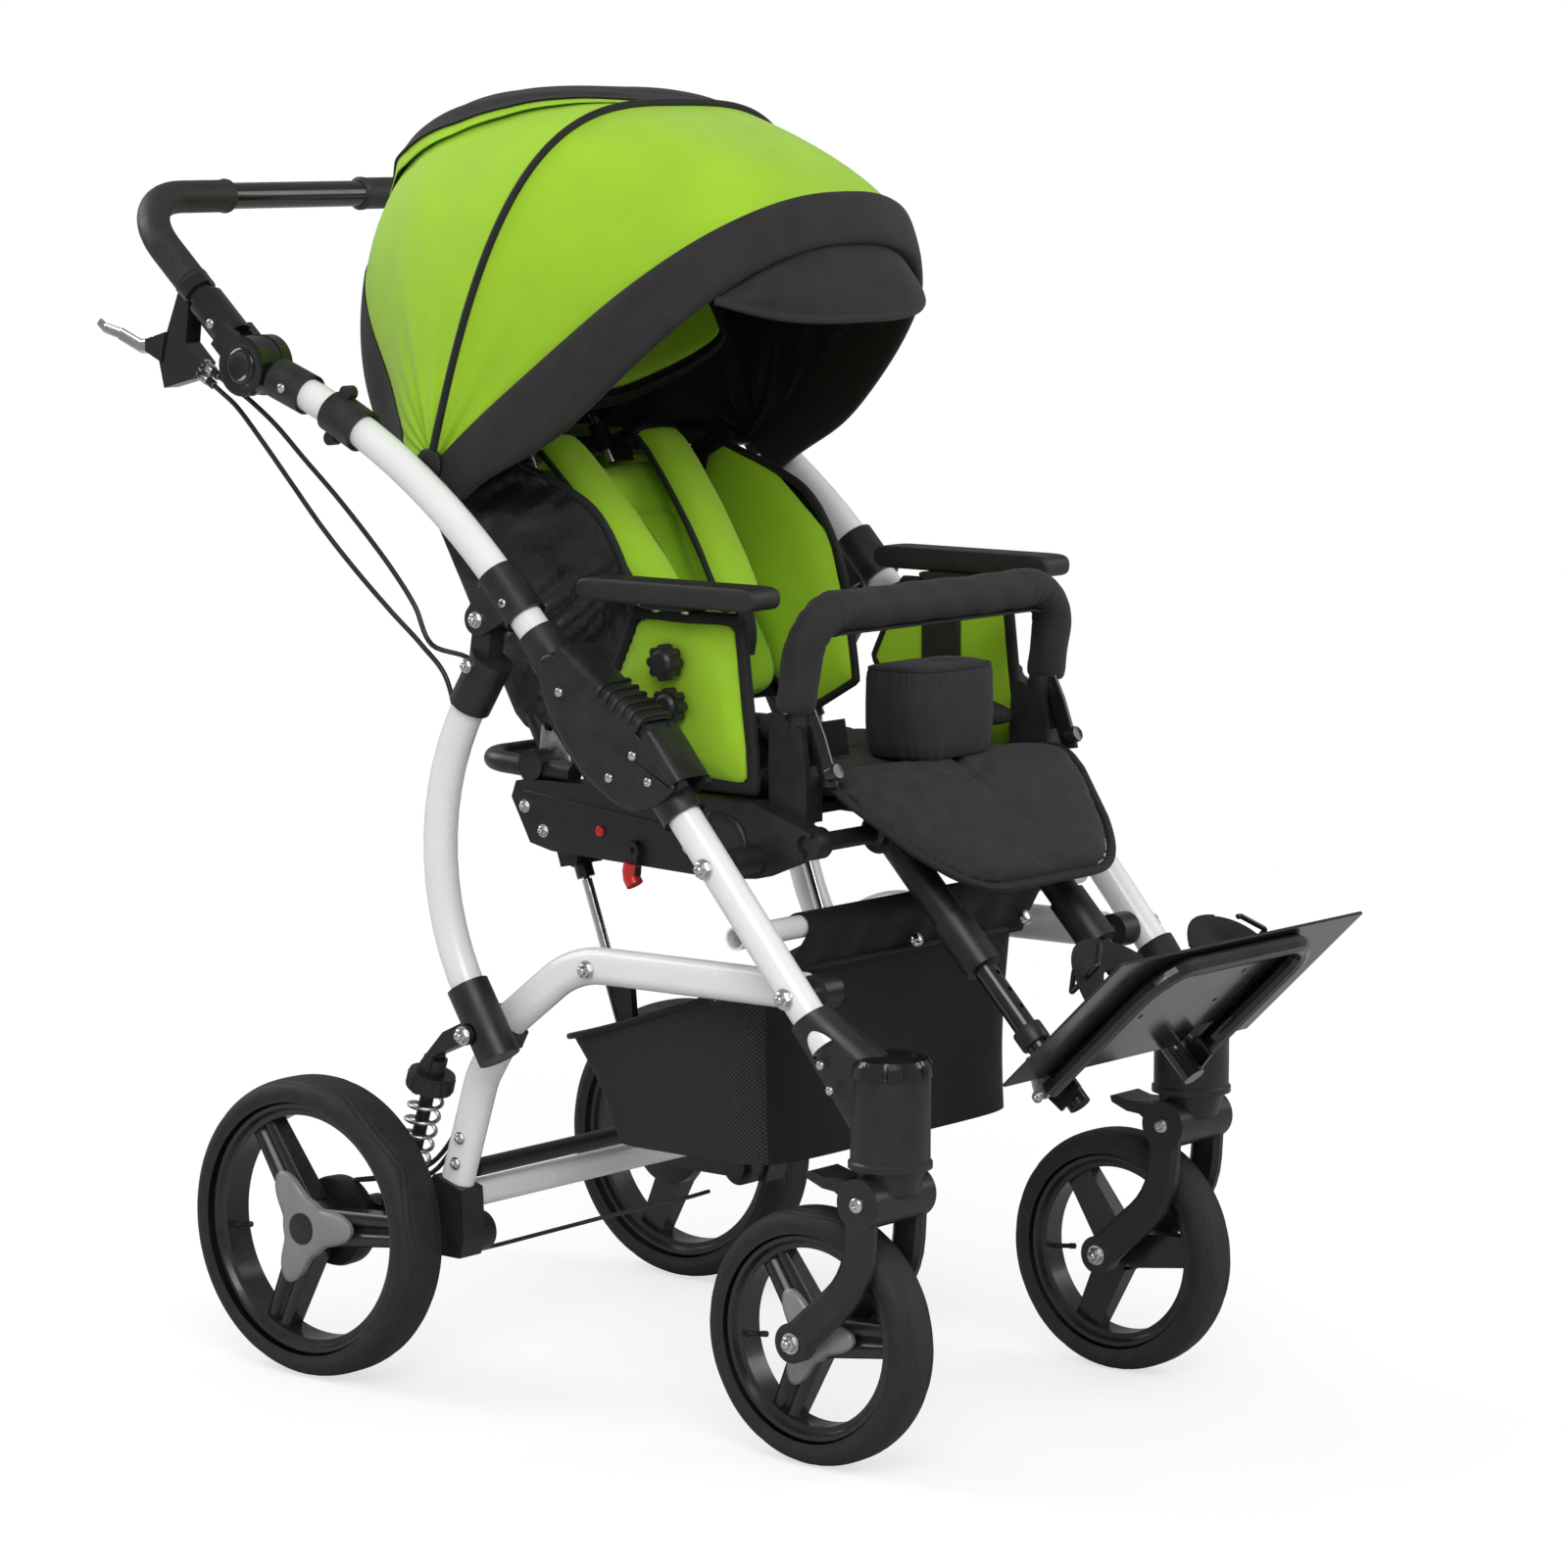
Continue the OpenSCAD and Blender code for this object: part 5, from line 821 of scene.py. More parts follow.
# Seat cushion: a foam pad in charcoal twill that lies on the seat board between the rails, sewn
# across in two channels. Its cover is filled tight, so it is swollen here by a cloth simulation.
def weave(made, pitch, height, twill=False, strength=0.5):
    """Two sets of fine threads: waves along two ways on Object coordinates, multiplied for a plain
    weave, or one slanting wave for a twill, as bump of the given height in metres."""
    tree = made.node_tree
    where = tree.nodes.new("ShaderNodeTexCoord")
    turn = tree.nodes.new("ShaderNodeMapping")
    turn.inputs["Rotation"].default_value = (0.61, 0.35, 0.79)
    tree.links.new(where.outputs["Object"], turn.inputs["Vector"])
    threads = []
    for way in (("DIAGONAL",) if twill else ("X", "Z")):
        wave = tree.nodes.new("ShaderNodeTexWave")
        wave.bands_direction = way
        wave.inputs["Scale"].default_value = 0.314 / pitch
        wave.inputs["Distortion"].default_value = 0.6
        wave.inputs["Detail"].default_value = 1.0
        tree.links.new(turn.outputs["Vector"], wave.inputs["Vector"])
        threads.append(wave.outputs["Fac"])
    high = threads[0]
    if len(threads) == 2:
        mix = tree.nodes.new("ShaderNodeMath")
        mix.operation = "MULTIPLY"
        tree.links.new(threads[0], mix.inputs[0])
        tree.links.new(threads[1], mix.inputs[1])
        high = mix.outputs[0]
    creases = tree.nodes.new("ShaderNodeTexNoise")
    creases.inputs["Scale"].default_value = 16.0
    creases.inputs["Detail"].default_value = 5.0
    tree.links.new(where.outputs["Object"], creases.inputs["Vector"])
    soft = tree.nodes.new("ShaderNodeBump")
    soft.inputs["Strength"].default_value = 0.22
    soft.inputs["Distance"].default_value = 0.004
    tree.links.new(creases.outputs["Fac"], soft.inputs["Height"])
    bump = tree.nodes.new("ShaderNodeBump")
    bump.inputs["Strength"].default_value = strength
    bump.inputs["Distance"].default_value = height
    tree.links.new(high, bump.inputs["Height"])
    tree.links.new(soft.outputs["Normal"], bump.inputs["Normal"])
    tree.links.new(bump.outputs["Normal"], tree.nodes["Principled BSDF"].inputs["Normal"])
    return made


charcoal_twill = weave(drift(finish("charcoal_twill", (0.024, 0.022, 0.023), 0.7, sheen=0.07, spec=0.25),
                             45, 0.18, 0.1),
                       0.0008, 0.0003, twill=True, strength=0.3)
black_cloth = weave(drift(finish("black_canvas", (0.011, 0.011, 0.012), 0.72, sheen=0.06, spec=0.25), 50,
                          0.2, 0.1),
                    0.001, 0.0005)
lime_cloth = weave(drift(finish("lime_canvas", (0.335, 0.60, 0.02), 0.66, sheen=0.12, spec=0.3), 14, 0.05,
                         0.08),
                   0.0009, 0.0004)
piping_black = weave(drift(finish("piping_binding", (0.013, 0.013, 0.013), 0.6, sheen=0.05, spec=0.3), 60,
                           0.2, 0.1),
                     0.0008, 0.0003)


def power(value, p):
    """A value's size raised to a power, with its sign kept."""
    return np.sign(value) * np.abs(value) ** p


def pillow(corner=0.35, side=0.45, rows=30, cols=96):
    """A closed soft form between -1 and 1: a rounded square plan, cos^corner by sin^corner, that
    draws in to the poles as cos^side while the height goes as sin^0.8."""
    up = np.linspace(-np.pi / 2 + 0.02, np.pi / 2 - 0.02, rows)[:, None]
    turn = np.linspace(0, 2 * np.pi, cols, endpoint=False)[None, :]
    draw = np.cos(up) ** side
    return (draw * power(np.cos(turn), corner), draw * power(np.sin(turn), corner),
            power(np.sin(up), 0.8) + 0 * turn)


def stuffed(name, grids, made, cap, voxel=5.0, held=None):
    """A closed form swollen by its filling: even mesh by voxels, Cloth with pressure and no gravity
    for 20 frames, each point's move cut to the cap in mm; held points stay where they rest."""
    piece = make_piece(name, grids, made)
    even = piece.modifiers.new("even", "REMESH")
    even.mode = "VOXEL"
    even.voxel_size = voxel / 1000
    graph = bpy.context.evaluated_depsgraph_get()
    mesh = bpy.data.meshes.new_from_object(piece.evaluated_get(graph))
    piece.modifiers.clear()
    old, piece.data = piece.data, mesh
    bpy.data.meshes.remove(old)
    mesh.name = name
    mesh.materials.clear()
    mesh.materials.append(made)
    mesh.shade_smooth()
    rest = np.empty(len(mesh.vertices) * 3)
    mesh.vertices.foreach_get("co", rest)
    rest = rest.reshape(-1, 3)
    if held is not None:
        group = piece.vertex_groups.new(name="held")
        group.add(np.flatnonzero(held(rest * 1000)).tolist(), 1.0, "REPLACE")
    cloth = piece.modifiers.new("cover", "CLOTH")
    cloth.settings.use_pressure = True
    cloth.settings.uniform_pressure_force = 4.0
    cloth.settings.effector_weights.gravity = 0.0
    cloth.settings.quality = 4
    cloth.settings.mass = 0.3
    cloth.settings.bending_stiffness = 0.8
    cloth.point_cache.frame_start = 1
    cloth.point_cache.frame_end = 20
    if held is not None:
        cloth.settings.vertex_group_mass = "held"
    for step in range(1, 21):
        scene.frame_set(step)
    graph = bpy.context.evaluated_depsgraph_get()
    swollen = piece.evaluated_get(graph).to_mesh()
    now = np.empty(len(mesh.vertices) * 3)
    swollen.vertices.foreach_get("co", now)
    piece.evaluated_get(graph).to_mesh_clear()
    move = now.reshape(-1, 3) - rest
    far = np.linalg.norm(move, axis=1, keepdims=True)
    rest = rest + move * np.minimum(1.0, cap / 1000 / np.maximum(far, 1e-9))
    piece.modifiers.clear()
    piece.vertex_groups.clear()
    scene.frame_set(1)
    mesh.vertices.foreach_set("co", rest.ravel())
    mesh.update()
    return piece


def press(piece, depth_of):
    """Seams and tucks pressed in after the filling: every point moves in along its normal by the depth
    in mm that depth_of gives for its place in mm. One level of subdivision rounds the result."""
    mesh = piece.data
    spots = np.empty(len(mesh.vertices) * 3)
    mesh.vertices.foreach_get("co", spots)
    normals = np.empty(len(mesh.vertices) * 3)
    mesh.vertex_normals.foreach_get("vector", normals)
    spots = spots.reshape(-1, 3)
    spots = spots - normals.reshape(-1, 3) * depth_of(spots * 1000)[:, None] / 1000
    mesh.vertices.foreach_set("co", spots.ravel())
    mesh.update()
    round_off = piece.modifiers.new("round_off", "SUBSURF")
    round_off.levels = round_off.render_levels = 1


def line_depth(distance, depth, width):
    """A seam's depth: depth * exp(-(distance / width)^2)."""
    return depth * np.exp(-(distance / width) ** 2)


u, v, w = pillow()
seat_form = np.stack([166 * u * (1 - 0.03 * (1 - v ** 2)), -98 + 156 * v,
                      618 + 15 * np.where(w > 0, w, w * 1.0)], axis=-1)
seat_pad = stuffed("seat_pad", [seat_form], charcoal_twill, 6.0, held=lambda p: p[:, 2] < 606)
press(seat_pad, lambda p: np.where(p[:, 2] > 612,
                                   line_depth(p[:, 1] + 149, 6, 6) + line_depth(p[:, 1] + 43, 6, 6), 0))
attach(seat_pad, "seat")
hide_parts("seat_cushion")

# Front flap of the seat: a thinner twill pad sewn to the cushion's front edge that droops over the
# knees' edge and narrows to the calves, bound all round, with a tuck in front of the pommel.
flap_line = np.array([(-236, 637), (-262, 637), (-284, 624), (-312, 601), (-342, 576), (-370, 553),
                      (-392, 535)], float)
flap_half = np.array([170, 186, 189, 178, 158, 132, 104], float)


def on_flap(across, along, over):
    """Place on the flap: across -1..1 of the half width, along 0..1 of the centre line, over in mm."""
    fine = np.linspace(0, 1, 200)
    curve = eased(np.column_stack([flap_line, flap_half]), 12)
    parts = [np.interp(fine, np.linspace(0, 1, len(curve)), curve[:, k]) for k in range(3)]
    slope = np.stack([np.gradient(parts[0]), np.gradient(parts[1])])
    slope /= np.linalg.norm(slope, axis=0)
    y, z, half = (np.interp(along, fine, p) for p in parts)
    ny, nz = np.interp(along, fine, -slope[1]), np.interp(along, fine, slope[0])
    flip = np.where(nz < 0, -1, 1)
    return np.stack([across * half, y + ny * flip * over, z + nz * flip * over], axis=-1)


u, v, w = pillow(0.28, 0.3)
sag = 1 - 0.55 * np.abs(u) ** 6
flap_form = on_flap(u * 0.97, 0.5 + 0.485 * v, -8 + 9 * w * sag)
flap = stuffed("seat_flap", [flap_form], charcoal_twill, 5.0, voxel=5.0)


def flap_tucks(p):
    """The dart in front of the pommel and the two creases that run out from it to the corners."""
    up = np.where(p[:, 2] > 560 + (p[:, 1] + 392) * 0.1, 1.0, 0.0)
    y = p[:, 1] + 270
    dart = line_depth(p[:, 0], 9, 5) * np.exp(-(y / 24) ** 2)
    creases = line_depth(np.abs(p[:, 0]) * 0.35 - (p[:, 1] + 294), 4.0, 6) * np.exp(-(p[:, 0] / 60) ** 2)
    seam = line_depth(p[:, 1] + 262, 3.5, 5)
    return up * (dart + creases + seam)


press(flap, flap_tucks)
bend = np.linspace(-0.86, np.pi + 0.86, 160)
rim = on_flap(0.96 * power(np.cos(bend), 0.28), 0.5 + 0.478 * power(np.sin(bend), 0.28), np.full(160, -8.0))
rim_run = np.append(0, np.cumsum(np.linalg.norm(np.diff(rim, axis=0), axis=1)))
rim = np.column_stack([np.interp(np.linspace(0, rim_run[-1], 120), rim_run, rim[:, k]) for k in range(3)])
rim_up = np.tile((0.0, -0.6, 0.8), (len(rim), 1))
flap_piping = make_piece("flap_binding", [carried(rim, oval_profile(7.0, 10.0, 14), rim_up)], piping_black,
                         None)
for piece in (flap, flap_piping):
    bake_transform(piece)
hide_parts("calf_pad")

# Pommel: a firm foam block between the knees in charcoal twill, gathered into a seam round its top
# and strapped to the front of the cushion.
turn = np.linspace(0, 2 * np.pi, 160, endpoint=False)[None, :]
rise = np.array([0, 2, 6, 18, 36, 54, 70, 80, 86, 89, 90.5, 89.5, 91, 93.5, 95, 95.6, 96])[:, None]
wide = np.array([0.80, 0.88, 0.93, 0.985, 1.0, 1.0, 0.995, 0.985, 0.97, 0.955, 0.93, 0.915, 0.90, 0.80,
                 0.55, 0.25, 0.02])[:, None]
gather = 1 + 0.012 * np.sin(44 * turn + 2 * np.sin(3 * turn)) * np.exp(-((rise - 84) / 7) ** 2)
gather = gather + 0.012 * np.sin(23 * turn + 1.3) * np.exp(-((rise - 4) / 7) ** 2)
pommel_form = np.stack([66 * wide * gather * power(np.cos(turn), 0.5),
                        -240 + 42 * wide * gather * power(np.sin(turn), 0.58),
                        637.4 + 0.95 * rise + 1.2 * np.cos(2 * turn) * (rise / 96) ** 4], axis=-1)
pommel_pad = make_piece("pommel_pad", [pommel_form], charcoal_twill, "seat_pommel",
                        ["pommel"], angle=80)
stitch_turn = np.linspace(0, 2 * np.pi, 240)
stitch = np.stack([66 * 0.945 * power(np.cos(stitch_turn), 0.5),
                   -240 + 42 * 0.945 * power(np.sin(stitch_turn), 0.58),
                   np.full(240, 723.1)], axis=-1)
make_piece("pommel_seam", [carried(stitch, round_profile(1.5, 8), (0, 0, 1))], piping_black, "seat_pommel")

# Hip straps: a black webbing belt that lies on the cushion from both sides, with a mesh pad.
mesh_black = grain(drift(finish("spacer_mesh", (0.02, 0.02, 0.021), 0.7, spec=0.3), 300, 0.5, 0.2), 700,
                   0.0008, 0.7)
for side in (-1, 1):
    belt = eased(np.array([(side * 176, -110, 650), (side * 150, -140, 652), (side * 118, -176, 655),
                           (side * 84, -206, 660)], float))
    name = "left" if side > 0 else "right"
    make_piece("hip_belt_" + name,
               [carried(belt, oval_profile(3.0, 34.0, 20)[:, ::-1], (0.2 * side, 0.35, 1))], black_cloth,
               "seat",
               angle=60)
    u, v, w = pillow(0.4, 0.5, 20, 60)
    pad = make_piece("hip_pad_" + name,
                     [np.stack([side * (128 + 40 * u), -168 + 30 * v - 26 * u, 664 + 20 * v * 0.4 + 11 * w],
                               axis=-1)],
                     mesh_black, "seat", angle=80)

# Side panels: lime canvas over foam on a black board, bound in black, clamped to the seat rails by
# two star knobs each. The knobs dimple the cloth.
panel_rows = np.array([(-178, -48, 780), (-183, -30, 740), (-188, -10, 700), (-193, -38, 660),
                       (-195, -76, 618)], float)


def on_panel(across, along, out):
    """Place on a side panel: across -1..1 from its front edge to its rear, along -1..1 down it."""
    row = (along + 1) * 2
    front, rear, z = (np.interp(row, np.arange(5), panel_rows[:, k]) for k in range(3))
    return np.stack([out + 0 * across, front + (rear - front) * (across + 1) / 2, z], axis=-1)


for side, word in ((-1, "right"), (1, "left")):
    u, v, w = pillow(0.22, 0.25)
    form = on_panel(u * 0.93, v * 0.95, 0 * u)
    form[..., 0] = side * (207.5 + 5.5 * w)
    panel = stuffed("side_panel_" + word, [form], lime_cloth, 4.0, voxel=4.5,
                    held=lambda p: np.abs(p[:, 0]) < 203.5)
    dimples = ((-100, 735), (-105, 694))
    press(panel, lambda p: np.where(np.abs(p[:, 0]) > 207,
                                    sum(line_depth(np.hypot(p[:, 1] - y, p[:, 2] - z), 5.5, 21)
                                                              for y, z in dimples), 0))
    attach(panel, "seat")
    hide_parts("side_panels")
    ring = np.concatenate([on_panel(np.linspace(-0.97, 0.97, 30), np.full(30, -0.97), 0.0),
                           on_panel(np.full(40, 0.97), np.linspace(-0.95, 0.97, 40), 0.0),
                           on_panel(np.linspace(0.95, -0.97, 30), np.full(30, 0.97), 0.0),
                           on_panel(np.full(40, -0.97), np.linspace(0.95, -0.97, 40), 0.0)])
    ring[:, 0] = side * 206.5
    shape = oval_profile(11.0, 13.0, 18) * (1.0, 1.0)
    make_piece("panel_binding_" + word, [(carried(ring, shape, (1, 0, 0)), True, True)], piping_black,
               "seat")
    board = on_panel(u * 0.94, v * 0.96, 0 * u)
    board[..., 0] = side * (201.6 + 1.2 * w)
    make_piece("panel_board_" + word, [board], lime_cloth, "seat")

# Bumper: a steel bar in a soft charcoal sleeve, hinged in two sockets on the seat rails. The sleeve
# wrinkles in the two corners and its seam hangs as a narrow flap under the cross run.
bumper_foot, bumper_top = np.array([-230.0, 665.0]), np.array([-246.0, 787.0])
bumper_rise = (bumper_top - bumper_foot) / np.linalg.norm(bumper_top - bumper_foot)
bumper_high = np.linalg.norm(bumper_top - bumper_foot)


def on_bumper(points):
    """(x, distance up the bumper) to the row frame."""
    points = np.asarray(points, float)
    return np.column_stack([points[:, 0], bumper_foot + points[:, 1:2] * bumper_rise])


def evened(path, step):
    """The same path in even steps of about the given length."""
    run = np.concatenate([[0], np.cumsum(np.linalg.norm(np.diff(path, axis=0), axis=1))])
    spots = np.linspace(0, run[-1], max(int(run[-1] / step), 4))
    return np.column_stack([np.interp(spots, run, path[:, k]) for k in range(path.shape[1])]), spots


bend = on_bumper([(195, 31), (195, bumper_high), (-195, bumper_high), (-195, 31)])
bumper_line, run = evened(rounded_path(bend, 46), 2.5)
turn = np.linspace(0, 2 * np.pi, 48, endpoint=False)[None, :]
length = run[-1]
corner = np.exp(-((run - 106) / 36) ** 2) + np.exp(-((run - length + 106) / 36) ** 2)
middle = np.exp(-((run - length / 2) / 170) ** 4)
ease = np.minimum(1, np.minimum(run, length - run) / 14)[:, None]
sleeve_round = (19.0 + corner[:, None]
                * (1.5 * np.sin(run[:, None] * 0.46 + 2.2 * np.cos(turn))
                   * (0.55 - 0.45 * np.cos(turn - 0.6))))
sleeve_round += (0.5 * np.sin(run[:, None] * 0.11 + turn * 2) + 0.45
                 * np.sin(run[:, None] * 0.043 - turn * 3 + 1))
sleeve_round *= 0.86 + 0.14 * np.sqrt(ease * (2 - ease))
ring = np.stack([sleeve_round * np.cos(turn), sleeve_round * np.sin(turn)], axis=-1)
sleeve_normal = np.array([0, bumper_rise[1], -bumper_rise[0]])
sleeve = make_piece("bumper_sleeve", [carried(bumper_line, ring, -sleeve_normal)], charcoal_twill, "bumper",
                    ["bumper_bar"], angle=80)
part = slice(int(len(run) * 0.2), int(len(run) * 0.8))
seam_line = (bumper_line[part] - np.array([0, *bumper_rise]) * 21
             + np.outer(np.sin(run[part] * 0.05), (0, 0.6, 0)))
seam_shape = oval_profile(2.4, 18.0, 16)
make_piece("bumper_seam_flap", [carried(seam_line, seam_shape[:, ::-1], sleeve_normal)], charcoal_twill,
           "bumper")
socket_x = 188
for side, word in ((-1, "right"), (1, "left")):
    plate = oval_profile(12.0, 16.0, 24)
    strip = side_path(side * socket_x, [(-243, 694), (-254, 672), (-268, 634), (-269, 627)])
    make_piece("bumper_latch_" + word,
               [carried(strip, np.column_stack([plate[:, 1] * 1.6, plate[:, 0] * 0.42]), (1, 0, 0)),
                                        turned([(-4, 0.1), (-4, 8.0), (6.0, 8.0), (7.6, 7.0), (8.2, 0.1)],
                                                (side * socket_x, -272, 640), (0, -0.92, 0.39), 32)],
               gloss_black, "seat")
    make_piece("bumper_stub_" + word, [turned([(8, 0.1), (8, 10), (12, 12.5), (34, 12.5), (34, 0.1)],
                                              (side * socket_x, *bumper_foot), (0, *bumper_rise), 32),
                                       turned([(-5.2, 0.1), (-5.2, 11), (5.2, 11), (5.2, 0.1)],
                                               (side * 187.7, *bumper_foot), (1, 0, 0), 36)],
               satin_black, "bumper")

# Armrests: black moulded foam with a leather grain on a plate and an upright that slides in the side
# panel's slot. Two screws hold each pad from below.
skin = grain(drift(finish("moulded_foam", (0.018, 0.018, 0.018), 0.5, spec=0.45), 60, 0.15, 0.15), 900,
             0.0005, 0.5)
for side, word in ((-1, "right"), (1, "left")):
    u, v, w = pillow(0.12, 0.1, 40, 128)
    pad = np.stack([side * (226.5 + 21.8 * u), -116 + 109.8 * v,
                    801.5 + 11.4 * w * np.where(w > 0, 1 - 0.04 * u ** 2, 1)], axis=-1)
    pad_piece = make_piece("armrest_pad_" + word, [pad], skin, "arm_support_" + word,
                           ["armrest_" + word], angle=60)
    u, v, w = pillow(0.12, 0.15, 16, 60)
    post = np.stack([side * (197.1 + 3.4 * w), -102 + 23.8 * u, 740 + 49.5 * v], axis=-1)
    plate = np.stack([side * (213.8 + 19.8 * u), -102 + 27.8 * v, 787.2 + 3.2 * w], axis=-1)
    make_piece("armrest_post_" + word, [post, plate], satin_black, "arm_support_" + word)
    make_piece("armrest_screws_" + word,
               socket_screw((side * 219, -120, 784), (0, 0, -1), 4.5)
               + socket_screw((side * 219, -84, 784), (0, 0, -1), 4.5),
               zinc, "arm_support_" + word)

# Back cushion: lime canvas over foam on the back panel, with a yoke seam and two upright seams,
# swollen like the seat cushion. It rides on the backrest.
back_along, back_out = np.array([0.49394, 0.86949]), np.array([-0.86949, 0.49394])


def on_back(x, s, n):
    """Place on the backrest: across, distance up the back from its hinge, height to the front."""
    x, s, n = np.broadcast_arrays(x, s, n)
    return np.stack([x, 80 + s * back_along[0] + n * back_out[0],
                     622 + s * back_along[1] + n * back_out[1]], axis=-1)


def off_back(p):
    """The other way round: (distance up, height to the front) of places in mm."""
    y, z = p[:, 1] - 80, p[:, 2] - 622
    return y * back_along[0] + z * back_along[1], y * back_out[0] + z * back_out[1]


u, v, w = pillow(0.3, 0.35)
back_form = on_back(151 * u, 160 + 136 * v, 31 + 18 * w + 5 * (w > 0) * w * (1 - u ** 2))
back_pad = stuffed("back_pad", [back_form], lime_cloth, 6.0, held=lambda p: off_back(p)[1] < 14.5)


def back_seams(p):
    """A yoke seam across at 232 up and two upright seams below it that lean in."""
    s, n = off_back(p)
    front = np.where(n > 30, 1.0, 0.0)
    return (front * (line_depth(s - 232, 5, 5) + (s < 232)
                     * line_depth(np.abs(p[:, 0]) - 62 - (s - 100) * 0.1, 5, 5)))


press(back_pad, back_seams)
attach(back_pad, "backrest")
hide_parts("back_cushion")

# Side wings of the back: lime pads that hold the trunk, with a bound edge and a slack cover of black
# nylon on the outside that gathers between the wing's edge and the back tube.
nylon = drift(finish("black_nylon", (0.010, 0.010, 0.011), 0.26, sheen=0.03, spec=0.6), 30, 0.2, 0.2)
nylon = grain(nylon, 60, 0.004, 0.35)
wing_edge = eased(np.array([(0, 60, 116), (30, 34, 128), (60, 16, 139), (100, 11.5, 154),
                            (150, 11.5, 159.5), (196, 11.5, 152), (236, 16, 125), (266, 36, 99),
                            (288, 56, 80)], float), 10)
for side, word in ((-1, "right"), (1, "left")):
    u, v, w = pillow(0.16, 0.22, 26, 120)
    s = 144 + 142 * v
    low, top = (np.interp(s, wing_edge[:, 0], wing_edge[:, k]) for k in (1, 2))
    wing = make_piece("wing_pad_" + word,
                      [on_back(side * (159.8 + 3.4 * (w + 1) * 0.5 - 7 * (w < 0) * w ** 2
                                       * (1 - u ** 4)), s,
                                                   low + (top - low) * (0.5 + 0.485 * u))], lime_cloth,
                      "backrest", angle=80)
    edge_s = np.concatenate([wing_edge[:, 0], wing_edge[::-1, 0]])
    edge_n = np.concatenate([wing_edge[:, 1], wing_edge[::-1, 2]])
    rim, _ = evened(np.concatenate([on_back(side * 162.5, edge_s, edge_n),
                                    on_back(side * 162.5, edge_s[:1], edge_n[:1])]), 4)
    make_piece("wing_binding_" + word, [(carried(rim, oval_profile(7.0, 9.0, 14), (1, 0, 0)), True, True)],
               piping_black, "backrest")
    s, t = np.meshgrid(np.linspace(4, 284, 140), np.linspace(0, 1, 90), indexing="ij")
    low, top = (np.interp(s, wing_edge[:, 0], wing_edge[:, k]) for k in (1, 2))
    wrap = t * t * (3 - 2 * t)
    fade = np.sin(np.pi * t) ** 0.6 * np.minimum(1, np.minimum(s - 4, 284 - s) / 20)
    crease = (3.0 * np.sin(0.075 * s - 0.05 * t * 170 + 1.2 * np.sin(0.021 * s + 3 * t)) + 1.8
              * np.sin(0.17 * s + 7 * t + 2 * np.sin(0.05 * s)))
    reach = 166.5 + 25.5 * wrap * np.minimum(1, s / 60) + fade * (2.2 + crease * (0.6 + 0.4 * t))
    over = top - 2 + (-11 + 22 * np.maximum(0, 1 - s / 46) - top) * t
    outer, inner = on_back(side * reach, s, over), on_back(side * (reach - 1.6), s, over)
    cover = make_piece("wing_cover_" + word, [np.concatenate([outer, inner[:, ::-1]], axis=1)], nylon,
                       "backrest", angle=70)

# Harness: two padded lime shoulder pads with bound edges. Black webbing runs from each over the top
# edge of the back, and down from its lower end to the belt.
pad_line = eased(np.array([(78, 312, 74), (76, 286, 84), (70, 235, 96), (62, 180, 106), (57, 130, 110),
                           (54, 96, 110)], float), 10)
for side, word in ((-1, "right"), (1, "left")):
    u, v, w = pillow(0.2, 0.3, 24, 120)
    at = np.linspace(0, 1, len(pad_line))
    x, s, n = (np.interp(0.5 - 0.5 * v, at, pad_line[:, k]) for k in range(3))
    pucker = 0.7 * np.sin(30 * v + 2 * u) * np.abs(u) ** 6
    pad = make_piece("shoulder_pad_" + word,
                     [on_back(side * (x + (31 + pucker) * u), s,
                              n - 7 * u ** 2 + 8.5 * w * (1 - 0.5 * np.abs(u) ** 5))],
                     lime_cloth, "backrest", angle=80)
    go = np.linspace(0.015, 0.985, 70)
    x, s, n = (np.interp(go, at, pad_line[:, k]) for k in range(3))
    loop = np.concatenate([on_back(side * (x + 31), s, n - 7),
                           on_back(side * (x[-1] + np.linspace(29, -29, 16)), s[-1] - 1.5, n[-1] - 3),
                           on_back(side * (x - 31), s, n - 7)[::-1],
                           on_back(side * (x[0] + np.linspace(-29, 31, 16)), s[0] + 1.5, n[0] - 3)])
    loop, _ = evened(loop, 4)
    make_piece("shoulder_binding_" + word,
               [(carried(loop, oval_profile(6.0, 7.5, 12), np.array([0, *back_out]))[:, ::-1], True, True)],
               piping_black,
               "backrest")
    over = eased(on_back(side * np.array([77, 79, 80, 80, 80]), np.array([300, 318, 326, 322, 306]),
                         np.array([76, 68, 48, 20, 13])), 10)
    make_piece("shoulder_web_" + word, [carried(over, oval_profile(2.4, 38.0, 20)[:, :], (0, *back_out))],
               black_cloth, "backrest",
               angle=60)
    down = eased(on_back(side * np.array([54, 52, 50, 49]), np.array([100, 82, 66, 52]),
                         np.array([104, 103, 98, 88])), 10)
    make_piece("lower_web_" + word, [carried(down, oval_profile(2.4, 25.0, 20), (0, *back_out))],
               black_cloth, "backrest", angle=60)

# Headrest: a wrap-round foam pad with a lime front, a black back and lower edge and a bound rim, on
# two stems that slide in the back frame.
def on_head(u, v, out):
    """Place on the headrest: u across and v up from -1 to 1, out from its curved back 25 + 118 |u|^2.4."""
    return on_back(137 * u - 4 * power(u, 7), 396 + 46 * v * (1 - 0.12 * u ** 2),
                   25 + 118 * np.abs(u) ** 2.4 + out)


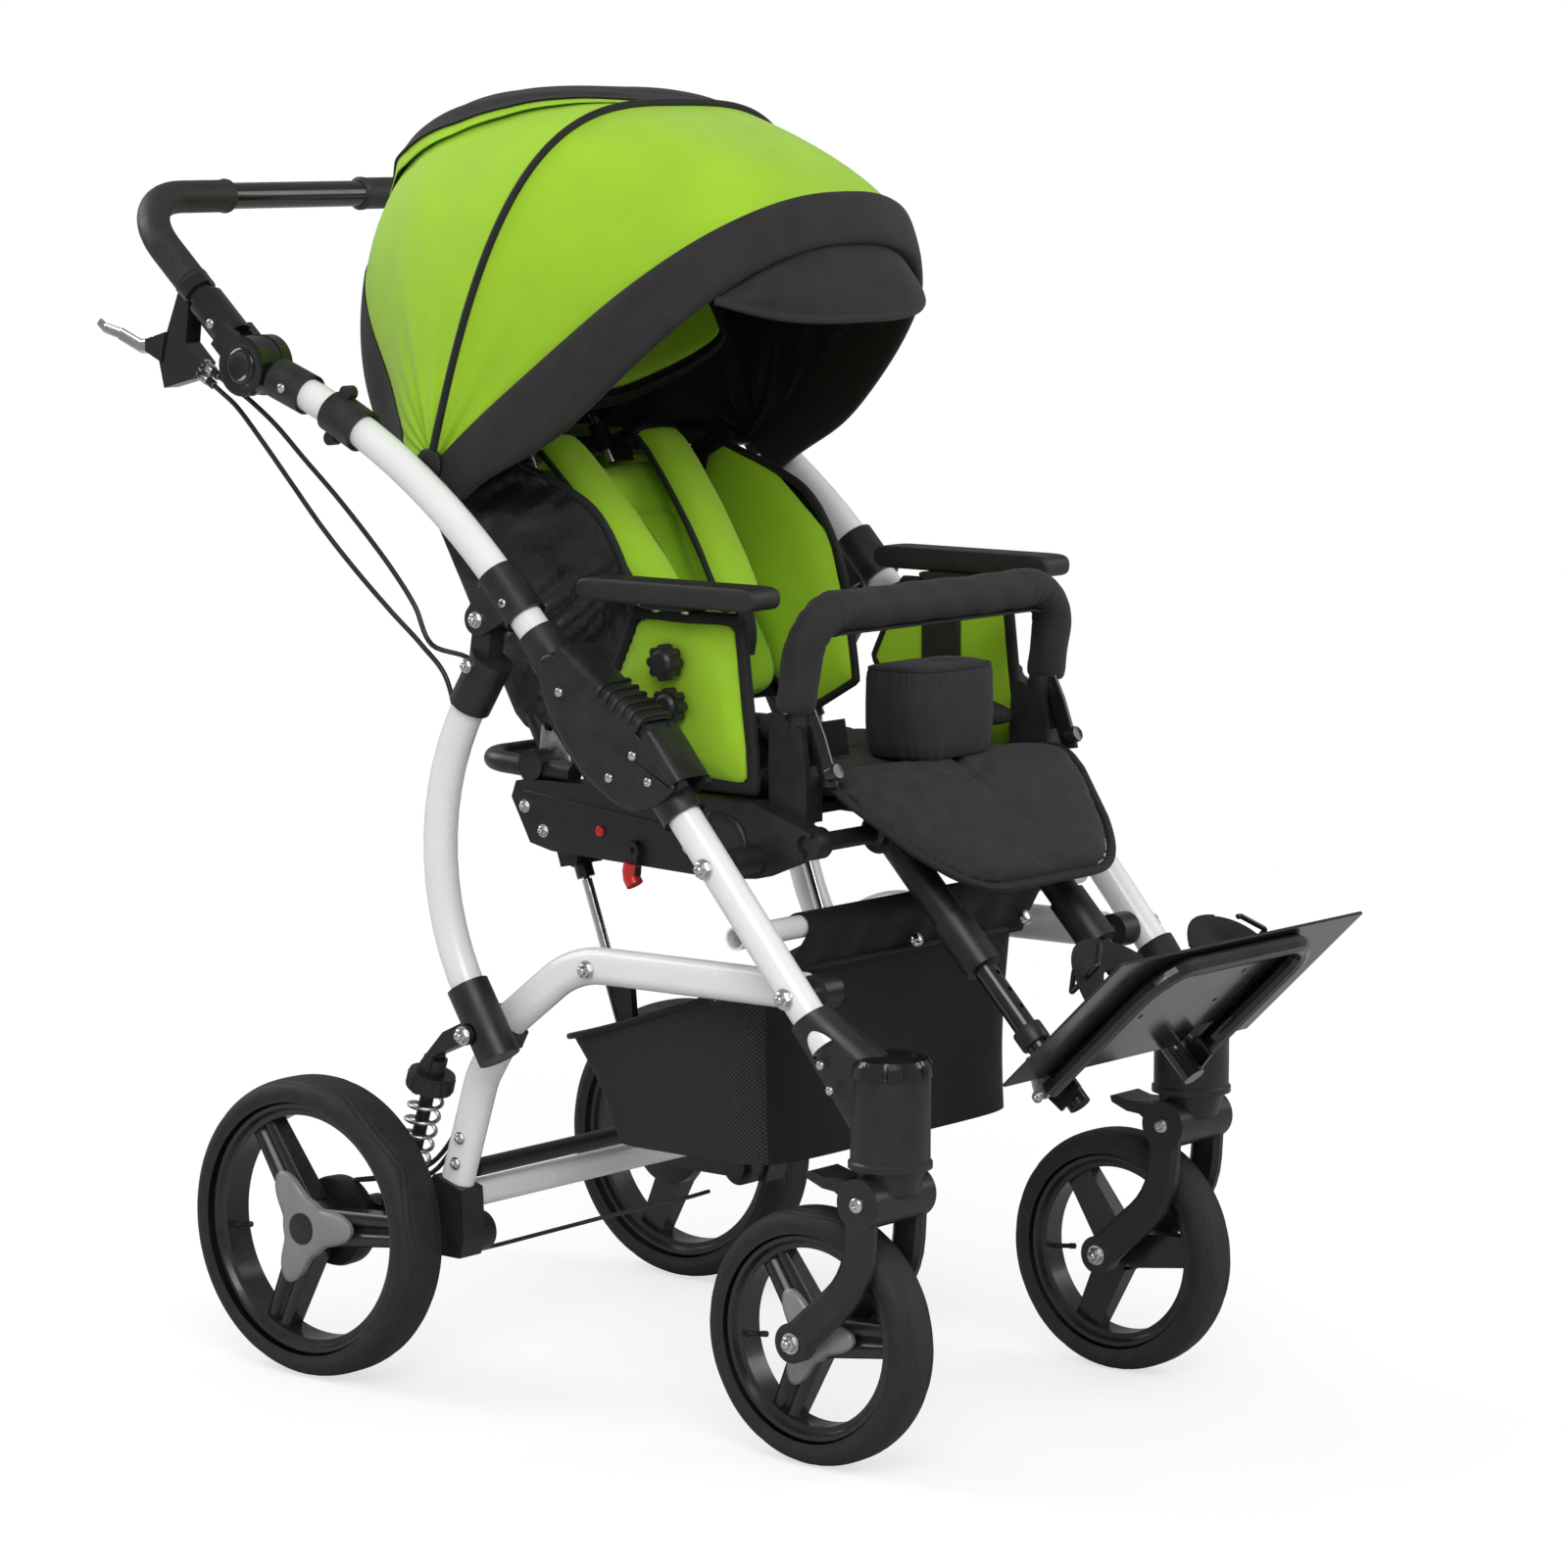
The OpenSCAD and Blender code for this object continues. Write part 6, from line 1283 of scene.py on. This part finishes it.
u, v, w = pillow(0.24, 0.3, 24, 120)
head_front = make_piece("headrest_front", [on_head(u * 0.97, 0.14 + 0.82 * v, 23 + 11 * w)], lime_cloth,
                        "head_support", angle=80)
head_back = make_piece("headrest_back", [on_head(u, v, 11 + 10.5 * w)], black_cloth, "head_support",
                       ["headrest"], angle=80)
around = np.linspace(0, 2 * np.pi, 180)
rim = on_head(0.985 * power(np.cos(around), 0.24), 0.05 + 0.93 * power(np.sin(around), 0.24), 20)
make_piece("headrest_binding",
           [(carried(rim, round_profile(3.2, 12), np.array([0.0, *back_out])), True, True)], piping_black,
           "head_support")
for side, word in ((-1, "right"), (1, "left")):
    make_piece("headrest_stem_" + word,
               [turned([(0, 0.1), (0.4, 4.6), (1.5, 4.9), (98, 4.9), (98, 0.1)],
                       on_back(side * 60, 302, 18), (0, *back_along), 24)],
               zinc, "head_support")

# Canopy: lime canvas stretched over three bows that turn on the backrest, black lined. The rear half
# runs from the back to the middle bow, the front half from the middle to the front bow.
pivot_y, pivot_z = 180.0, 910.0
bow_knots = np.array([(-8, 182, 188, 0.66), (8, 200, 192, 0.66), (24, 238, 195, 0.66), (40, 282, 200, 0.66),
                      (58, 320, 222, 0.65), (76, 350, 243, 0.64),
                      (92, 357, 246, 0.63), (107, 361, 246, 0.625), (118, 371, 244, 0.66),
                      (129, 387, 236, 0.73), (140.2, 407, 223, 0.8)], float)
bow_fine = eased(bow_knots, 10)


def on_canopy(a, f, out=0.0):
    """Place on the canopy: on the hoop at a degrees round the pivot, x = wide * cos^e(f) and
    r = high * sin^e(f), with wide, high and e read from the bows' curve; out is the height above it.
    Close to the pivots the width grows to 238 mm, because all the cloth is gathered there."""
    high, wide, e = (np.interp(a, bow_fine[:, 0], bow_fine[:, k]) for k in (1, 2, 3))
    wide = wide + np.maximum(0, 238 - wide) * np.exp(-((90 - np.abs(f - 90)) / 13) ** 2)
    f, a = np.radians(f), np.radians(a)
    x, r = (wide + out) * power(np.cos(f), e), (high + out) * np.abs(np.sin(f)) ** e
    return np.stack(np.broadcast_arrays(x, pivot_y + r * np.cos(a), pivot_z + r * np.sin(a)), axis=-1)


def cloth_shell(outer, inner):
    """A thin closed shell between two grids of the same size, each row closed round its edge."""
    return np.concatenate([outer, inner[:, ::-1]], axis=1)


def hoop_spread(count, least):
    """Places along a hoop in degrees, closer together towards the two ends."""
    t = np.linspace(-1, 1, count)
    return 90 - (90 - least) * np.sign(t) * np.abs(t) ** 0.85


lining_black = weave(drift(finish("lining", (0.011, 0.011, 0.012), 0.55, sheen=0.15, spec=0.4), 25, 0.2,
                           0.15), 0.001, 0.0004)
f = hoop_spread(160, 0.1)[None, :]
a_rear, a_front = np.linspace(-6, 107, 110)[:, None], np.linspace(107, 140.2, 44)[:, None]
a_lining = np.linspace(107, 143.5, 44)[:, None]


def slack(a, f):
    """The cloth's play between the bows in mm: it sinks a little midway and puckers near the pivots."""
    between = (np.sin(np.pi * np.clip((a - 76) / 31, 0, 1)) * 1.5
               + np.sin(np.pi * np.clip((a - 107) / 33.2, 0, 1)) * 4.0)
    low = np.exp(-((90 - np.abs(f - 90)) / 16) ** 2)
    return (-between * np.sin(np.radians(f)) + low * 1.2 * np.sin(a * 0.42 + 0.6) + 0.8
            * np.sin(0.16 * a + 0.07 * f) * np.sin(np.radians(f)))


for name, a, bodies, ends in (("canopy_rear_cloth", a_rear, ("backrest", "canopy_middle"), (66, 106)),
                              ("canopy_front_cloth", a_front, ("canopy_middle", "canopy_fore"),
                               (108, 139))):
    outer = on_canopy(a, f, slack(a, f))
    ripple = 2.6 * np.sin(0.23 * a + 0.35 * f) * np.sin(0.11 * f + 1.0) - 1.5
    a_in = a_lining if "front" in name else a
    lining_outer = on_canopy(a_in, f, slack(a_in, f) - 4.5 + ripple)
    cloth = make_piece(name, [cloth_shell(outer, on_canopy(a, f, slack(a, f) - 1.2))], lime_cloth, None,
                       angle=70)
    inside = make_piece(name.replace("cloth", "lining"),
                        [cloth_shell(lining_outer, on_canopy(a_in, f, slack(a_in, f) - 5.5 + ripple))],
                        lining_black, None,
                        angle=70)
    for piece, grid in ((cloth, outer), (inside, lining_outer)):
        spots = [tuple(on_canopy(float(k), 90.0) / 1000) for k in ends]
        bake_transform(piece)
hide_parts("canopy_rear")
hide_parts("canopy_mid")

# Rear panel of the canopy: black canvas sewn over the lower half of the back, bound at its edge, and
# the lime tail that joins it to the top of the back.
f_panel = hoop_spread(130, 8.0)
edge_a = 45 - 11 * (np.clip(np.abs(f_panel - 90) - 40, 0, 42) / 40) ** 2
share = np.linspace(0, 1, 50)[:, None]
panel = on_canopy(6 + (edge_a - 6) * share, f_panel[None, :],
                  1.4 + slack(6 + (edge_a - 6) * share, f_panel[None, :]))
panel_in = on_canopy(6 + (edge_a - 6) * share, f_panel[None, :],
                     0.3 + slack(6 + (edge_a - 6) * share, f_panel[None, :]))
rear_panel = make_piece("canopy_rear_panel", [cloth_shell(panel, panel_in)], black_cloth, "backrest",
                        angle=70)
low_edge = on_canopy(6.0, f_panel, 2.0)
make_piece("canopy_low_binding", [carried(low_edge, round_profile(3.0, 12), (0, -0.3, 1))], piping_black,
           "backrest")
f_tail = np.linspace(14, 166, 90)
tail_low = on_back(170 * np.cos(np.radians(f_tail)) / np.cos(np.radians(14)), 342, -6)
share = np.linspace(0, 1, 24)[:, None, None]
tail = (tail_low[None] * (1 - share) + on_canopy(6.0, f_tail, -1.5)[None] * share - np.sin(np.pi * share)
        * np.array([0, 0, 3.0]))
tail_start = on_back(tail_low[None, :, 0], np.linspace(286, 338, 16)[:, None], -13.0)
tail = np.concatenate([tail_start, tail])
tail_cloth = make_piece("canopy_tail", [cloth_shell(tail, tail + (0, 0.7, -1.0))], lime_cloth, "backrest",
                        angle=70)

# Piping on the middle bow: a black cord sewn in the seam.
bow = on_canopy(107.0, hoop_spread(180, 0.4), 1.5)
make_piece("bow_piping", [carried(bow, round_profile(4.0, 14), (0, 1, 0.3))], piping_black, "canopy_middle")

# Window cover: a raised black flap on the crown behind the middle bow, with a lime lip under its edge.
a_flap, f_flap = np.linspace(62, 105, 40)[:, None], np.linspace(0, 1, 70)[None, :]
crown = (np.sin(np.pi * np.clip((105 - a_flap) / 52, 0, 1)) ** 0.7
         * (0.5 + 0.5 * np.clip(f_flap * 1.4, 0, 1)))
tuck = np.clip(f_flap * 8, 0, 1) * np.clip((105 - a_flap) / 5, 0, 1) * np.clip((a_flap - 62) / 6, 0, 1)
lift = 2.2 + (6 + 7 * np.clip((84 - a_flap) / 14, 0, 1)) * crown * tuck + 0.8 * np.sin(32 * f_flap) * crown
edge = np.interp(a_flap, (62, 72, 83, 92, 99, 105), (121, 125, 121, 114, 105, 93))
f_trim = 60 + (edge - 60) * f_flap
flap_top, flap_low = on_canopy(a_flap, f_trim, lift), on_canopy(a_flap, f_trim, lift - 1.8)
window_flap = make_piece("window_flap", [cloth_shell(flap_top, flap_low)], black_cloth, None,
                         angle=70)
reach = np.linspace(0, 1, 24)[None, :]
f_lip = edge - 13 + 16 * reach
lip_out = (1.2 + (lift[:, -1:] - 3.2) * np.clip(reach * 1.5, 0, 1)
           * (1 - 0.5 * np.clip((reach - 0.75) * 4, 0, 1)))
window_lip = make_piece("window_lip",
                        [cloth_shell(on_canopy(a_flap, f_lip, lip_out),
                                     on_canopy(a_flap, f_lip, lip_out - 1.0))], lime_cloth, None,
                        angle=70)
for piece, grid in ((window_flap, flap_top), (window_lip, on_canopy(a_flap, f_lip, lip_out))):
    tuple(on_canopy(66.0, 90.0) / 1000)
    tuple(on_canopy(106.0, 90.0) / 1000)
    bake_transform(piece)

# Hem and visor: a padded charcoal band round the front bow, and a stitched visor that hangs inside it.
f_hem = hoop_spread(170, 0.3)
upper_edge = on_canopy(140.2, f_hem, 0.5)
top_share = np.sin(np.radians(f_hem)) ** 2
band = ((70 - 22 * top_share - 23 * np.exp(-((90 - np.abs(f_hem - 90)) / 9) ** 2))[:, None]
        * np.stack([np.zeros(170), -0.640 + 0.384 * top_share, -0.768 - 0.199 * top_share], axis=-1))
along = np.gradient(upper_edge, axis=0)
face = np.cross(along, band)
face /= np.linalg.norm(face, axis=1, keepdims=True)
face *= np.sign((face * (upper_edge - (0, 160, 880))).sum(axis=1, keepdims=True))
turn = np.linspace(0, 2 * np.pi, 40, endpoint=False)
across, thick = 0.5 - 0.53 * power(np.cos(turn), 0.8), 9.0 * power(np.sin(turn), 0.7)
puff = 1 + 0.1 * np.sin(f_hem * 0.31)[:, None] * np.exp(-((f_hem - 90) / 60) ** 4)[:, None]
roll = 5.0 * np.sin(np.radians(2 * np.abs(90 - f_hem))) ** 2
upper_edge = upper_edge + face * roll[:, None]
hem_grid = (upper_edge[:, None] + band[:, None] * across[None, :, None] + face[:, None]
            * (thick[None, :] * puff)[..., None])
hem = make_piece("canopy_hem", [hem_grid], charcoal_twill, "canopy_fore",
                 ["canopy_front"], angle=75)
f_visor = np.linspace(47, 133, 100)
upper_edge = on_canopy(140.2, f_visor, -7)
top_share = np.sin(np.radians(f_visor)) ** 2
start = (upper_edge + (52 - 20 * top_share)[:, None]
         * np.stack([np.zeros(100), -0.640 + 0.384 * top_share, -0.768 - 0.199 * top_share], axis=-1))
middle = np.clip((top_share - 0.48) / 0.52, 0, 1)
bottom = np.column_stack([start[:, 0] * 0.985, -84 - 72 * middle ** 0.55, 1052 + 24 * (1 - middle) ** 1.5])
share = np.linspace(0, 1, 40)[:, None, None]
bulge = np.sin(np.pi * share) * np.array([0, -9.0, 0])
dent = ((2.0 * np.sin(share * 5 + f_visor[None, :, None] * 0.12) * np.sin(np.pi * share))
        * np.array([0, 1.0, 0.2]))
visor_grid = start[None] * (1 - share) + bottom[None] * share + bulge + dent
visor = make_piece("canopy_visor", [cloth_shell(visor_grid, visor_grid + (0, 1.6, 0.2))], charcoal_twill,
                   "canopy_fore", angle=70)
make_piece("visor_edge", [carried(bottom + (0, 0.8, 0), oval_profile(5.0, 9.0, 14), (0, 1, 0))],
           charcoal_twill, "canopy_fore")
for side, word in ((-1, "right"), (1, "left")):
    make_piece("canopy_pivot_cap_" + word,
               [turned([(-3, 0.1), (-3, 15), (-1, 16), (3, 16), (5, 13), (6, 0.1)],
                       (side * 247, pivot_y, pivot_z), (side, 0, 0), 40)],
               satin_black, "canopy_fore")

# Basket: a sagging bag of black canvas under the seat, hung on the lower arms, with net sides and a
# bound rim. Its front goes up over the cross tube and is closed there by two press studs.
net = finish("basket_net", (0.035, 0.035, 0.036), 0.65, spec=0.35)
tree = net.node_tree
where, turn_net = tree.nodes.new("ShaderNodeTexCoord"), tree.nodes.new("ShaderNodeMapping")
turn_net.inputs["Rotation"].default_value = (0.785, 0, 0)
tree.links.new(where.outputs["Object"], turn_net.inputs["Vector"])
threads = []
for way in ("Y", "Z"):
    wave = tree.nodes.new("ShaderNodeTexWave")
    wave.bands_direction = way
    wave.inputs["Scale"].default_value = 105.0
    tree.links.new(turn_net.outputs["Vector"], wave.inputs["Vector"])
    cut = tree.nodes.new("ShaderNodeMath")
    cut.operation = "GREATER_THAN"
    cut.inputs[1].default_value = 0.6
    tree.links.new(wave.outputs["Fac"], cut.inputs[0])
    threads.append(cut.outputs[0])
both = tree.nodes.new("ShaderNodeMath")
both.operation = "MAXIMUM"
tree.links.new(threads[0], both.inputs[0])
tree.links.new(threads[1], both.inputs[1])
tree.links.new(both.outputs[0], tree.nodes["Principled BSDF"].inputs["Alpha"])


def on_basket(turn, t, inset=0.0):
    """Place on the bag: turn round it from the left side, t from the rim (0) to the floor (1)."""
    x_half, y_mid, y_half = 207 - 6 * t - inset, -73 - 26 * t, 138.5 - 32 * t - inset
    sag = 4 * np.sin(np.pi * np.clip(t, 0, 1))
    x, y = (x_half - sag * 0.5) * power(np.cos(turn), 0.3), y_mid + (y_half - sag) * power(np.sin(turn),
            0.3)
    rim_z = 446 - (y + 212) / 278 * 94 - 5 * np.abs(np.cos(turn)) ** 4 * np.cos((y + 73) / 139 * 1.5)
    return np.stack([x, y, rim_z + (259.5 - rim_z) * t ** 0.92], axis=-1)


turn = np.linspace(0, 2 * np.pi, 161)[None, :]
t = np.linspace(0, 1, 40)[:, None]
wall, wall_in = on_basket(turn, t), on_basket(turn, t, 1.6)
depth = np.linspace(1, 0.02, 26)[:, None, None]
centre = np.array([0, -99, 0])
floor, floor_in = wall[-1:] * depth + centre * (1 - depth), wall_in[-1:] * depth + centre * (1 - depth)
floor[..., 2] = 259.5 - 0.6 * (1 - depth[..., 0] ** 2)
floor_in[..., 2] = floor[..., 2] + 1.6
front, rear = slice(98, 143), slice(18, 63)
front_bag = make_piece("basket_front", [cloth_shell(wall[:, front], wall_in[:, front])], black_cloth,
                       "lower_frame", ["basket"], angle=70)
rear_bag = make_piece("basket_rear", [cloth_shell(wall[:, rear], wall_in[:, rear])], black_cloth,
                      "lower_frame", angle=70)
floor_both = np.concatenate([floor, floor_in[::-1], floor[:1]])[:, :-1]
floor_bag = make_piece("basket_floor", [(floor_both, True, False)], black_cloth, "lower_frame",
                       angle=70)
left_wall = np.concatenate([wall[:, 142:160], wall[:, 0:19]], axis=1)
left_in = np.concatenate([wall_in[:, 142:160], wall_in[:, 0:19]], axis=1)
net_left = make_piece("basket_net_left", [cloth_shell(left_wall, left_in)], net, "lower_frame",
                      angle=70)
net_right = make_piece("basket_net_right", [cloth_shell(wall[:, 62:99], wall_in[:, 62:99])], net,
                       "lower_frame", angle=70)
rim_line = on_basket(np.linspace(0, 2 * np.pi, 200), np.zeros(200), 0.8)
make_piece("basket_rim", [(carried(rim_line, oval_profile(6.0, 16.0, 18), (0, 0.32, 1)), True, True)],
           piping_black, "lower_frame")
x, t = np.meshgrid(np.linspace(-178, 188, 60), np.linspace(0, 1, 40), indexing="ij")
climb = eased(np.array([(-211, 440), (-216, 455), (-228, 476), (-235, 488), (-233, 499), (-222, 503.5),
                        (-211, 498), (-209, 489)], float), 12)
y, z = (np.interp(t, np.linspace(0, 1, len(climb)), climb[:, k]) for k in (0, 1))
wrinkle = 1.6 * np.sin(x * 0.11 + 3 * t) * np.sin(np.pi * np.clip(t * 2, 0, 1))
hem_out = np.stack([x, y - wrinkle * (t < 0.5) - 1.0, z], axis=-1)
front_hem = make_piece("basket_front_hem", [cloth_shell(hem_out, hem_out + (0, 1.3, -0.4))], black_cloth,
                       None, angle=70)
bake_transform(front_hem)
make_piece("basket_studs", [turned([(-2, 0.1), (-2, 8.6), (1.0, 8.6), (2.8, 7.4), (4.0, 4.2), (4.4, 0.1)],
                                   (x_stud, -223, 457), (0, -0.86, 0.51), 32) for x_stud in (2, 178)],
           polished, "lower_frame")
hook = side_path(-150, [(-213, 440), (-219, 434), (-220, 424), (-216, 415)])
make_piece("basket_tab", [carried(hook, oval_profile(3.0, 22.0, 18), (0, 1, 0.3))], satin_black,
           "lower_frame")

# Footrest: two hangers that tilt on the seat, sliding tubes, a glossy folded plate with a tube rim,
# and two webbing straps over the feet, each closed by a plastic buckle. Bolted zinc plates hold it.
leg_way, leg_over = np.array([-0.69214, -0.72176]), np.array([-0.72176, 0.69214])
leg_hinge, leg_x, plate_s, strap_n = (-262, 575), 92, 293.4, 114


def on_leg(x, s, n):
    """Place on the footrest: across, distance down from its hinge, height to the front."""
    x, s, n = np.broadcast_arrays(x, s, n)
    return np.stack([x, leg_hinge[0] + s * leg_way[0] + n * leg_over[0],
                     leg_hinge[1] + s * leg_way[1] + n * leg_over[1]], axis=-1)


paint_node("legrest_hangers", satin_black)
for side, word in ((-1, "right"), (1, "left")):
    arc = np.linspace(0.02, np.pi - 0.02, 60)
    lean = 1 + 0.05 * np.cos(2 * arc)
    run = on_leg(side * leg_x + 44.5 * np.cos(arc) * lean, plate_s - 56 * np.sin(arc) ** 0.8,
                 strap_n + 2 * np.sin(3 * arc))
    strap = make_piece("foot_strap_" + word,
                       [carried(run, oval_profile(2.6, 35.0, 20), np.array([0, *leg_over]))], black_cloth,
                       "footrest", ["foot_straps"], angle=60)
    lap = slice(24, 50)
    make_piece("foot_strap_lap_" + word,
               [carried(run[lap] + (run[lap] - on_leg(side * leg_x, plate_s, strap_n)) * 0.06,
                        oval_profile(2.2, 32.0, 20), np.array([0, *leg_over]))],
               black_cloth, "footrest", angle=60)
    clasp = rounded_path(on_leg(side * leg_x + side * np.array([20, 44, 44, 20, 20]),
                                plate_s - np.array([55, 34, 34, 55, 55]), np.array([94, 94, 134, 134, 94])),
                         3.0, 6)
    make_piece("foot_buckle_" + word,
               [carried(clasp[:-1], round_profile(2.6, 12), np.array([side * 0.62, 0.54, 0.57]))],
               gloss_black, "footrest")
    corners = on_leg(0, np.array([258, 306, 307]), np.array([-4, 22, -31]))[:, 1:]
    plate = moulded_plate(corners, 109.4, 111.4, corners.mean(axis=0)) * (side, 1, 1)
    make_piece("hinge_plate_" + word, [plate[:, ::side]], zinc, "footrest")
    make_piece("footrest_bolts_" + word,
               sum((nut_and_washer(on_leg(side * 111.4, s, n), (side, 0, 0), 4.6)
                    for s, n in ((270, -4), (298, 10), (298, -20))), []),
               zinc, "footrest")
    make_piece("legrest_clip_" + word,
               [turned([(-9, 11.4), (-9, 14.5), (-7.5, 15), (7.5, 15), (9, 14.5), (9, 11.4), (-9, 11.4)],
                       on_leg(side * leg_x, 246, 0), (0, *leg_way), 36)],
               satin_black, "legrest_extension")
    make_piece("legrest_lever_" + word,
               [turned([(0, 0.1), (0, 13), (2, 14), (7, 14), (9.5, 11), (10, 0.1)],
                       (side * 108.5, *leg_hinge), (side, 0, 0), 40)],
               satin_black, "legrest")
